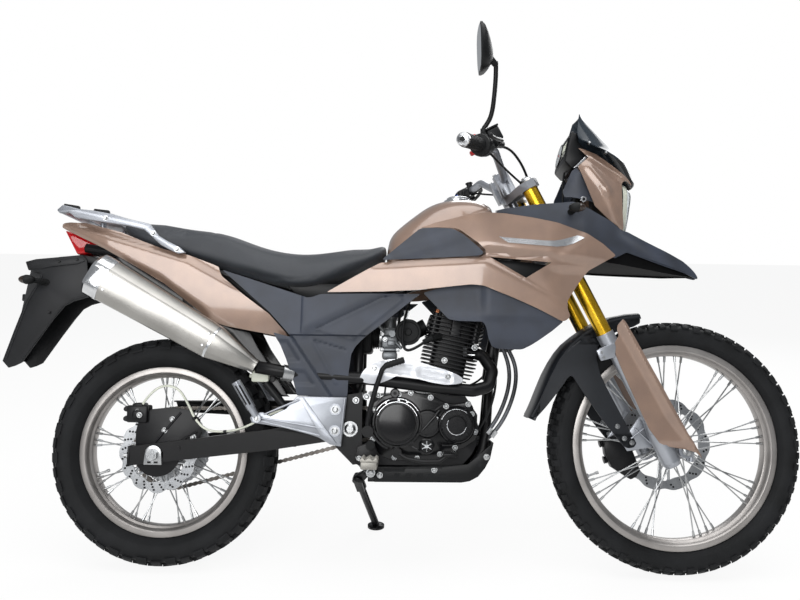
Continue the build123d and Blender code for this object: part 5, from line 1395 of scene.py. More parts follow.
def addMudguard():
    bm = moulding(mudguard["outline"], mudguardDepth, 3.5, 8.0, 3.0)
    rows = []
    points = mudguard["crown"]
    for i, (x, z) in enumerate(points):
        bx, bz = points[max(i - 1, 0)]
        ax, az = points[min(i + 1, len(points) - 1)]
        along = Vector((ax - bx, az - bz)).normalized()
        inward = Vector((-along.y, along.x))
        if inward.dot(Vector((705 - x, 346 - z))) < 0:
            inward = -inward
        row = []
        for j in range(-10, 11):
            t = j / 10
            half = mudguardDepth(x, z - 12) if i else 60
            drop = 15 * abs(t) ** 3.4
            row.append((x + inward.x * drop, half * math.sin(t * 1.35) / math.sin(1.35), z + inward.y * drop))
        rows.append(row)
    gridSkin(bm, rows, lambda co: Vector((705 - co.x, 0, 346 - co.z)).normalized() * 3.5)
    placePiece("frontMudguard", bm, "steering", "mudguardPlastic", ("front_mudguard",),
        angle=50, bevel=1.0)
    bolts = bmesh.new()
    for side in (-1, 1):
        for x, z in mudguard["bolts"]:
            y = side * (mudguardDepth(x, z) + 0.3)
            addAcross(bolts, x, z, y - side * 6, y + side * 1.0, 6.8, 20)
            addAcross(bolts, x, z, y + side * 1.0, y + side * 3.6, 5.6, 20, 3.2)
    placePiece("mudguardBolts", bolts, "steering", "zincSteel")
    plates = bmesh.new()
    for side in (-1, 1):
        addPlate(plates, [(546, 362), (600, 440), (652, 404), (640, 352), (560, 338)], side * 76, side * 72,
            1.0)
        for a, b in (((580, 400), (634, 352)), ((596, 430), (640, 380)), ((570, 372), (628, 416))):
            addBar(plates, (a[0], side * 77, a[1]), (b[0], side * 77, b[1]), 3.0, 8)
    placePiece("caliperBrackets", plates, "steering", "silverCasting", bevel=0.6)


addMudguard()


def addCaliperParts():
    bm = bmesh.new()
    addPlate(bm, [(530, 352), (548, 362), (566, 372), (590, 352), (612, 330), (634, 272), (622, 254),
        (606, 246), (552, 280), (534, 316)], 78, 47, 4.0)
    for x, z in ((524, 344), (536, 298)):
        addBar(bm, (x, 70, z), (x + 26, 70, z + 6), 9, 20)
        for k in range(4):
            near, far = (x - 2 + 5 * k, 70, z - 0.4 + 1.15 * k), (x + 1 + 5 * k, 70, z + 0.3 + 1.15 * k)
            addBar(bm, near, far, 11, 20)
    for x, z in ((572, 330), (592, 284)):
        addAcross(bm, x, z, 76, 84, 17, 32)
    placePiece("frontCaliper", bm, "steering", "engineEnamel", ("front_caliper",), bevel=0.8)


addCaliperParts()

barSpot = Vector((-6.0, 0, 66.0))      # bar in the risers, in the steering frame
bars = {
    "tip": Vector((90, 400, 1089)), "knee": Vector((188, 175, 1136)),
    "mirrorUp": Vector((-0.2, 0, 1)).normalized(),
}


def onGrip(distance, side):
    # point on the bar's middle line, in from its tip
    tip, knee = bars["tip"].copy(), bars["knee"].copy()
    tip.y *= side
    knee.y *= side
    return tip + (knee - tip).normalized() * distance


def addGripRun(bm, steps, side, sides):
    # turned rings along the bar: (distance from the tip, radius)
    for (a, ra), (b, rb) in zip(steps, steps[1:]):
        addBar(bm, onGrip(a, side), onGrip(b, side), ra, sides, rb)


def addGrips():
    grip, ends, holes = (bmesh.new() for _ in range(3))
    steps = [(6, 17.0), (8, 18.0), (14, 18.0)]
    for k in range(12):
        start = 14 + 8.6 * k
        steps += [(start + 0.5, 16.4), (start + 3.0, 16.4), (start + 3.6, 17.6), (start + 8.1, 17.6)]
    steps += [(118, 18.4), (119, 26.5), (124, 27.0), (126, 25.5)]
    for side in (-1, 1):
        addGripRun(grip, steps, side, 28)
        addGripRun(ends, [(5.6, 16), (2, 16.4), (-8, 16.4), (-11, 14.5), (-12, 12.5), (-11, 7.0)], side, 36)
        # a dark hexagon on each bar end: painted shade for its socket
        addBar(holes, onGrip(-12.2, side), onGrip(-10, side), 6.5, 6)
    placePiece("grips", grip, "steering", "softRubber", ("grips",), angle=30)
    placePiece("barEnds", ends, "steering", "machinedAluminium", angle=30)
    placePiece("barEndSocketShade", holes, "steering", "powderCoat")


def addControls():
    body = bmesh.new()
    ahead, up, riser = Vector((0.891, 0, 0.454)), Vector((-0.454, 0, 0.891)), bars["mirrorUp"]
    for side in (-1, 1):
        slim = 0 if side < 0 else 6         # the left housing is thinner
        addGripRun(body,
            [(a, r - slim) for a, r in ((127, 26), (131, 29), (146, 29), (148, 26), (150, 28), (166, 27),
            (169, 22))], side, 32)
        pivot = onGrip(181, side)
        addBar(body, onGrip(172, side), onGrip(192, side), 18, 28)
        addBar(body, pivot, pivot + ahead * 24, 11, 20)
        addBar(body, pivot, pivot + riser * 29.5, 9.5, 24)
        addBar(body, pivot + riser * 24, pivot + riser * 29.5, 12, 6)
    # brake reservoir, its lid and master cylinder on the right, switch box on the left
    low, high = onGrip(176, -1) + ahead * 12 + up * 2, onGrip(206, -1) + ahead * 44 + up * 34
    middle = (low + high) / 2
    turn = Matrix((ahead, Vector((0, 1, 0)), up)).transposed().to_4x4()
    for spot, size, soften, segments in ((middle, (34, 42, 36), 5, 3),
            (middle + up * 20.5, (37, 45, 5), 1.6, 2), (onGrip(148, 1) - up * 2, (46, 36, 48), 6, 3)):
        place = Matrix.Translation(spot) @ turn @ Matrix.Diagonal((*size, 1))
        addCube(body, place, soften, segments)
    addBar(body, onGrip(168, -1) + ahead * 26 - up * 4, onGrip(214, -1) + ahead * 30 - up * 4, 10.5, 24)
    placePiece("handControls", body, "steering", "blackPlastic", ("hand_controls",),
        angle=40, bevel=0.8)
    screws = bmesh.new()
    for du, dv in ((-12, -16), (12, 16)):
        spot = middle + ahead * du + Vector((0, dv, 0)) + up * 22
        addBar(screws, spot, spot + up * 2.4, 3.4, 14)
    for side in (-1, 1):
        spot = onGrip(192, side) - ahead * 12
        addBar(screws, spot + up * 13, spot - up * 14, 3.4, 12)
    placePiece("controlScrews", screws, "steering", "zincSteel")
    levers = bmesh.new()
    # distance from the tip, reach ahead of the bar, slope, radius
    path = [(181, 26, 0.45, 8), (172, 38, 0.42, 7), (156, 48, 0.3, 6), (120, 56, 0.2, 5.2), (70, 58, 0.15, 5),
        (24, 60, 0.16, 4.8), (12, 60, 0.2, 6.5)]
    for side in (-1, 1):
        spots = [onGrip(d, side) + Vector((0.891, 0, slope)).normalized() * reach for d, reach, slope,
            r in path]
        for a, b, start, stop in zip(spots, spots[1:], path, path[1:]):
            addBar(levers, a, b, start[3], 16, stop[3])
            bmesh.ops.create_icosphere(levers, subdivisions=2, radius=stop[3], matrix=Matrix.Translation(b))
    placePiece("levers", levers, "steering", "powderCoat", angle=50)
    for name, place, direction, size, finishName in (
            ("killSwitch", onGrip(140, -1) + up * 24 - ahead * 8, up, 7.5, "redPlastic"),
            ("starterButton", onGrip(138, -1) - ahead * 27 - up * 8, -ahead, 6.5, "redPlastic"),
            ("hornButton", onGrip(150, 1) - ahead * 22 - up * 14, -ahead, 6.0, "yellowPlastic"),
            ("dipSwitch", onGrip(146, 1) - ahead * 22 + up * 10, -ahead, 5.0, "bluePlastic")):
        bm = bmesh.new()
        addBar(bm, place, place + direction * 7, size, 24)
        addBar(bm, place + direction * 7, place + direction * 9.5, size, 24, size * 0.7)
        placePiece(name, bm, "steering", finishName, angle=35)


addGrips()
addControls()


def addClampBolts():
    bolts = bmesh.new()
    for side in (-1, 1):
        for u in (-14, 14):
            top = inSteering((u + barSpot.x, side * 45, barSpot.z + 20))
            addBar(bolts, top, top + steerUp * 5, 5.5, 20)
            addBar(bolts, top + steerUp * 5, top + steerUp * 5.6, 3.0, 6)
        for w in (-178, -192, 11):
            spot = inSteering((fork["offset"] - 27, side * (fork["half"] - 4), w))
            addBar(bolts, spot, spot - steerForward * 5, 5.0, 6)
    placePiece("yokeBolts", bolts, "steering", "zincSteel", bevel=0.4)
    caps = bmesh.new()
    for side in (-1, 1):
        spot = inSteering((fork["offset"], side * fork["half"], 24))
        addBar(caps, spot, spot + steerUp * 8, 19, 36, 17)
        addBar(caps, spot + steerUp * 8, spot + steerUp * 13, 9, 6)
    placePiece("forkCaps", caps, "steering", "machinedAluminium", bevel=0.5)


addClampBolts()

mirrorShape = {"middle": (143, -306, 1358), "tilt": 2.0,
    "rim": [(-52, 28), (-51, -10), (-46, -42), (-30, -60), (0, -62), (36, -58), (52, -38), (58, -16),
    (59, 12), (56, 38), (44, 54), (24, 60), (-6, 60), (-34, 54), (-46, 44)]}


def addMirror():
    shell = bmesh.new()
    rings = []
    tilt = Matrix.Rotation(math.radians(-mirrorShape["tilt"]), 4, "Y")
    middle = Vector(mirrorShape["middle"])
    for depth, size in ((-9, 0.97), (-8, 1.0), (-3, 1.0), (4, 0.92), (12, 0.72), (18, 0.5), (23, 0.28),
            (25, 0.12)):
        rings.append([middle + tilt @ Vector((depth, y * size, z * size - 26 * (1 - size))) for y,
            z in mirrorShape["rim"]])
    crossLoft(shell, rings)
    placePiece("mirrorShell", shell, "steering", "blackPlastic", ("mirror",), angle=50)
    glass = bmesh.new()
    glass.faces.new([glass.verts.new(middle + tilt @ Vector((-9.6, y * 0.93, z * 0.93))) for y,
        z in mirrorShape["rim"]])
    placePiece("mirrorGlass", glass, "steering", "mirrorGlass")
    base = onGrip(180, -1) + bars["mirrorUp"] * 30.3
    addHose("mirrorStem", [base, base + bars["mirrorUp"] * 18, (160, -241, 1180), (173, -251, 1204),
        (178, -272, 1262), (179, -288, 1312), (177, -293, 1328)], 6.0, "steering", "powderCoat")
    collar = bmesh.new()
    addBar(collar, (178, -290, 1320), (162, -304, 1330), 7.5, 20, 9.5)
    addBar(collar, base, base + bars["mirrorUp"] * 7, 9.5, 6)
    addBar(collar, base + bars["mirrorUp"] * 7, base + bars["mirrorUp"] * 19, 9.0, 24, 6.8)
    placePiece("mirrorNut", collar, "steering", "softRubber", bevel=0.4)


addMirror()
print("front end made")


# engine, carburettor and exhaust

def addBolt(bm, x, z, y, side, radius=6.0, height=6.0):
    # button head on a washer, pointing out of the bike's side
    addAcross(bm, x, z, y, y + side * 1.4, radius * 1.35, 20)
    addAcross(bm, x, z, y + side * 1.4, y + side * (1.4 + height * 0.55), radius, 6 if radius > 6.4 else 16)
    addAcross(bm, x, z, y + side * (1.4 + height * 0.55), y + side * (1.4 + height), radius, 16, radius * 0.6)


def addArc(bm, x, z, radius, wide, y0, y1, start, sweep, steps):
    # flat-topped band standing on a round cover, angles in degrees from the front
    turn = Matrix.Rotation(-math.radians(start), 4, "Y")
    section = [(radius - wide / 2, y0), (radius - wide / 2, y1), (radius + wide / 2, y1),
        (radius + wide / 2, y0)]
    loop = [bm.verts.new(Vector((x, 0, z)) + turn @ Vector((r, y, 0))) for r, y in section]
    face = bm.faces.new(loop)
    bmesh.ops.duplicate(bm, geom=[face])    # stays behind as the start's end face
    bmesh.ops.spin(bm, geom=[face], cent=(x, 0, z), axis=(0, -1, 0), angle=math.radians(sweep), steps=steps)
    bmesh.ops.remove_doubles(bm, verts=bm.verts, dist=0.001)


covers = {
    "face": -100.3,      # joint face on the case
    "plate": 14.0,
    "outline": [(-135, 420), (-128, 455), (-100, 476), (-70, 484), (-57, 491), (-40, 486), (-25, 495),
        (-8, 486), (28, 483), (50, 470), (69, 461), (92, 458), (116, 462), (130, 467), (141, 452), (146, 432),
        (156, 400), (156, 384), (148, 364), (118, 344), (94, 335), (62, 316), (20, 306), (-6, 304),
        (-36, 308), (-66, 306), (-100, 318), (-126, 345)],
    "bolts": [(-25, 486), (28, 474), (69, 452), (128, 458), (138, 432), (147, 386), (94, 344), (54, 326),
        (-6, 314), (-66, 316), (-57, 481), (-122, 440), (-124, 362)],
}


def addCovers():
    y0 = covers["face"]
    flat = y0 - covers["plate"]
    bm = bmesh.new()
    addPlate(bm, covers["outline"], flat, y0, 3.0)
    for x, z in covers["bolts"]:
        addAcross(bm, x, z, y0, flat - 1.6, 9.5, 20, 8.5)
    # clutch cover with a stepped rim
    addTurned(bm, [(flat + 2, 68), (flat - 6, 68), (flat - 9, 65), (flat - 9, 61), (flat - 17, 59.5),
        (flat - 20, 57), (flat - 20, 53), (flat - 18.5, 51.5), (flat - 18.5, 49.5), (flat - 22, 48),
        (flat - 23.5, 40), (flat - 24, 0)], -60, 407, 96)
    # middle cover and the front round cover
    addTurned(bm, [(flat + 2, 38), (flat - 5, 37), (flat - 9, 34), (flat - 9, 29), (flat - 7.5, 28),
        (flat - 7.5, 0)], 20, 405, 64)
    addTurned(bm, [(flat + 2, 50), (flat - 12, 49.5), (flat - 17, 46), (flat - 18, 43.5), (flat - 16, 42),
        (flat - 16, 40.5), (flat - 18, 39), (flat - 18, 27), (flat - 14, 26), (flat - 14, 24.5),
        (flat - 16, 23), (flat - 16, 0)], 97, 403, 80)
    addTurned(bm, [(flat + 2, 22), (flat - 5, 21), (flat - 7, 18), (flat - 4, 16), (flat - 4, 0)], 19, 346,
        40)
    addBar(bm, (8, flat - 9.5, 390), (42, flat - 9.5, 428), 4.2, 12)
    addBar(bm, (42, flat - 8, 428), (52, flat - 4, 440), 4.2, 12)
    # ribs over the clutch cover's rear
    addArc(bm, -60, 407, 72, 5, flat + 1, flat - 6, 120, 130, 30)
    for x, z, u, w in ((-20, 350, -60, 340), (-20, 344, 12, 326), (60, 350, 110, 352), (40, 440, 66, 458)):
        addBar(bm, (x, flat, z), (u, flat, w), 3.4, 10)
    addTurned(bm, [(flat, 13), (flat - 13, 12), (flat - 16, 10), (flat - 16, 0)], -67, 484, 32)
    placePiece("clutchCovers", bm, "chassis", "coverEnamel", ("engine_covers",), angle=30)

    rings = bmesh.new()
    addArc(rings, -60, 407, 55, 1.6, flat - 18, flat - 20.6, 20, 140, 40)
    addArc(rings, -60, 407, 63, 1.4, flat - 8, flat - 9.6, 30, 60, 24)
    addArc(rings, -60, 407, 63, 1.4, flat - 8, flat - 9.6, 110, 40, 20)
    for start in (62, 84, 118):
        addArc(rings, -60, 407, 59, 6.5, flat - 17, flat - 18.6, start, 5, 4)
    addArc(rings, 97, 403, 25, 1.6, flat - 13, flat - 16.4, 150, 200, 36)
    addArc(rings, 97, 403, 42, 1.2, flat - 15.5, flat - 17.8, 50, 110, 30)
    for start in (-12, 8, 28):
        addArc(rings, 20, 405, 31.5, 1.6, flat - 8, flat - 9.8, start, 9, 5)
    placePiece("coverRings", rings, "chassis", "machinedAluminium", angle=40)

    # dark discs on the round cover and the filler plug: painted shade for their socket recesses
    dark = bmesh.new()
    for i in range(6):
        spot = around(97, 403, 34, math.radians(60 * i + 18))
        addAcross(dark, *spot, flat - 17, flat - 18.4, 3.4, 12)
    addAcross(dark, -67, 484, flat - 16, flat - 17.5, 5, 6)
    placePiece("coverSocketShade", dark, "chassis", "blackPlastic", angle=30)

    star = bmesh.new()
    addAcross(star, 19, 346, flat - 3.5, flat - 5.4, 5.0, 24)
    for i in range(6):
        (x0, z0), (x1, z1) = (around(19, 346, r, math.radians(60 * i + 30)) for r in (3, 14))
        addBar(star, (x0, flat - 4.6, z0), (x1, flat - 4.6, z1), 1.8, 6)
    placePiece("levelPlugStar", star, "chassis", "machinedAluminium")

    bolts = bmesh.new()
    for x, z in covers["bolts"]:
        addBolt(bolts, x, z, flat - 1.6, -1, 5.4, 6)
    for x, z in ((-112, 478), (-100, 470), (-118, 330)):
        addBolt(bolts, x, z, y0, -1, 5.2, 6)
    placePiece("coverBolts", bolts, "chassis", "zincSteel", angle=30)


def addLeftCovers():
    y0 = 100.3
    flat = y0 + 12
    bm = bmesh.new()
    outline = [(-48, 332), (-56, 400), (-48, 462), (-20, 478), (24, 484), (80, 474), (118, 456), (132, 420),
        (130, 376), (112, 340), (84, 318), (30, 308), (-20, 314)]
    addPlate(bm, outline, y0, flat, 3.0)
    addTurned(bm, [(flat - 2, 72), (flat + 9, 71), (flat + 14, 68), (flat + 20, 66), (flat + 22, 62),
        (flat + 22, 56), (flat + 20, 54), (flat + 20, 30), (flat + 22, 28), (flat + 22, 0)], 30, 400, 96)
    for a in range(0, 360, 30):
        (x0, z0), (x1, z1) = (around(30, 400, r, math.radians(a)) for r in (32, 53))
        addBar(bm, (x0, flat + 20, z0), (x1, flat + 20, z1), 2.2, 8)
    # sprocket cover behind the magneto
    addPlate(bm, [(-150, 372), (-146, 432), (-112, 454), (-70, 450), (-62, 400), (-70, 352), (-112, 344)], 92,
        101, 4.0)
    placePiece("magnetoCover", bm, "chassis", "coverEnamel", angle=30)
    bolts = bmesh.new()
    for x, z in ((-44, 456), (22, 476), (82, 466), (112, 448), (122, 376), (80, 328), (-14, 322), (-46, 346)):
        addBolt(bolts, x, z, flat, 1, 6.0, 6.0)
    for x, z in ((-140, 376), (-138, 428), (-76, 442)):
        addBolt(bolts, x, z, 101, 1, 5.4, 6.0)
    addBolt(bolts, 30, 400, flat + 22, 1, 11, 4)
    placePiece("magnetoBolts", bolts, "chassis", "zincSteel", angle=30)


barrel = {
    "base": (62, 0, 486), "tilt": 11.0,
    # fin: height up the barrel, half length, half width
    "fins": [(30 + 10.5 * i, 62 + min(i, 5) * 3.0, 66 + min(i, 3) * 2) for i in range(12)],
    "headFins": [(158, 78, 74), (169, 79, 75), (180, 79, 75), (191, 78, 74), (202, 76, 72)],
}
onBarrel = Matrix.Translation(barrel["base"]) @ Matrix.Rotation(math.radians(barrel["tilt"]), 4, "Y")


def addUpBox(bm, low, high, corner):
    # box on the barrel's line with its upright corners rounded
    low, high = Vector(low), Vector(high)
    place = onBarrel @ Matrix.Translation((low + high) / 2) @ Matrix.Diagonal((*(high - low), 1))
    made = bmesh.ops.create_cube(bm, size=1.0, matrix=place)
    up = (onBarrel.to_3x3() @ Vector((0, 0, 1))).normalized()
    edges = dict.fromkeys(e for v in made["verts"] for e in v.link_edges)
    upright = [e for e in edges if abs((e.verts[0].co - e.verts[1].co).normalized().dot(up)) > 0.9]
    roundEdges(bm, upright, corner, 4)


def addBarrel():
    bm = bmesh.new()
    addUpBox(bm, (-50, -48, 2), (50, 48, 160), 18)
    for height, halfLong, halfWide in barrel["fins"]:
        if height < 46:
            halfLong -= 6
        addUpBox(bm, (-halfLong, -halfWide, height - 1.9), (halfLong, halfWide, height + 1.9), 20)
    placePiece("barrelFins", bm, "chassis", "engineEnamel", ("cylinder",), angle=35,
        bevel=0.5)
    head = bmesh.new()
    addUpBox(head, (-56, -52, 152), (56, 52, 206), 16)
    for height, halfLong, halfWide in barrel["headFins"]:
        addUpBox(head, (-halfLong, -halfWide, height - 1.7), (halfLong, halfWide, height + 1.7), 16)
    addUpBox(head, (-60, -58, 206), (60, 58, 236), 20)
    addUpBox(head, (-46, -44, 236), (46, 44, 244), 18)
    for x in (-50, -34, -18, -2, 14, 30, 46):
        addUpBox(head, (x - 1.8, -66, 204), (x + 1.8, 66, 226), 0.6)
    # spark plug well and its boss
    addUpBox(head, (-14, -74, 160), (16, -50, 200), 6)
    for x, y in ((-58, -56), (58, -56), (-58, 56), (58, 56)):
        addBar(head, onBarrel @ Vector((x, y, 150)), onBarrel @ Vector((x, y, 212)), 11, 20)
    placePiece("headFins", head, "chassis", "engineEnamel", angle=35, bevel=0.5)
    copper = bmesh.new()
    bolts = bmesh.new()
    for x, y, root, face, tip in ((-58, -56, 212, 222, 230), (2, -64, 226, 232, 240),
            (58, -56, 212, 222, 230), (-58, 56, 212, 222, 230), (58, 56, 212, 222, 230)):
        a, b, c = (onBarrel @ Vector((x, y, z)) for z in (root, face, tip))
        addBar(copper, a, b, 7.4, 6)
        addBar(bolts, b, c, 6.2, 6, 5.0)
    placePiece("headWashers", copper, "chassis", "copperPlate", angle=30)
    for x, z in ((66, 574), (148, 610), (20, 486)):
        addBolt(bolts, x, z, -72, -1, 6.0, 6)
    placePiece("headBolts", bolts, "chassis", "zincSteel", angle=30)
    plug = bmesh.new()
    addBar(plug, (52, -74, 640), (30, -96, 634), 9.5, 20, 8)
    addBar(plug, (30, -96, 634), (8, -104, 622), 8.5, 20, 7)
    addBar(plug, (34, -92, 635), (30, -96, 634), 11, 20)
    placePiece("plugCap", plug, "chassis", "softRubber", angle=40)


def addHorn():
    bm = bmesh.new()
    addTurned(bm, [(-60, 0), (-60, 8), (-63, 10), (-63, 30), (-66, 34), (-72, 36), (-76, 34), (-76, 29),
        (-73, 27), (-73, 10), (-78, 8), (-78, 0)], -34, 650, 56)
    addAcross(bm, -34, 650, -60, -40, 22, 32, 14)
    placePiece("horn", bm, "chassis", "softRubber", angle=35)
    bracket = bmesh.new()
    addPlate(bracket, [(-46, 712), (-34, 716), (-24, 664), (-30, 640), (-44, 640), (-46, 664)], -44, -41)
    placePiece("hornBracket", bracket, "chassis", "zincSteel")


def addCarburettor():
    bm = bmesh.new()
    addBar(bm, (-112, 0, 636), (-60, 0, 632), 23, 36)
    addBar(bm, (-114, 0, 636), (-104, 0, 635.5), 28, 36)
    addBar(bm, (-64, 0, 632), (-56, 0, 631.5), 27, 6)
    addBlock(bm, (-108, -36, 606), (-62, 30, 640), 5)
    addBlock(bm, (-112, -40, 598), (-58, 34, 606), 2)
    addBlock(bm, (-106, -36, 574), (-64, 30, 598), 7)
    addBlock(bm, (-104, -30, 640), (-66, 26, 664), 6)
    addBar(bm, (-85, -2, 664), (-84.6, -2, 688), 19, 32, 17)
    addBar(bm, (-84.6, -2, 688), (-84.4, -2, 695), 21, 12)
    addAcross(bm, -78, 646, -38, -48, 9, 24)
    addAcross(bm, -98, 630, -36, -52, 7, 20)
    addBar(bm, (-104, -34, 655), (-122, -40, 676), 5, 14)
    addBar(bm, (-66, -38, 620), (-52, -44, 606), 4.5, 14)
    addBlock(bm, (-92, -46, 612), (-70, -36, 628), 3)
    for x in (-106, -62):
        for z in (602, 645):
            addAcross(bm, x, z, -30, -44, 5, 12)
    placePiece("carburettorBody", bm, "chassis", "zincCasting", ("carburettor",), angle=35)
    boots = bmesh.new()
    addBar(boots, (-60, 0, 632), (-24, 0, 650), 25, 36, 23)
    addBar(boots, (-24, 0, 650), (16, 0, 672), 22, 36)
    addBar(boots, (-134, 0, 640), (-112, 0, 636), 33, 36, 27)
    for x in (-130, -124, -118):
        addBar(boots, (x - 1.5, 0, 638), (x + 1.5, 0, 638), 33, 36)
    addBlock(boots, (-178, -58, 590), (-134, 58, 700), 9)
    addBar(boots, (-84.4, -2, 695), (-84, -2, 712), 9, 16, 6)
    placePiece("intakeBoots", boots, "chassis", "softRubber", angle=40)
    trims = bmesh.new()
    for x in (-106, -62):
        for z in (602, 645):
            addBolt(trims, x, z, -44, -1, 3.4, 3)
    addBolt(trims, -98, 630, -52, -1, 4.5, 5)
    addAcross(trims, -56, 640, -30, -38, 4, 12)
    addBar(trims, (-58, 0, 632.5), (-50, 0, 636), 27.5, 36)
    addBar(trims, (-114, 0, 637), (-108, 0, 636.5), 29.5, 36)
    placePiece("carburettorScrews", trims, "chassis", "zincSteel", angle=40)


shield = {
    "outline": [(-161, 520), (-158, 532), (-146, 548), (-120, 564), (-84, 574), (-42, 575), (0, 567),
        (29, 558), (66, 548), (95, 537), (110, 528), (114, 521), (108, 514), (90, 510), (64, 509), (30, 514),
        (-10, 524), (-46, 533), (-64, 530), (-84, 519), (-104, 511), (-128, 508), (-150, 511)],
    "windows": [(-102, -18, 557, 541), (-6, 84, 542, 527)],
    "pipe": [(-170, 524), (-135, 521), (30, 502), (140, 494)],
}


def onPipe(x):
    points = shield["pipe"]
    for (x0, z0), (x1, z1) in zip(points, points[1:]):
        if x <= x1:
            return z0 + (z1 - z0) * (x - x0) / (x1 - x0)
    return points[-1][1]


def shieldDepth(x, z):
    middle = onPipe(x) + 16
    rise = (z - middle) / 42
    depth = 147 - 13 * min(rise * rise, 1.3)
    for x0, x1, z0, z1 in shield["windows"]:
        t = (x - x0) / (x1 - x0)
        inside = min(x - x0, x1 - x, 14) if x0 < x < x1 else 0
        centre = z0 + (z1 - z0) * t
        depth -= 2.2 * ramp(inside, 0, 3) * (1 - ramp(abs(z - centre), 11, 14))
    return depth - 7 * ramp(-120 - x, 0, 40) - 6 * ramp(x - 80, 0, 34)


def addExhaust():
    placePiece("heatShield", moulding(shield["outline"], shieldDepth, 2.0, 4.5, 5, sided=False), "chassis",
        "shieldPaint", ("pipe_shield",), angle=50)
    bolts = bmesh.new()
    for x, z in ((-122, 549), (72, 530)):
        addBolt(bolts, x, z, -shieldDepth(x, z) - 0.5, -1, 6.0, 5)
    placePiece("shieldBolts", bolts, "chassis", "zincSteel", angle=30)
    flange = bmesh.new()
    addBar(flange, (132, -38, 600), (142, -46, 600), 27, 6)
    for s in (-1, 1):
        addBar(flange, (128, -40 + s * 22, 600 + s * 10), (150, -44 + s * 22, 600 + s * 10), 4.5, 10)
    addBar(flange, (-340, -122, 530.4), (-366, -131, 535), 21, 32)
    placePiece("exhaustFlange", flange, "chassis", "zincSteel", angle=30)


addCovers()
addLeftCovers()
addBarrel()
addHorn()
addCarburettor()
addExhaust()
print("engine details built")


# silencer, tail, rear brake and foot gear

silencer = {
    "front": (-432.0, -156.0, 548.0), "rear": (-868.0, -172.0, 790.0),
    # distance along, half width across, half height
    "stations": [(0, 17.5, 18), (14, 18.5, 19), (22, 21, 22), (128, 43, 45), (455, 46, 57)],
    "cap": [(455, 47.2, 58.4), (486, 47.2, 58.4), (497, 38, 48)],
    "frontBand": [(126, 43.6, 45.8), (133, 43.8, 46.1)], "rearBand": [(448, 46.8, 57.8), (456, 47.2, 58.2)],
}


def silencerAxes():
    a, b = Vector(silencer["front"]), Vector(silencer["rear"])
    along = (b - a).normalized()
    side = (Vector((0, 1, 0)) - along * along.y).normalized()
    return a, along, side, side.cross(along)


def silencerRing(bm, distance, halfWide, halfHigh):
    # eight-sided section, flat towards the side, with its corners eased
    a, along, side, up = silencerAxes()
    middle = a + along * distance
    corners = [(halfWide, halfHigh * 0.5), (halfWide * 0.42, halfHigh), (-halfWide * 0.42, halfHigh),
        (-halfWide, halfHigh * 0.5), (-halfWide, -halfHigh * 0.56), (-halfWide * 0.55, -halfHigh),
        (halfWide * 0.55, -halfHigh), (halfWide, -halfHigh * 0.56)]
    corner = 0.12                           # share of each side that its rounding takes
    ring = []
    for i, (p, q) in enumerate(corners):
        for u, v in (corners[i - 1], corners[(i + 1) % len(corners)]):
            ring.append(bm.verts.new(middle + side * (p + (u - p) * corner) + up * (q + (v - q) * corner)))
    return ring


def loftRings(bm, rings):
    # rings joined end to end and closed at both ends
    for first, second in zip(rings, rings[1:]):
        edges = [bm.edges.get((r[i], r[(i + 1) % len(r)])) or bm.edges.new((r[i], r[(i + 1) % len(r)]))
            for r in (first, second) for i in range(len(r))]
        bmesh.ops.bridge_loops(bm, edges=edges)
    bm.faces.new(rings[0])
    bm.faces.new(rings[-1])


def addSilencer():
    bm = bmesh.new()
    loftRings(bm, [silencerRing(bm, *s) for s in silencer["stations"]])
    placePiece("silencerBody", bm, "chassis", "brushedStainless", ("silencer",), angle=24,
        bevel=0.6)
    cap = bmesh.new()
    for band in (silencer["cap"], silencer["frontBand"], silencer["rearBand"]):
        loftRings(cap, [silencerRing(cap, *s) for s in band])
    placePiece("silencerBands", cap, "chassis", "chromedSteel", angle=24, bevel=0.6)
    a, along, side, up = silencerAxes()
    rivets = bmesh.new()
    for distance, wide, high in ((142, 43.9, 17), (142, 43.9, -17), (436, 46.2, 20), (436, 46.2, -22),
            (470, 47.6, 8)):
        for s in (-1, 1):
            spot = a + along * distance + side * s * wide + up * high
            addBar(rivets, spot - side * s * 3, spot + side * s * 1.8, 4.4, 14, 3.0)
    placePiece("silencerRivets", rivets, "chassis", "zincSteel", angle=40)
    outlet = bmesh.new()
    addBar(outlet, a + along * 488 - up * 10, a + along * 503 - up * 10, 17, 32)
    placePiece("silencerOutlet", outlet, "chassis", "powderCoat", angle=40)
    hanger = bmesh.new()
    addPlate(hanger, [(-655, 838), (-625, 838), (-622, 720), (-618, 688), (-650, 688), (-648, 720)], -107,
        -101, 1.0)
    addAcross(hanger, -640, 822, -93, -101, 9)
    addAcross(hanger, -634, 702, -140, -101, 9)
    placePiece("silencerHanger", hanger, "chassis", "powderCoat")


tail = {
    "light": [(-1001, 921), (-985, 917), (-935, 899), (-912, 888), (-912, 873), (-922, 862), (-948, 856),
        (-963, 853)],
    "side": 64,
}


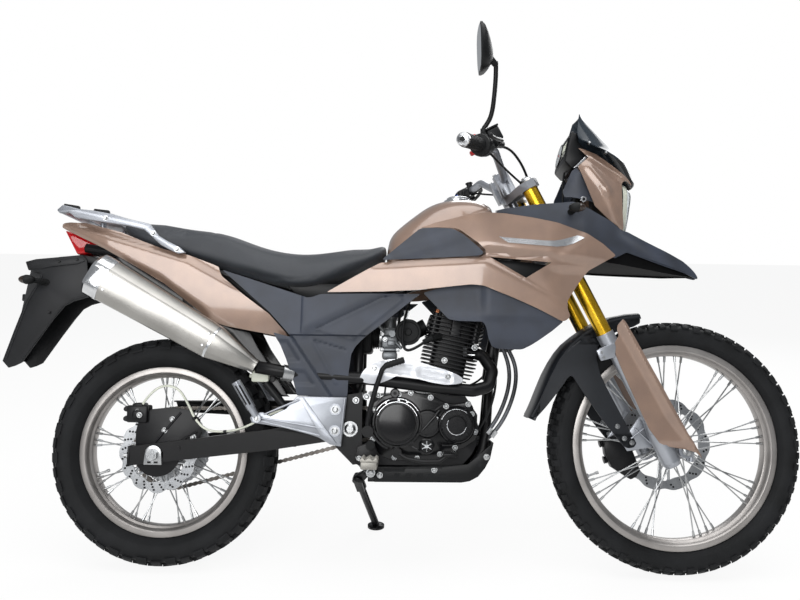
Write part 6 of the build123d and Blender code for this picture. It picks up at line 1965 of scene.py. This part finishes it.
def addTail():
    lens = bmesh.new()
    addPlate(lens, tail["light"], -tail["side"], tail["side"], 5.0)
    placePiece("tailLens", lens, "chassis", "redLens", ("tail_light",), angle=40)
    inner = bmesh.new()
    for z in (872, 884, 896, 908):
        x = -958 - (z - 872) * 0.72
        addBlock(inner, (x + 8, -50, z - 3.4), (x + 26, 50, z + 3.4), 1.5)
    placePiece("tailReflectors", inner, "chassis", "redPlastic")
    # plate carrier: hollow moulded blade with ribs
    fender = bmesh.new()
    outline = [(-1107, 831), (-1078, 839), (-1010, 846), (-948, 853), (-934, 838), (-928, 785), (-922, 735),
        (-941, 729), (-965, 722), (-988, 709), (-1020, 668), (-1098, 550), (-1116, 541), (-1135, 535),
        (-1153, 554), (-1126, 640), (-1100, 718), (-1084, 748), (-1066, 776), (-1061, 800), (-1098, 808)]
    for side in (-1, 1):
        addPlate(fender, outline, side * 57, side * 62, 2.0)
    addPlate(fender, [(-1107, 831), (-1010, 847), (-948, 853), (-950, 849), (-1010, 842), (-1103, 827)], -58,
        58, 0.8)
    addPlate(fender, [(-1153, 554), (-1126, 640), (-1100, 718), (-1084, 748), (-1066, 776), (-1061, 800),
        (-1098, 808), (-1107, 831), (-1102, 832), (-1094, 812), (-1055, 804), (-1060, 774), (-1079, 745),
        (-1095, 716), (-1121, 639), (-1147, 553)], -58, 58, 0.8)
    addPlate(fender, [(-905, 846), (-905, 833), (-934, 832), (-952, 845), (-950, 853)], -58, 58, 1.0)
    for y in (-30, 0, 30):
        addPlate(fender, [(-1103, 826), (-960, 842), (-965, 836), (-1048, 808), (-1056, 770), (-1090, 728),
            (-1142, 566), (-1146, 556)], y - 1.4, y + 1.4)
    placePiece("plateCarrier", fender, "chassis", "satinPlastic", ("tail_fender",), angle=35)
    # raised shoulders and bead along the blade
    beads = bmesh.new()
    addPlates(beads, [(-1100, 826), (-1078, 832), (-1008, 838), (-950, 846), (-938, 836), (-960, 826),
        (-1030, 818), (-1060, 811), (-1094, 811)], 61.5, 65, 1.4)
    for route in ([(-1056, 796), (-1061, 778), (-1092, 720), (-1142, 560)],
            [(-930, 738), (-966, 728), (-996, 706), (-1100, 556)]):
        for y in (-61.5, 61.5):
            addRun(beads, [(x, y, z) for x, z in route], 2.2, 10)
    addBlock(beads, (-1130, -24, 724), (-1082, 24, 744), 3)
    placePiece("carrierBeads", beads, "chassis", "satinPlastic", angle=35)
    trims = bmesh.new()
    for x, z in ((-1010, 832), (-960, 838), (-1030, 690)):
        for s in (-1, 1):
            addBolt(trims, x, z, s * 62, s, 4.0, 4.0)
    placePiece("carrierScrews", trims, "chassis", "engineEnamel", angle=30)
    light = bmesh.new()
    addAcross(light, -928, 866, -40, 40, 8, 16)
    placePiece("numberLamp", light, "chassis", "blackPlastic")


indicatorSpots = [("rear", -1040, 774, 62), ("front", 393, 972, 166)]


def addIndicators():
    shells, lenses = bmesh.new(), bmesh.new()
    for name, x, z, root in indicatorSpots:
        back = 34 if name == "rear" else -6
        for s in (-1, 1):
            start, end = Vector((x, s * (root - 6), z)), Vector((x - back, s * (root + 34), z + 2))
            addBar(shells, start, end, 8.5, 24, 6.5)
            along = (end - start).normalized()
            for reach in (8, 14, 20, 26):
                ring = start + along * reach
                addBar(shells, ring - along * 1.3, ring + along * 1.3, 9.2, 24)
            middle = end + Vector((-4 if name == "rear" else 2, s * 8, 0))
            for bm, size in ((shells, (23, 17, 13)), (lenses, (22, 16, 12))):
                ball = bmesh.ops.create_uvsphere(bm, u_segments=32, v_segments=20, radius=1.0)["verts"]
                bmesh.ops.scale(bm, vec=size, verts=ball)
                bmesh.ops.translate(bm, vec=middle, verts=ball)
                facing = -1 if name == "rear" else 1
                for v in ball:
                    reach = (v.co.x - middle.x) * facing
                    if bm is shells and reach > 3:
                        v.co.x = middle.x + facing * 3
                    if bm is lenses and reach < 3.2:
                        v.co.x = middle.x + facing * 3.2
    placePiece("indicatorShells", shells, "chassis", "softRubber", ("indicators",), angle=40)
    placePiece("indicatorLenses", lenses, "chassis", "smokedLens", angle=40)


def addRack():
    bm = bmesh.new()
    y = 122.0
    top = [(-640, 853), (-657, 868), (-690, 884), (-716, 899), (-741, 931), (-800, 944), (-849, 958),
        (-897, 966), (-932, 969), (-960, 976), (-982, 981), (-998, 966)]
    low = [(-990, 957), (-964, 960), (-946, 945), (-900, 938), (-850, 931), (-800, 924), (-756, 914),
        (-735, 896), (-709, 873), (-688, 862), (-662, 850)]
    addPlates(bm, top + low, y - 9, y + 4, 3.5)
    for s in (-1, 1):
        addBar(bm, (-886, s * 80, 956), (-886, s * 80, 925), 8, 20)
    addPlate(bm, [(-932, 950), (-932, 966.5), (-862, 964.5), (-860, 945)], -y + 6, y - 6, 2.5)
    addPlate(bm, [(-998, 962), (-994, 975), (-980, 980), (-966, 975), (-968, 962), (-984, 957)], -y + 6,
        y - 6, 3.0)
    placePiece("rackCasting", bm, "chassis", "silverCasting", ("grab_rail",), angle=35)
    pads = bmesh.new()
    addPlates(pads, [(-980, 978), (-979, 984), (-938, 978), (-936, 968)], y - 8, y + 2, 1.4)
    addPlates(pads, [(-898, 964), (-896, 971), (-856, 967), (-853, 957)], y - 8, y + 2, 1.4)
    addPlate(pads, [(-924, 965), (-924, 968), (-870, 967), (-870, 963)], -70, 70, 0.8)
    placePiece("rackPads", pads, "chassis", "softRubber", angle=35)
    bolts = bmesh.new()
    for s in (-1, 1):
        for x, z in ((-664, 862), (-730, 905), (-862, 945)):
            addBolt(bolts, x, z, s * (y + 4), s, 5.5, 5)
    placePiece("rackBolts", bolts, "chassis", "zincSteel", angle=30)


def addFootBrackets():
    bm, ribs, bolts, pegs, dark = (bmesh.new() for _ in range(5))
    plate = [(-324, 473), (-193, 472), (-200, 400), (-205, 344), (-234, 349), (-262, 366), (-320, 384),
        (-406, 398), (-440, 402), (-446, 414), (-438, 426), (-412, 430), (-392, 420), (-352, 440)]
    addPlates(bm, plate, 140, 147, 2.0)
    addPlates(ribs, [(-318, 470), (-306, 470), (-232, 372), (-216, 352), (-232, 353), (-262, 374)], 147, 150,
        1.0)
    for s in (-1, 1):
        near, far = s * 140, s * 147
        for x0, z0, x1, z1 in ((-318, 464, -410, 424), (-262, 372, -430, 410), (-250, 390, -428, 416),
                (-198, 468, -208, 352)):
            addBar(ribs, (x0, far, z0), (x1, far, z1), 3.4, 10, 2.2)
        for x, z in ((-222, 440), (-222, 385)):
            addAcross(ribs, x, z, far, s * 151, 15, 28)
            addBolt(bolts, x, z, s * 151, s, 8, 6)
            addAcross(ribs, x, z, near, s * 126.4, 11, 20)
        addAcross(ribs, -426, 414, s * 139, s * 160, 11, 24)
        addBolt(bolts, -426, 414, s * 160, s, 5.5, 4)
        a, b = Vector((-426, s * 154, 416)), Vector((-482, s * 164, 509))
        along = (b - a).normalized()
        addBar(pegs, a, a + along * 30, 8.5, 20, 10)
        addBar(pegs, a + along * 28, b, 12.0, 8, 12.5)
        # two dark bars along each peg: painted shade standing in for its grooves
        for shift in (-4.5, 4.5):
            nudge = Vector((shift, s * 9.2, 0))
            addBar(dark, a + along * 40 + nudge, b - along * 12 + nudge, 3.0, 8)
    placePiece("footBrackets", bm, "chassis", "silverCasting", ("foot_brackets",), angle=35)
    placePiece("footBracketRibs", ribs, "chassis", "silverCasting", angle=40)
    placePiece("footBracketBolts", bolts, "chassis", "zincSteel", angle=30)
    placePiece("pillionPegs", pegs, "chassis", "silverCasting", angle=35, bevel=1.0)
    # the dark bars on the pillion pegs are painted groove shade in soft rubber's colour
    placePiece("pillionPegGrooveShade", dark, "chassis", "softRubber", angle=35)


def addFootControls():
    arms, pegs, rubber, bright = (bmesh.new() for _ in range(4))
    addPlates(arms, [(-170, 300), (-164, 344), (-142, 352), (-116, 346), (-106, 322), (-112, 296),
        (-140, 290)], 126.4, 138, 2.0)
    addBlocks(pegs, (-149, 146, 297), (-107, 236, 316), 4)
    addBlocks(pegs, (-140, 134, 298), (-116, 148, 320), 3)
    for i in range(8):
        y = 156 + i * 10.4
        addPlates(pegs, [(-150, 315), (-150, 322), (-144, 326), (-138, 319), (-128, 326), (-118, 319),
            (-112, 326), (-106, 322), (-106, 315)], y - 2.2, y + 2.2, 0.5)
    for s in (-1, 1):
        addAcross(bright, -127, 283, s * 122, s * 142, 7, 20)
        addBolt(bright, -127, 278, s * 140, s, 9, 7)
        addBolt(bright, -158, 314, s * 138, s, 5, 5)
    placePiece("pegHangers", arms, "chassis", "powderCoat", ("foot_controls",), angle=35)
    placePiece("riderPegs", pegs, "chassis", "pegCasting", angle=35)
    placePiece("pegBolts", bright, "chassis", "zincSteel", angle=30)
    pedals = bmesh.new()
    for route in ([(-60, -128, 330), (-34, -138, 316), (8, -150, 310), (52, -152, 312), (78, -152, 331)],
            [(-20, 120, 312), (4, 132, 309), (40, 144, 312), (76, 145, 320), (92, 145, 334)]):
        addRun(pedals, route, 5.5, 16)
        for spot in route[1:-1]:
            bmesh.ops.create_uvsphere(pedals, u_segments=16, v_segments=10, radius=5.5,
                matrix=Matrix.Translation(spot))
    addBlock(pedals, (60, -188, 327), (96, -143, 335), 2)
    for i in range(6):
        addBlock(pedals, (62 + i * 6, -186, 334), (64.5 + i * 6, -145, 338.5), 0.5)
    addAcross(pedals, -60, 330, -136, -114.6, 13, 28)
    addAcross(pedals, -20, 312, 100.3, 128, 11, 24)
    placePiece("pedalLevers", pedals, "chassis", "powderCoat", angle=40)
    addAcross(rubber, 92, 334, 140, 184, 10, 24)
    for i in range(5):
        addAcross(rubber, 92, 334, 146 + i * 8, 149 + i * 8, 11.2, 24)
    # kick lever with its folding foot and rubber
    kick = [(-136, -152, 385), (-137, -153, 410), (-132, -157, 440), (-116, -163, 500), (-101, -168, 545),
        (-92, -170, 556), (-44, -176, 572)]
    lever = bmesh.new()
    addRun(lever, kick[:-1], 6.5, 18)
    for spot in kick[1:-1]:
        bmesh.ops.create_uvsphere(lever, u_segments=18, v_segments=10, radius=6.5,
            matrix=Matrix.Translation(spot))
    addAcross(lever, -136, 385, -160, -114.6, 15, 32)
    addBlock(lever, (-152, -158, 376), (-130, -144, 394), 3)
    placePiece("kickLever", lever, "chassis", "powderCoat", angle=40)
    addBar(rubber, kick[-2], kick[-1], 8.0, 24)
    for i in range(6):
        spot = Vector(kick[-2]).lerp(Vector(kick[-1]), 0.15 + i * 0.15)
        addBar(rubber, spot - Vector((1.4, 0, 0.5)), spot + Vector((1.4, 0, 0.5)), 9.0, 24)
    addAcross(rubber, -129, 349, -128, -148, 12, 28)
    placePiece("leverRubbers", rubber, "chassis", "softRubber", angle=40)


def addInnerTail():
    # gloss black shell between the silencer and the tail panel
    outline = [(-838, 846), (-822, 842), (-719, 786), (-640, 734), (-575, 688), (-520, 664), (-470, 655),
        (-440, 600), (-398, 540), (-360, 478), (-350, 470), (-392, 470), (-440, 520), (-479, 585),
        (-520, 622), (-569, 655), (-640, 700), (-696, 725), (-784, 790), (-836, 828)]
    bm = bmesh.new()
    addPlates(bm, outline, 99, 103, 1.5)
    placePiece("innerTail", bm, "chassis", "coverEnamel", angle=35)
    milky = bmesh.new()
    addBlock(milky, (-450, -128, 508), (-404, -104, 548), 5)
    addBar(milky, (-440, -116, 548), (-440, -116, 556), 13, 24)
    addBar(milky, (-456, -116, 524), (-450, -116, 524), 5, 14)
    placePiece("fluidReservoir", milky, "chassis", "milkyPlastic", angle=40)
    cap = bmesh.new()
    addBar(cap, (-440, -116, 555), (-440, -116, 562), 15, 24, 13)
    addAcross(cap, -398, 516, -103, -112, 8, 20)
    placePiece("reservoirCap", cap, "chassis", "blackPlastic", angle=40)


def atAxle(*points):
    return [(bike["rearX"] + dx, bike["rearRadius"] + dz) for dx, dz in points]


def addRearBrake():
    bm = bmesh.new()
    disc = [around(0, 0, 62, math.radians(a)) for a in range(200, 372, 12)]
    addPlate(bm, atAxle(*disc, (104, 22), (118, 56), (112, 92), (84, 116), (34, 124), (-20, 118), (-52, 96),
        (-60, 60)), -85.7, -80, 1.2)
    for route in ([(-6, 30), (60, 110)], [(30, 16), (106, 60)]):
        (x0, z0), (x1, z1) = atAxle(*route)
        addBar(bm, (x0, -85.6, z0), (x1, -85.6, z1), 3.4, 10)
    placePiece("brakeBracket", bm, "chassis", "engineEnamel", ("rear_brake",), angle=35)
    body = bmesh.new()
    for low, high, soft in (((-84, -98, 82), (-28, -80, 128), 5), ((-78, -80, 88), (-34, -76, 124), 3),
            ((-84, -64, 82), (-28, -50, 128), 5), ((-70, -98, 122), (-40, -50, 134), 5),
            ((-66, -104, 92), (-44, -98, 114), 4)):
        (x0, z0), (x1, z1) = atAxle((low[0], low[2]), (high[0], high[2]))
        addBlock(body, (x0, low[1], z0), (x1, high[1], z1), soft)
    for dx, dz in ((-86, 118), (-86, 92)):
        (x, z), = atAxle((dx, dz))
        addAcross(body, x, z, -96, -58, 6.5, 20)
        for i in range(4):
            addAcross(body, x, z, -88 + i * 5, -86 + i * 5, 8, 20)
    placePiece("rearCaliper", body, "chassis", "engineEnamel", angle=35)
    bolts = bmesh.new()
    for dx, dz, out in ((-46, 103, -104), (18, 62, -86), (38, 92, -86), (96, 46, -86)):
        (x, z), = atAxle((dx, dz))
        addBolt(bolts, x, z, out, -1, 5.5, 5)
    placePiece("rearBrakeBolts", bolts, "chassis", "zincSteel", angle=30)


def addRearAxle():
    bm = bmesh.new()
    x, z = bike["rearX"], bike["rearRadius"]
    addAcross(bm, x, z, -134, 134, 8.5, 32)
    arch = [around(x, z + 3, 22, math.radians(a)) for a in range(0, 181, 15)]
    addPlates(bm, arch + [(x - 24, z - 26), (x + 24, z - 26)], 114.3, 119, 1.2)
    for s in (-1, 1):
        addAcross(bm, x, z, s * 119, s * 121, 17, 32)
        addAcross(bm, x, z, s * 121, s * 132, 14.5, 6)
        addAcross(bm, x, z - 20, s * 119, s * 120.4, 4, 12)
        addBar(bm, (x - 66, s * 100, z - 4), (x - 84, s * 100, z - 4), 4.5, 14)
        addBar(bm, (x - 70, s * 100, z - 4), (x - 76, s * 100, z - 4), 8.5, 6)
    addAcross(bm, x, z, -85.7, -72.5, 14, 32)
    addAcross(bm, x, z, 72.5, 85.7, 14, 32)
    placePiece("rearAxleSet", bm, "chassis", "zincSteel", ("rear_axle",), angle=30)
    # thin dark strips on the axle plates: painted shade for the adjuster slots
    slots = bmesh.new()
    addBlocks(slots, (x - 14, 119, z - 22), (x + 14, 119.8, z - 17), 0.3)
    placePiece("adjusterSlotShade", slots, "chassis", "powderCoat", angle=30)
    trims = bmesh.new()
    addBlocks(trims, (-775, 84, 280), (-768, 116, 334), 2)
    for s in (-1, 1):
        addAcross(trims, -640, 330, s * 114, s * 116, 6, 20)
        addAcross(trims, -184, 389, s * 114.3, s * 117.5, 24, 40)
    placePiece("swingarmEnds", trims, "chassis", "powderCoat", angle=35)
    bright = bmesh.new()
    for s in (-1, 1):
        addBolt(bright, -184, 389, s * 126, s, 15, 9)
        for bx, bz in ((-142, 474), (-170, 464), (-160, 314), (-216, 452)):
            addBolt(bright, bx, bz, s * 126, s, 6.5, 6)
    placePiece("pivotBolts", bright, "chassis", "zincSteel", angle=30)


addInnerTail()
addRearBrake()
addRearAxle()
addSilencer()
addTail()
addIndicators()
addRack()
addFootBrackets()
addFootControls()
print("rear details built")


# skid plate, chain and shock absorber

skid = {
    "floor": [(-136, 262), (-136, 250), (-60, 250), (112, 252), (134, 256), (156, 268), (174, 290),
        (188, 316), (196, 350), (197, 358), (191, 359), (184, 330), (172, 303), (150, 276), (128, 264),
        (100, 261)],
    "wall": [(-118, 289), (-118, 250), (112, 252), (134, 256), (156, 268), (174, 290), (188, 316), (197, 358),
        (180, 344), (156, 322), (128, 300), (60, 293)],
    "half": 105.3,
}


def addSkidPlate():
    bm = bmesh.new()
    half = skid["half"]
    addPlate(bm, skid["floor"], -half, half, 1.5)
    addPlates(bm, skid["wall"], half, half + 4, 1.5)
    for s in (-1, 1):
        addBar(bm, (-116, s * (half + 3), 287), (60, s * (half + 3), 291), 3.0, 10)
    placePiece("skidPlate", bm, "chassis", "blackPlastic", ("skid_plate",), angle=35)
    # thin dark plates on the walls: painted shade for a row of slots and a round hole at the front
    dark = bmesh.new()
    for x in (-60, -30, 0, 30, 60, 90):
        addPlates(dark, [(x - 9, 264), (x + 7, 264), (x + 11, 274), (x - 5, 274)], half + 4, half + 4.5)
    addPlates(dark, [(-96, 278), (-40, 278), (-36, 286), (-92, 286)], half + 4, half + 4.5)
    for s in (-1, 1):
        addAcross(dark, 160, 300, s * (half + 4), s * (half + 4.6), 7, 24)
    placePiece("skidSlotShade", dark, "chassis", "tyreRubber", angle=30)
    bolts = bmesh.new()
    for s in (-1, 1):
        face = s * (half + 4)
        for x, z in ((-104, 268), (178, 320), (40, 284)):
            addBolt(bolts, x, z, face, s, 6.0, 5)
    for z in (494, 456):
        addBolt(bolts, 192, z, -22, -1, 6.5, 6)
        addBolt(bolts, 192, z, 22, 1, 6.5, 6)
    placePiece("skidBolts", bolts, "chassis", "zincSteel", angle=30)


drive = {
    "pitch": 15.875, "rearTeeth": 45, "frontTeeth": 15, "y": 69.0,
    "front": (-105, 398), "rear": (bike["rearX"], bike["rearRadius"]),
    # half a link plate from its pin: distance along, half height
    "plate": [(-4.5, 2.6), (-2, 5.6), (2.5, 5.4), (5.4, 4.0), (8, 3.7)],
}


def chainPath():
    # points at one pitch round both sprockets
    radii = [drive["pitch"] / 2 / math.sin(math.pi / drive[n]) for n in ("rearTeeth", "frontTeeth")]
    (rx, rz), (fx, fz) = drive["rear"], drive["front"]
    base = math.atan2(fz - rz, fx - rx)
    spread = math.acos((radii[0] - radii[1]) / math.hypot(fx - rx, fz - rz))
    dense = []
    for (cx, cz), radius, start, stop in ((drive["front"], radii[1], base + spread, base - spread),
            (drive["rear"], radii[0], base - spread, base + spread - math.tau)):
        for i in range(61):
            px, pz = around(cx, cz, radius, start + (stop - start) * i / 60)
            dense.append(Vector((px, 0, pz)))
    dense.append(dense[0])
    lengths = [(b - a).length for a, b in zip(dense, dense[1:])]
    count = 2 * round(sum(lengths) / drive["pitch"] / 2)
    spots, run, i = [], 0.0, 0
    for n in range(count):
        target = sum(lengths) * n / count
        while run + lengths[i] < target:
            run += lengths[i]
            i += 1
        spots.append(dense[i].lerp(dense[i + 1], (target - run) / lengths[i]))
    return spots


def addChain():
    bm = bmesh.new()
    spots = chainPath()
    y = drive["y"]
    for n, a in enumerate(spots):
        b = spots[(n + 1) % len(spots)]
        along = (b - a).normalized()
        up = Vector((-along.z, 0, along.x))
        wide = 5.6 if n % 2 else 3.6
        plate = drive["plate"]
        outline = [a + along * t + up * h for t, h in plate]
        outline += [b - along * t + up * h for t, h in plate[2::-1]]
        outline += [b - along * t - up * h for t, h in plate[:4]]
        outline += [a + along * t - up * h for t, h in (plate[4], *plate[2::-1])]
        for s in (-1, 1):
            addPlate(bm, [(p.x, p.z) for p in outline], *sorted((y + s * wide, y + s * (wide + 1.6))), 0.0)
        addAcross(bm, a.x, a.z, y - 7.4, y + 7.4, 2.6, 8)
        addAcross(bm, a.x, a.z, y - 3.4, y + 3.4, 5.0, 10)
    placePiece("driveChain", bm, "chassis", "chainSteel", ("chain",), angle=30)


def addCoil(name, base, top, radius, wire, turns, finishName):
    # round wire wound between two points
    along = (top - base).normalized()
    side = along.cross(Vector((0, 1, 0))).normalized()
    bm = bmesh.new()
    angles = [math.tau * i / 12 for i in range(12)]
    ring = [bm.verts.new(base + side * (radius + wire * math.cos(t)) + along * wire * math.sin(t))
        for t in angles]
    edges = [bm.edges.new((ring[i], ring[(i + 1) % 12])) for i in range(12)]
    steps = int(turns * 28)
    bmesh.ops.spin(bm, geom=ring + edges, cent=base, axis=along, dvec=(top - base) / (turns * 28),
        angle=math.tau * turns, steps=steps)
    bmesh.ops.holes_fill(bm, edges=[e for e in bm.edges if e.is_boundary], sides=0)
    placePiece(name, bm, "chassis", finishName, angle=50)


def addShock():
    low, high = Vector((-320, 0, 392)), Vector((-200, 0, 742))
    along = (high - low).normalized()
    bm = bmesh.new()
    for start, stop, radius in ((0, 30, 13), (30, 52, 17), (52, 58, 31), (58, 150, 20), (150, 250, 9),
            (250, 257, 31), (257, 276, 20), (276, (high - low).length - 14, 12)):
        addBar(bm, low + along * start, low + along * stop, radius, 36)
    addAcross(bm, low.x, low.z, -21.7, 21.7, 14.5, 28)
    addAcross(bm, high.x, high.z, -16, 16, 17, 28)
    placePiece("shockBody", bm, "chassis", "powderCoat", ("shock_absorber",), angle=35)
    addCoil("shockSpring", low + along * 62, low + along * 246, 31, 5.2, 7.5, "springPaint")


def addGuardBolt():
    bolt = bmesh.new()
    addBolt(bolt, -421, 398, 108, 1, 5.5, 5)
    placePiece("chainGuardBolt", bolt, "chassis", "zincSteel", angle=30)


addSkidPlate()
addChain()
addShock()
addGuardBolt()
print("running gear details built")


# hoses and cables

hoses = {
    "frontBrakeHose": [(176, -216, 1128), (205, -180, 1146), (250, -110, 1150), (300, -30, 1108),
        (330, 40, 1030), (352, 72, 900), (398, 75, 800), (447, 75.5, 700), (498, 75.5, 600), (547, 77, 500),
        (572, 82, 430), (582, 88, 392), (583, 89, 362)],
    "throttle": [(166, -236, 1110), (196, -205, 1092), (240, -140, 1075), (300, -72, 1050), (312, -46, 985),
        (262, -40, 900), (196, -34, 852), (80, -30, 806), (-40, -20, 768), (-82, -4, 740), (-84, -2, 708)],
    "clutch": [(160, 232, 1118), (200, 205, 1106), (262, 130, 1086), (316, 62, 1040), (306, 44, 960),
        (262, 42, 860), (228, 44, 740), (222, 52, 620), (200, 70, 540), (150, 96, 500), (86, 108, 486)],
    "speedo": [(676, -64, 352), (650, -76, 400), (600, -77, 490), (548, -77, 590), (500, -74, 680),
        (450, -66, 780), (410, -50, 900), (400, -30, 1010), (404, -16, 1100), (410, -10, 1120)],
    "sparkLead": [(10, -104, 622), (-14, -106, 604), (-44, -104, 596), (-52, -100, 636), (-44, -92, 690),
        (-30, -60, 742)],
    "rearBrakeHose": [(-756, -92, 428), (-738, -94, 462), (-698, -96, 496), (-652, -97, 490),
        (-622, -99, 446), (-604, -101, 408), (-572, -101, 376), (-520, -101, 373), (-470, -102, 384),
        (-410, -108, 418), (-366, -116, 436), (-340, -118, 440)],
    "oilLineOuter": [(226, -40, 640), (246, -44, 606), (266, -46, 558), (264, -46, 500), (240, -46, 430),
        (204, -46, 376), (168, -44, 350), (140, -36, 340)],
    "oilLineInner": [(214, -52, 640), (230, -56, 606), (246, -58, 556), (244, -58, 500), (222, -58, 436),
        (190, -56, 384), (160, -52, 360), (136, -44, 350)],
    "breatherHose": [(198, -58, 636), (206, -62, 600), (208, -64, 548), (206, -66, 494), (190, -70, 440),
        (168, -76, 400), (150, -80, 372)],
    "fuelHose": [(-30, -30, 800), (-44, -40, 760), (-56, -42, 710), (-62, -40, 668), (-66, -38, 646)],
    "overflowHose": [(-84, -30, 574), (-84, -36, 556), (-90, -40, 540), (-96, -60, 480), (-100, -90, 440)],
}


def addHoses():
    # cables between the frame and the bars are drawn on their lines, on no body, with their placement baked
    # into the mesh
    for name, fixedEnd, turningEnd in (("throttle", (262, -40, 900), (240, -140, 1075)),
            ("clutch", (262, 42, 860), (262, 130, 1086)), ("speedo", (404, -16, 1080), (480, -70, 720))):
        cable = addHose(name + "Cable", hoses[name], 3.0, None, "softRubber")
        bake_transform(cable)
    for name, radius, body, finishName in (("frontBrakeHose", 3.6, "steering", "softRubber"),
            ("sparkLead", 3.8, "chassis", "softRubber"), ("rearBrakeHose", 3.2, "chassis", "milkyPlastic"),
            ("breatherHose", 3.4, "chassis", "softRubber"), ("oilLineOuter", 5.6, "chassis", "braidedCover"),
            ("oilLineInner", 5.6, "chassis", "braidedCover"), ("fuelHose", 4.0, "chassis", "softRubber"),
            ("overflowHose", 2.6, "chassis", "softRubber")):
        addHose(name, hoses[name], radius, body, finishName)
    bright = bmesh.new()
    addBar(bright, (176, -218, 1126), (170, -226, 1130), 7.5, 20)
    addBar(bright, (583, 81, 352), (583, 96, 352), 7.5, 20)
    placePiece("banjoBolts", bright, "steering", "zincSteel", angle=30)
    rearBolt = bmesh.new()
    addBar(rearBolt, (-760, -98, 424), (-760, -88, 424), 7, 20)
    placePiece("rearBanjoBolt", rearBolt, "chassis", "zincSteel", angle=30)
    clips = bmesh.new()
    for spot in ((204, -46, 376), (190, -56, 384)):
        addBar(clips, Vector(spot) - Vector((6, 0, 8)), Vector(spot) + Vector((6, 0, 8)), 7.6, 6)
    placePiece("oilLineNuts", clips, "chassis", "zincSteel", angle=30)
    ties = bmesh.new()
    for spot, way in (((-520, -101, 373), (1, 0, 0.1)), ((-604, -101, 408), (0.4, 0, -1)),
            ((-410, -108, 418), (1, 0, 0.5))):
        way = Vector(way).normalized() * 4
        addBar(ties, Vector(spot) - way, Vector(spot) + way, 5.6, 16)
    addBar(ties, (-412, -116, 506), (-360, -118, 444), 11.5, 28, 10)
    addBar(ties, (-360, -118, 444), (-352, -118, 434), 7, 20)
    placePiece("hoseGuides", ties, "chassis", "blackPlastic", angle=35)


addHoses()
print("hoses and cables built")


# CAD nodes that keep their own shape: node, body, finish, slot

dressing = [
    ("handlebar", "steering", "silverCasting", "silver_paint"),
    ("swingarm", "chassis", "powderCoat", "frame_black"),
    ("chain_guard", "chassis", "blackPlastic", "black_plastic"),
    ("frame", "chassis", "powderCoat", "frame_black"),
    ("engine_case", "chassis", "engineEnamel", "engine_black"),
    ("exhaust_pipe", "chassis", "powderCoat", "pipe_black"),
    ("inner_mudguard", "chassis", "blackPlastic", "black_plastic"),
    ("triple_clamps", "steering", "silverCasting", "silver_paint"),
    ("front_axle", "steering", "zincSteel", "zinc_steel"),
    ("rear_sprocket", "rear_wheel", "discSteel", "zinc_steel"),
    ("side_stand", "side_stand", "powderCoat", "frame_black"),
]
for row in dressing:
    dressNode(*row)
print("CAD nodes dressed,", len(dressing))


# floor, lamps and world

studio = {"floorSize": 30.0, "topPower": 105.0, "frontPower": 125.0, "backPower": 70.0, "skyStrength": 0.36}


def addFloor():
    bm = bmesh.new()
    bmesh.ops.create_grid(bm, x_segments=4, y_segments=4, size=studio["floorSize"] / 2)
    mesh = bpy.data.meshes.new("studioFloor")
    bm.to_mesh(mesh)
    bm.free()
    floor = newObject("studioFloor", mesh)
    material = bpy.data.materials.new("palePaperFloor")     # matt white paper sweep
    material.use_nodes = True
    nodes = material.node_tree.nodes
    nodes.remove(nodes["Principled BSDF"])
    path = addNode(material, "ShaderNodeLightPath")
    seen = addNode(material, "ShaderNodeMath", {"operation": "MAXIMUM"},
        {0: path.outputs["Is Camera Ray"], 1: path.outputs["Is Glossy Ray"]})
    seenThrough = addNode(material, "ShaderNodeMath", {"operation": "MAXIMUM"},
        {0: seen.outputs[0], 1: path.outputs["Is Transmission Ray"]})
    share = addNode(material, "ShaderNodeMath", {"operation": "MULTIPLY", 1: 0.9},
        {0: seenThrough.outputs[0]})
    paper = addNode(material, "ShaderNodeBsdfDiffuse", {"Color": toLinear("#f2f2f0")})
    glow = addNode(material, "ShaderNodeEmission", {"Color": (1, 1, 1, 1), "Strength": 1.0})
    mixed = addNode(material, "ShaderNodeMixShader", {},
        {0: share.outputs[0], 1: paper.outputs[0], 2: glow.outputs[0]})
    material.node_tree.links.new(mixed.outputs[0], nodes["Material Output"].inputs["Surface"])
    mesh.materials.append(material)


def addLamp(name, place, target, size, power):
    data = bpy.data.lights.new(name, "AREA")
    data.shape, data.size, data.size_y, data.energy = "RECTANGLE", size[0], size[1], power
    lamp = newObject(name, data)
    lamp.location = place
    lamp.rotation_mode = "QUATERNION"
    lamp.rotation_quaternion = (Vector(target) - Vector(place)).to_track_quat("-Z", "Y")


def addWorld():
    world = bpy.data.worlds.new("studioWorld")
    bpy.context.scene.world = world
    world.use_nodes = True
    nodes = world.node_tree.nodes
    sky = nodes["Background"]
    sky.inputs["Color"].default_value = (0.93, 0.96, 1.0, 1)
    sky.inputs["Strength"].default_value = studio["skyStrength"]
    path = addNode(world, "ShaderNodeLightPath")
    either = addNode(world, "ShaderNodeMath", {"operation": "MAXIMUM"},
        {0: path.outputs["Is Camera Ray"], 1: path.outputs["Is Transmission Ray"]})
    backdrop = addNode(world, "ShaderNodeBackground", {"Color": (1, 1, 1, 1)})
    mixed = addNode(world, "ShaderNodeMixShader", {},
        {0: either.outputs[0], 1: sky.outputs[0], 2: backdrop.outputs[0]})
    world.node_tree.links.new(mixed.outputs[0], nodes["World Output"].inputs["Surface"])


addFloor()
addLamp("skyPanel", (0.2, -0.6, 3.6), (0, 0, 0.5), (4.5, 2.6), studio["topPower"])
addLamp("cameraSidePanel", (-1.2, -4.0, 2.2), (0, 0, 0.6), (3.2, 2.2), studio["frontPower"])
addLamp("farSidePanel", (1.6, 3.4, 2.6), (0, 0, 0.6), (3.0, 2.0), studio["backPower"])
addWorld()
bpy.context.scene.view_settings.view_transform = "Standard"
print("studio set")
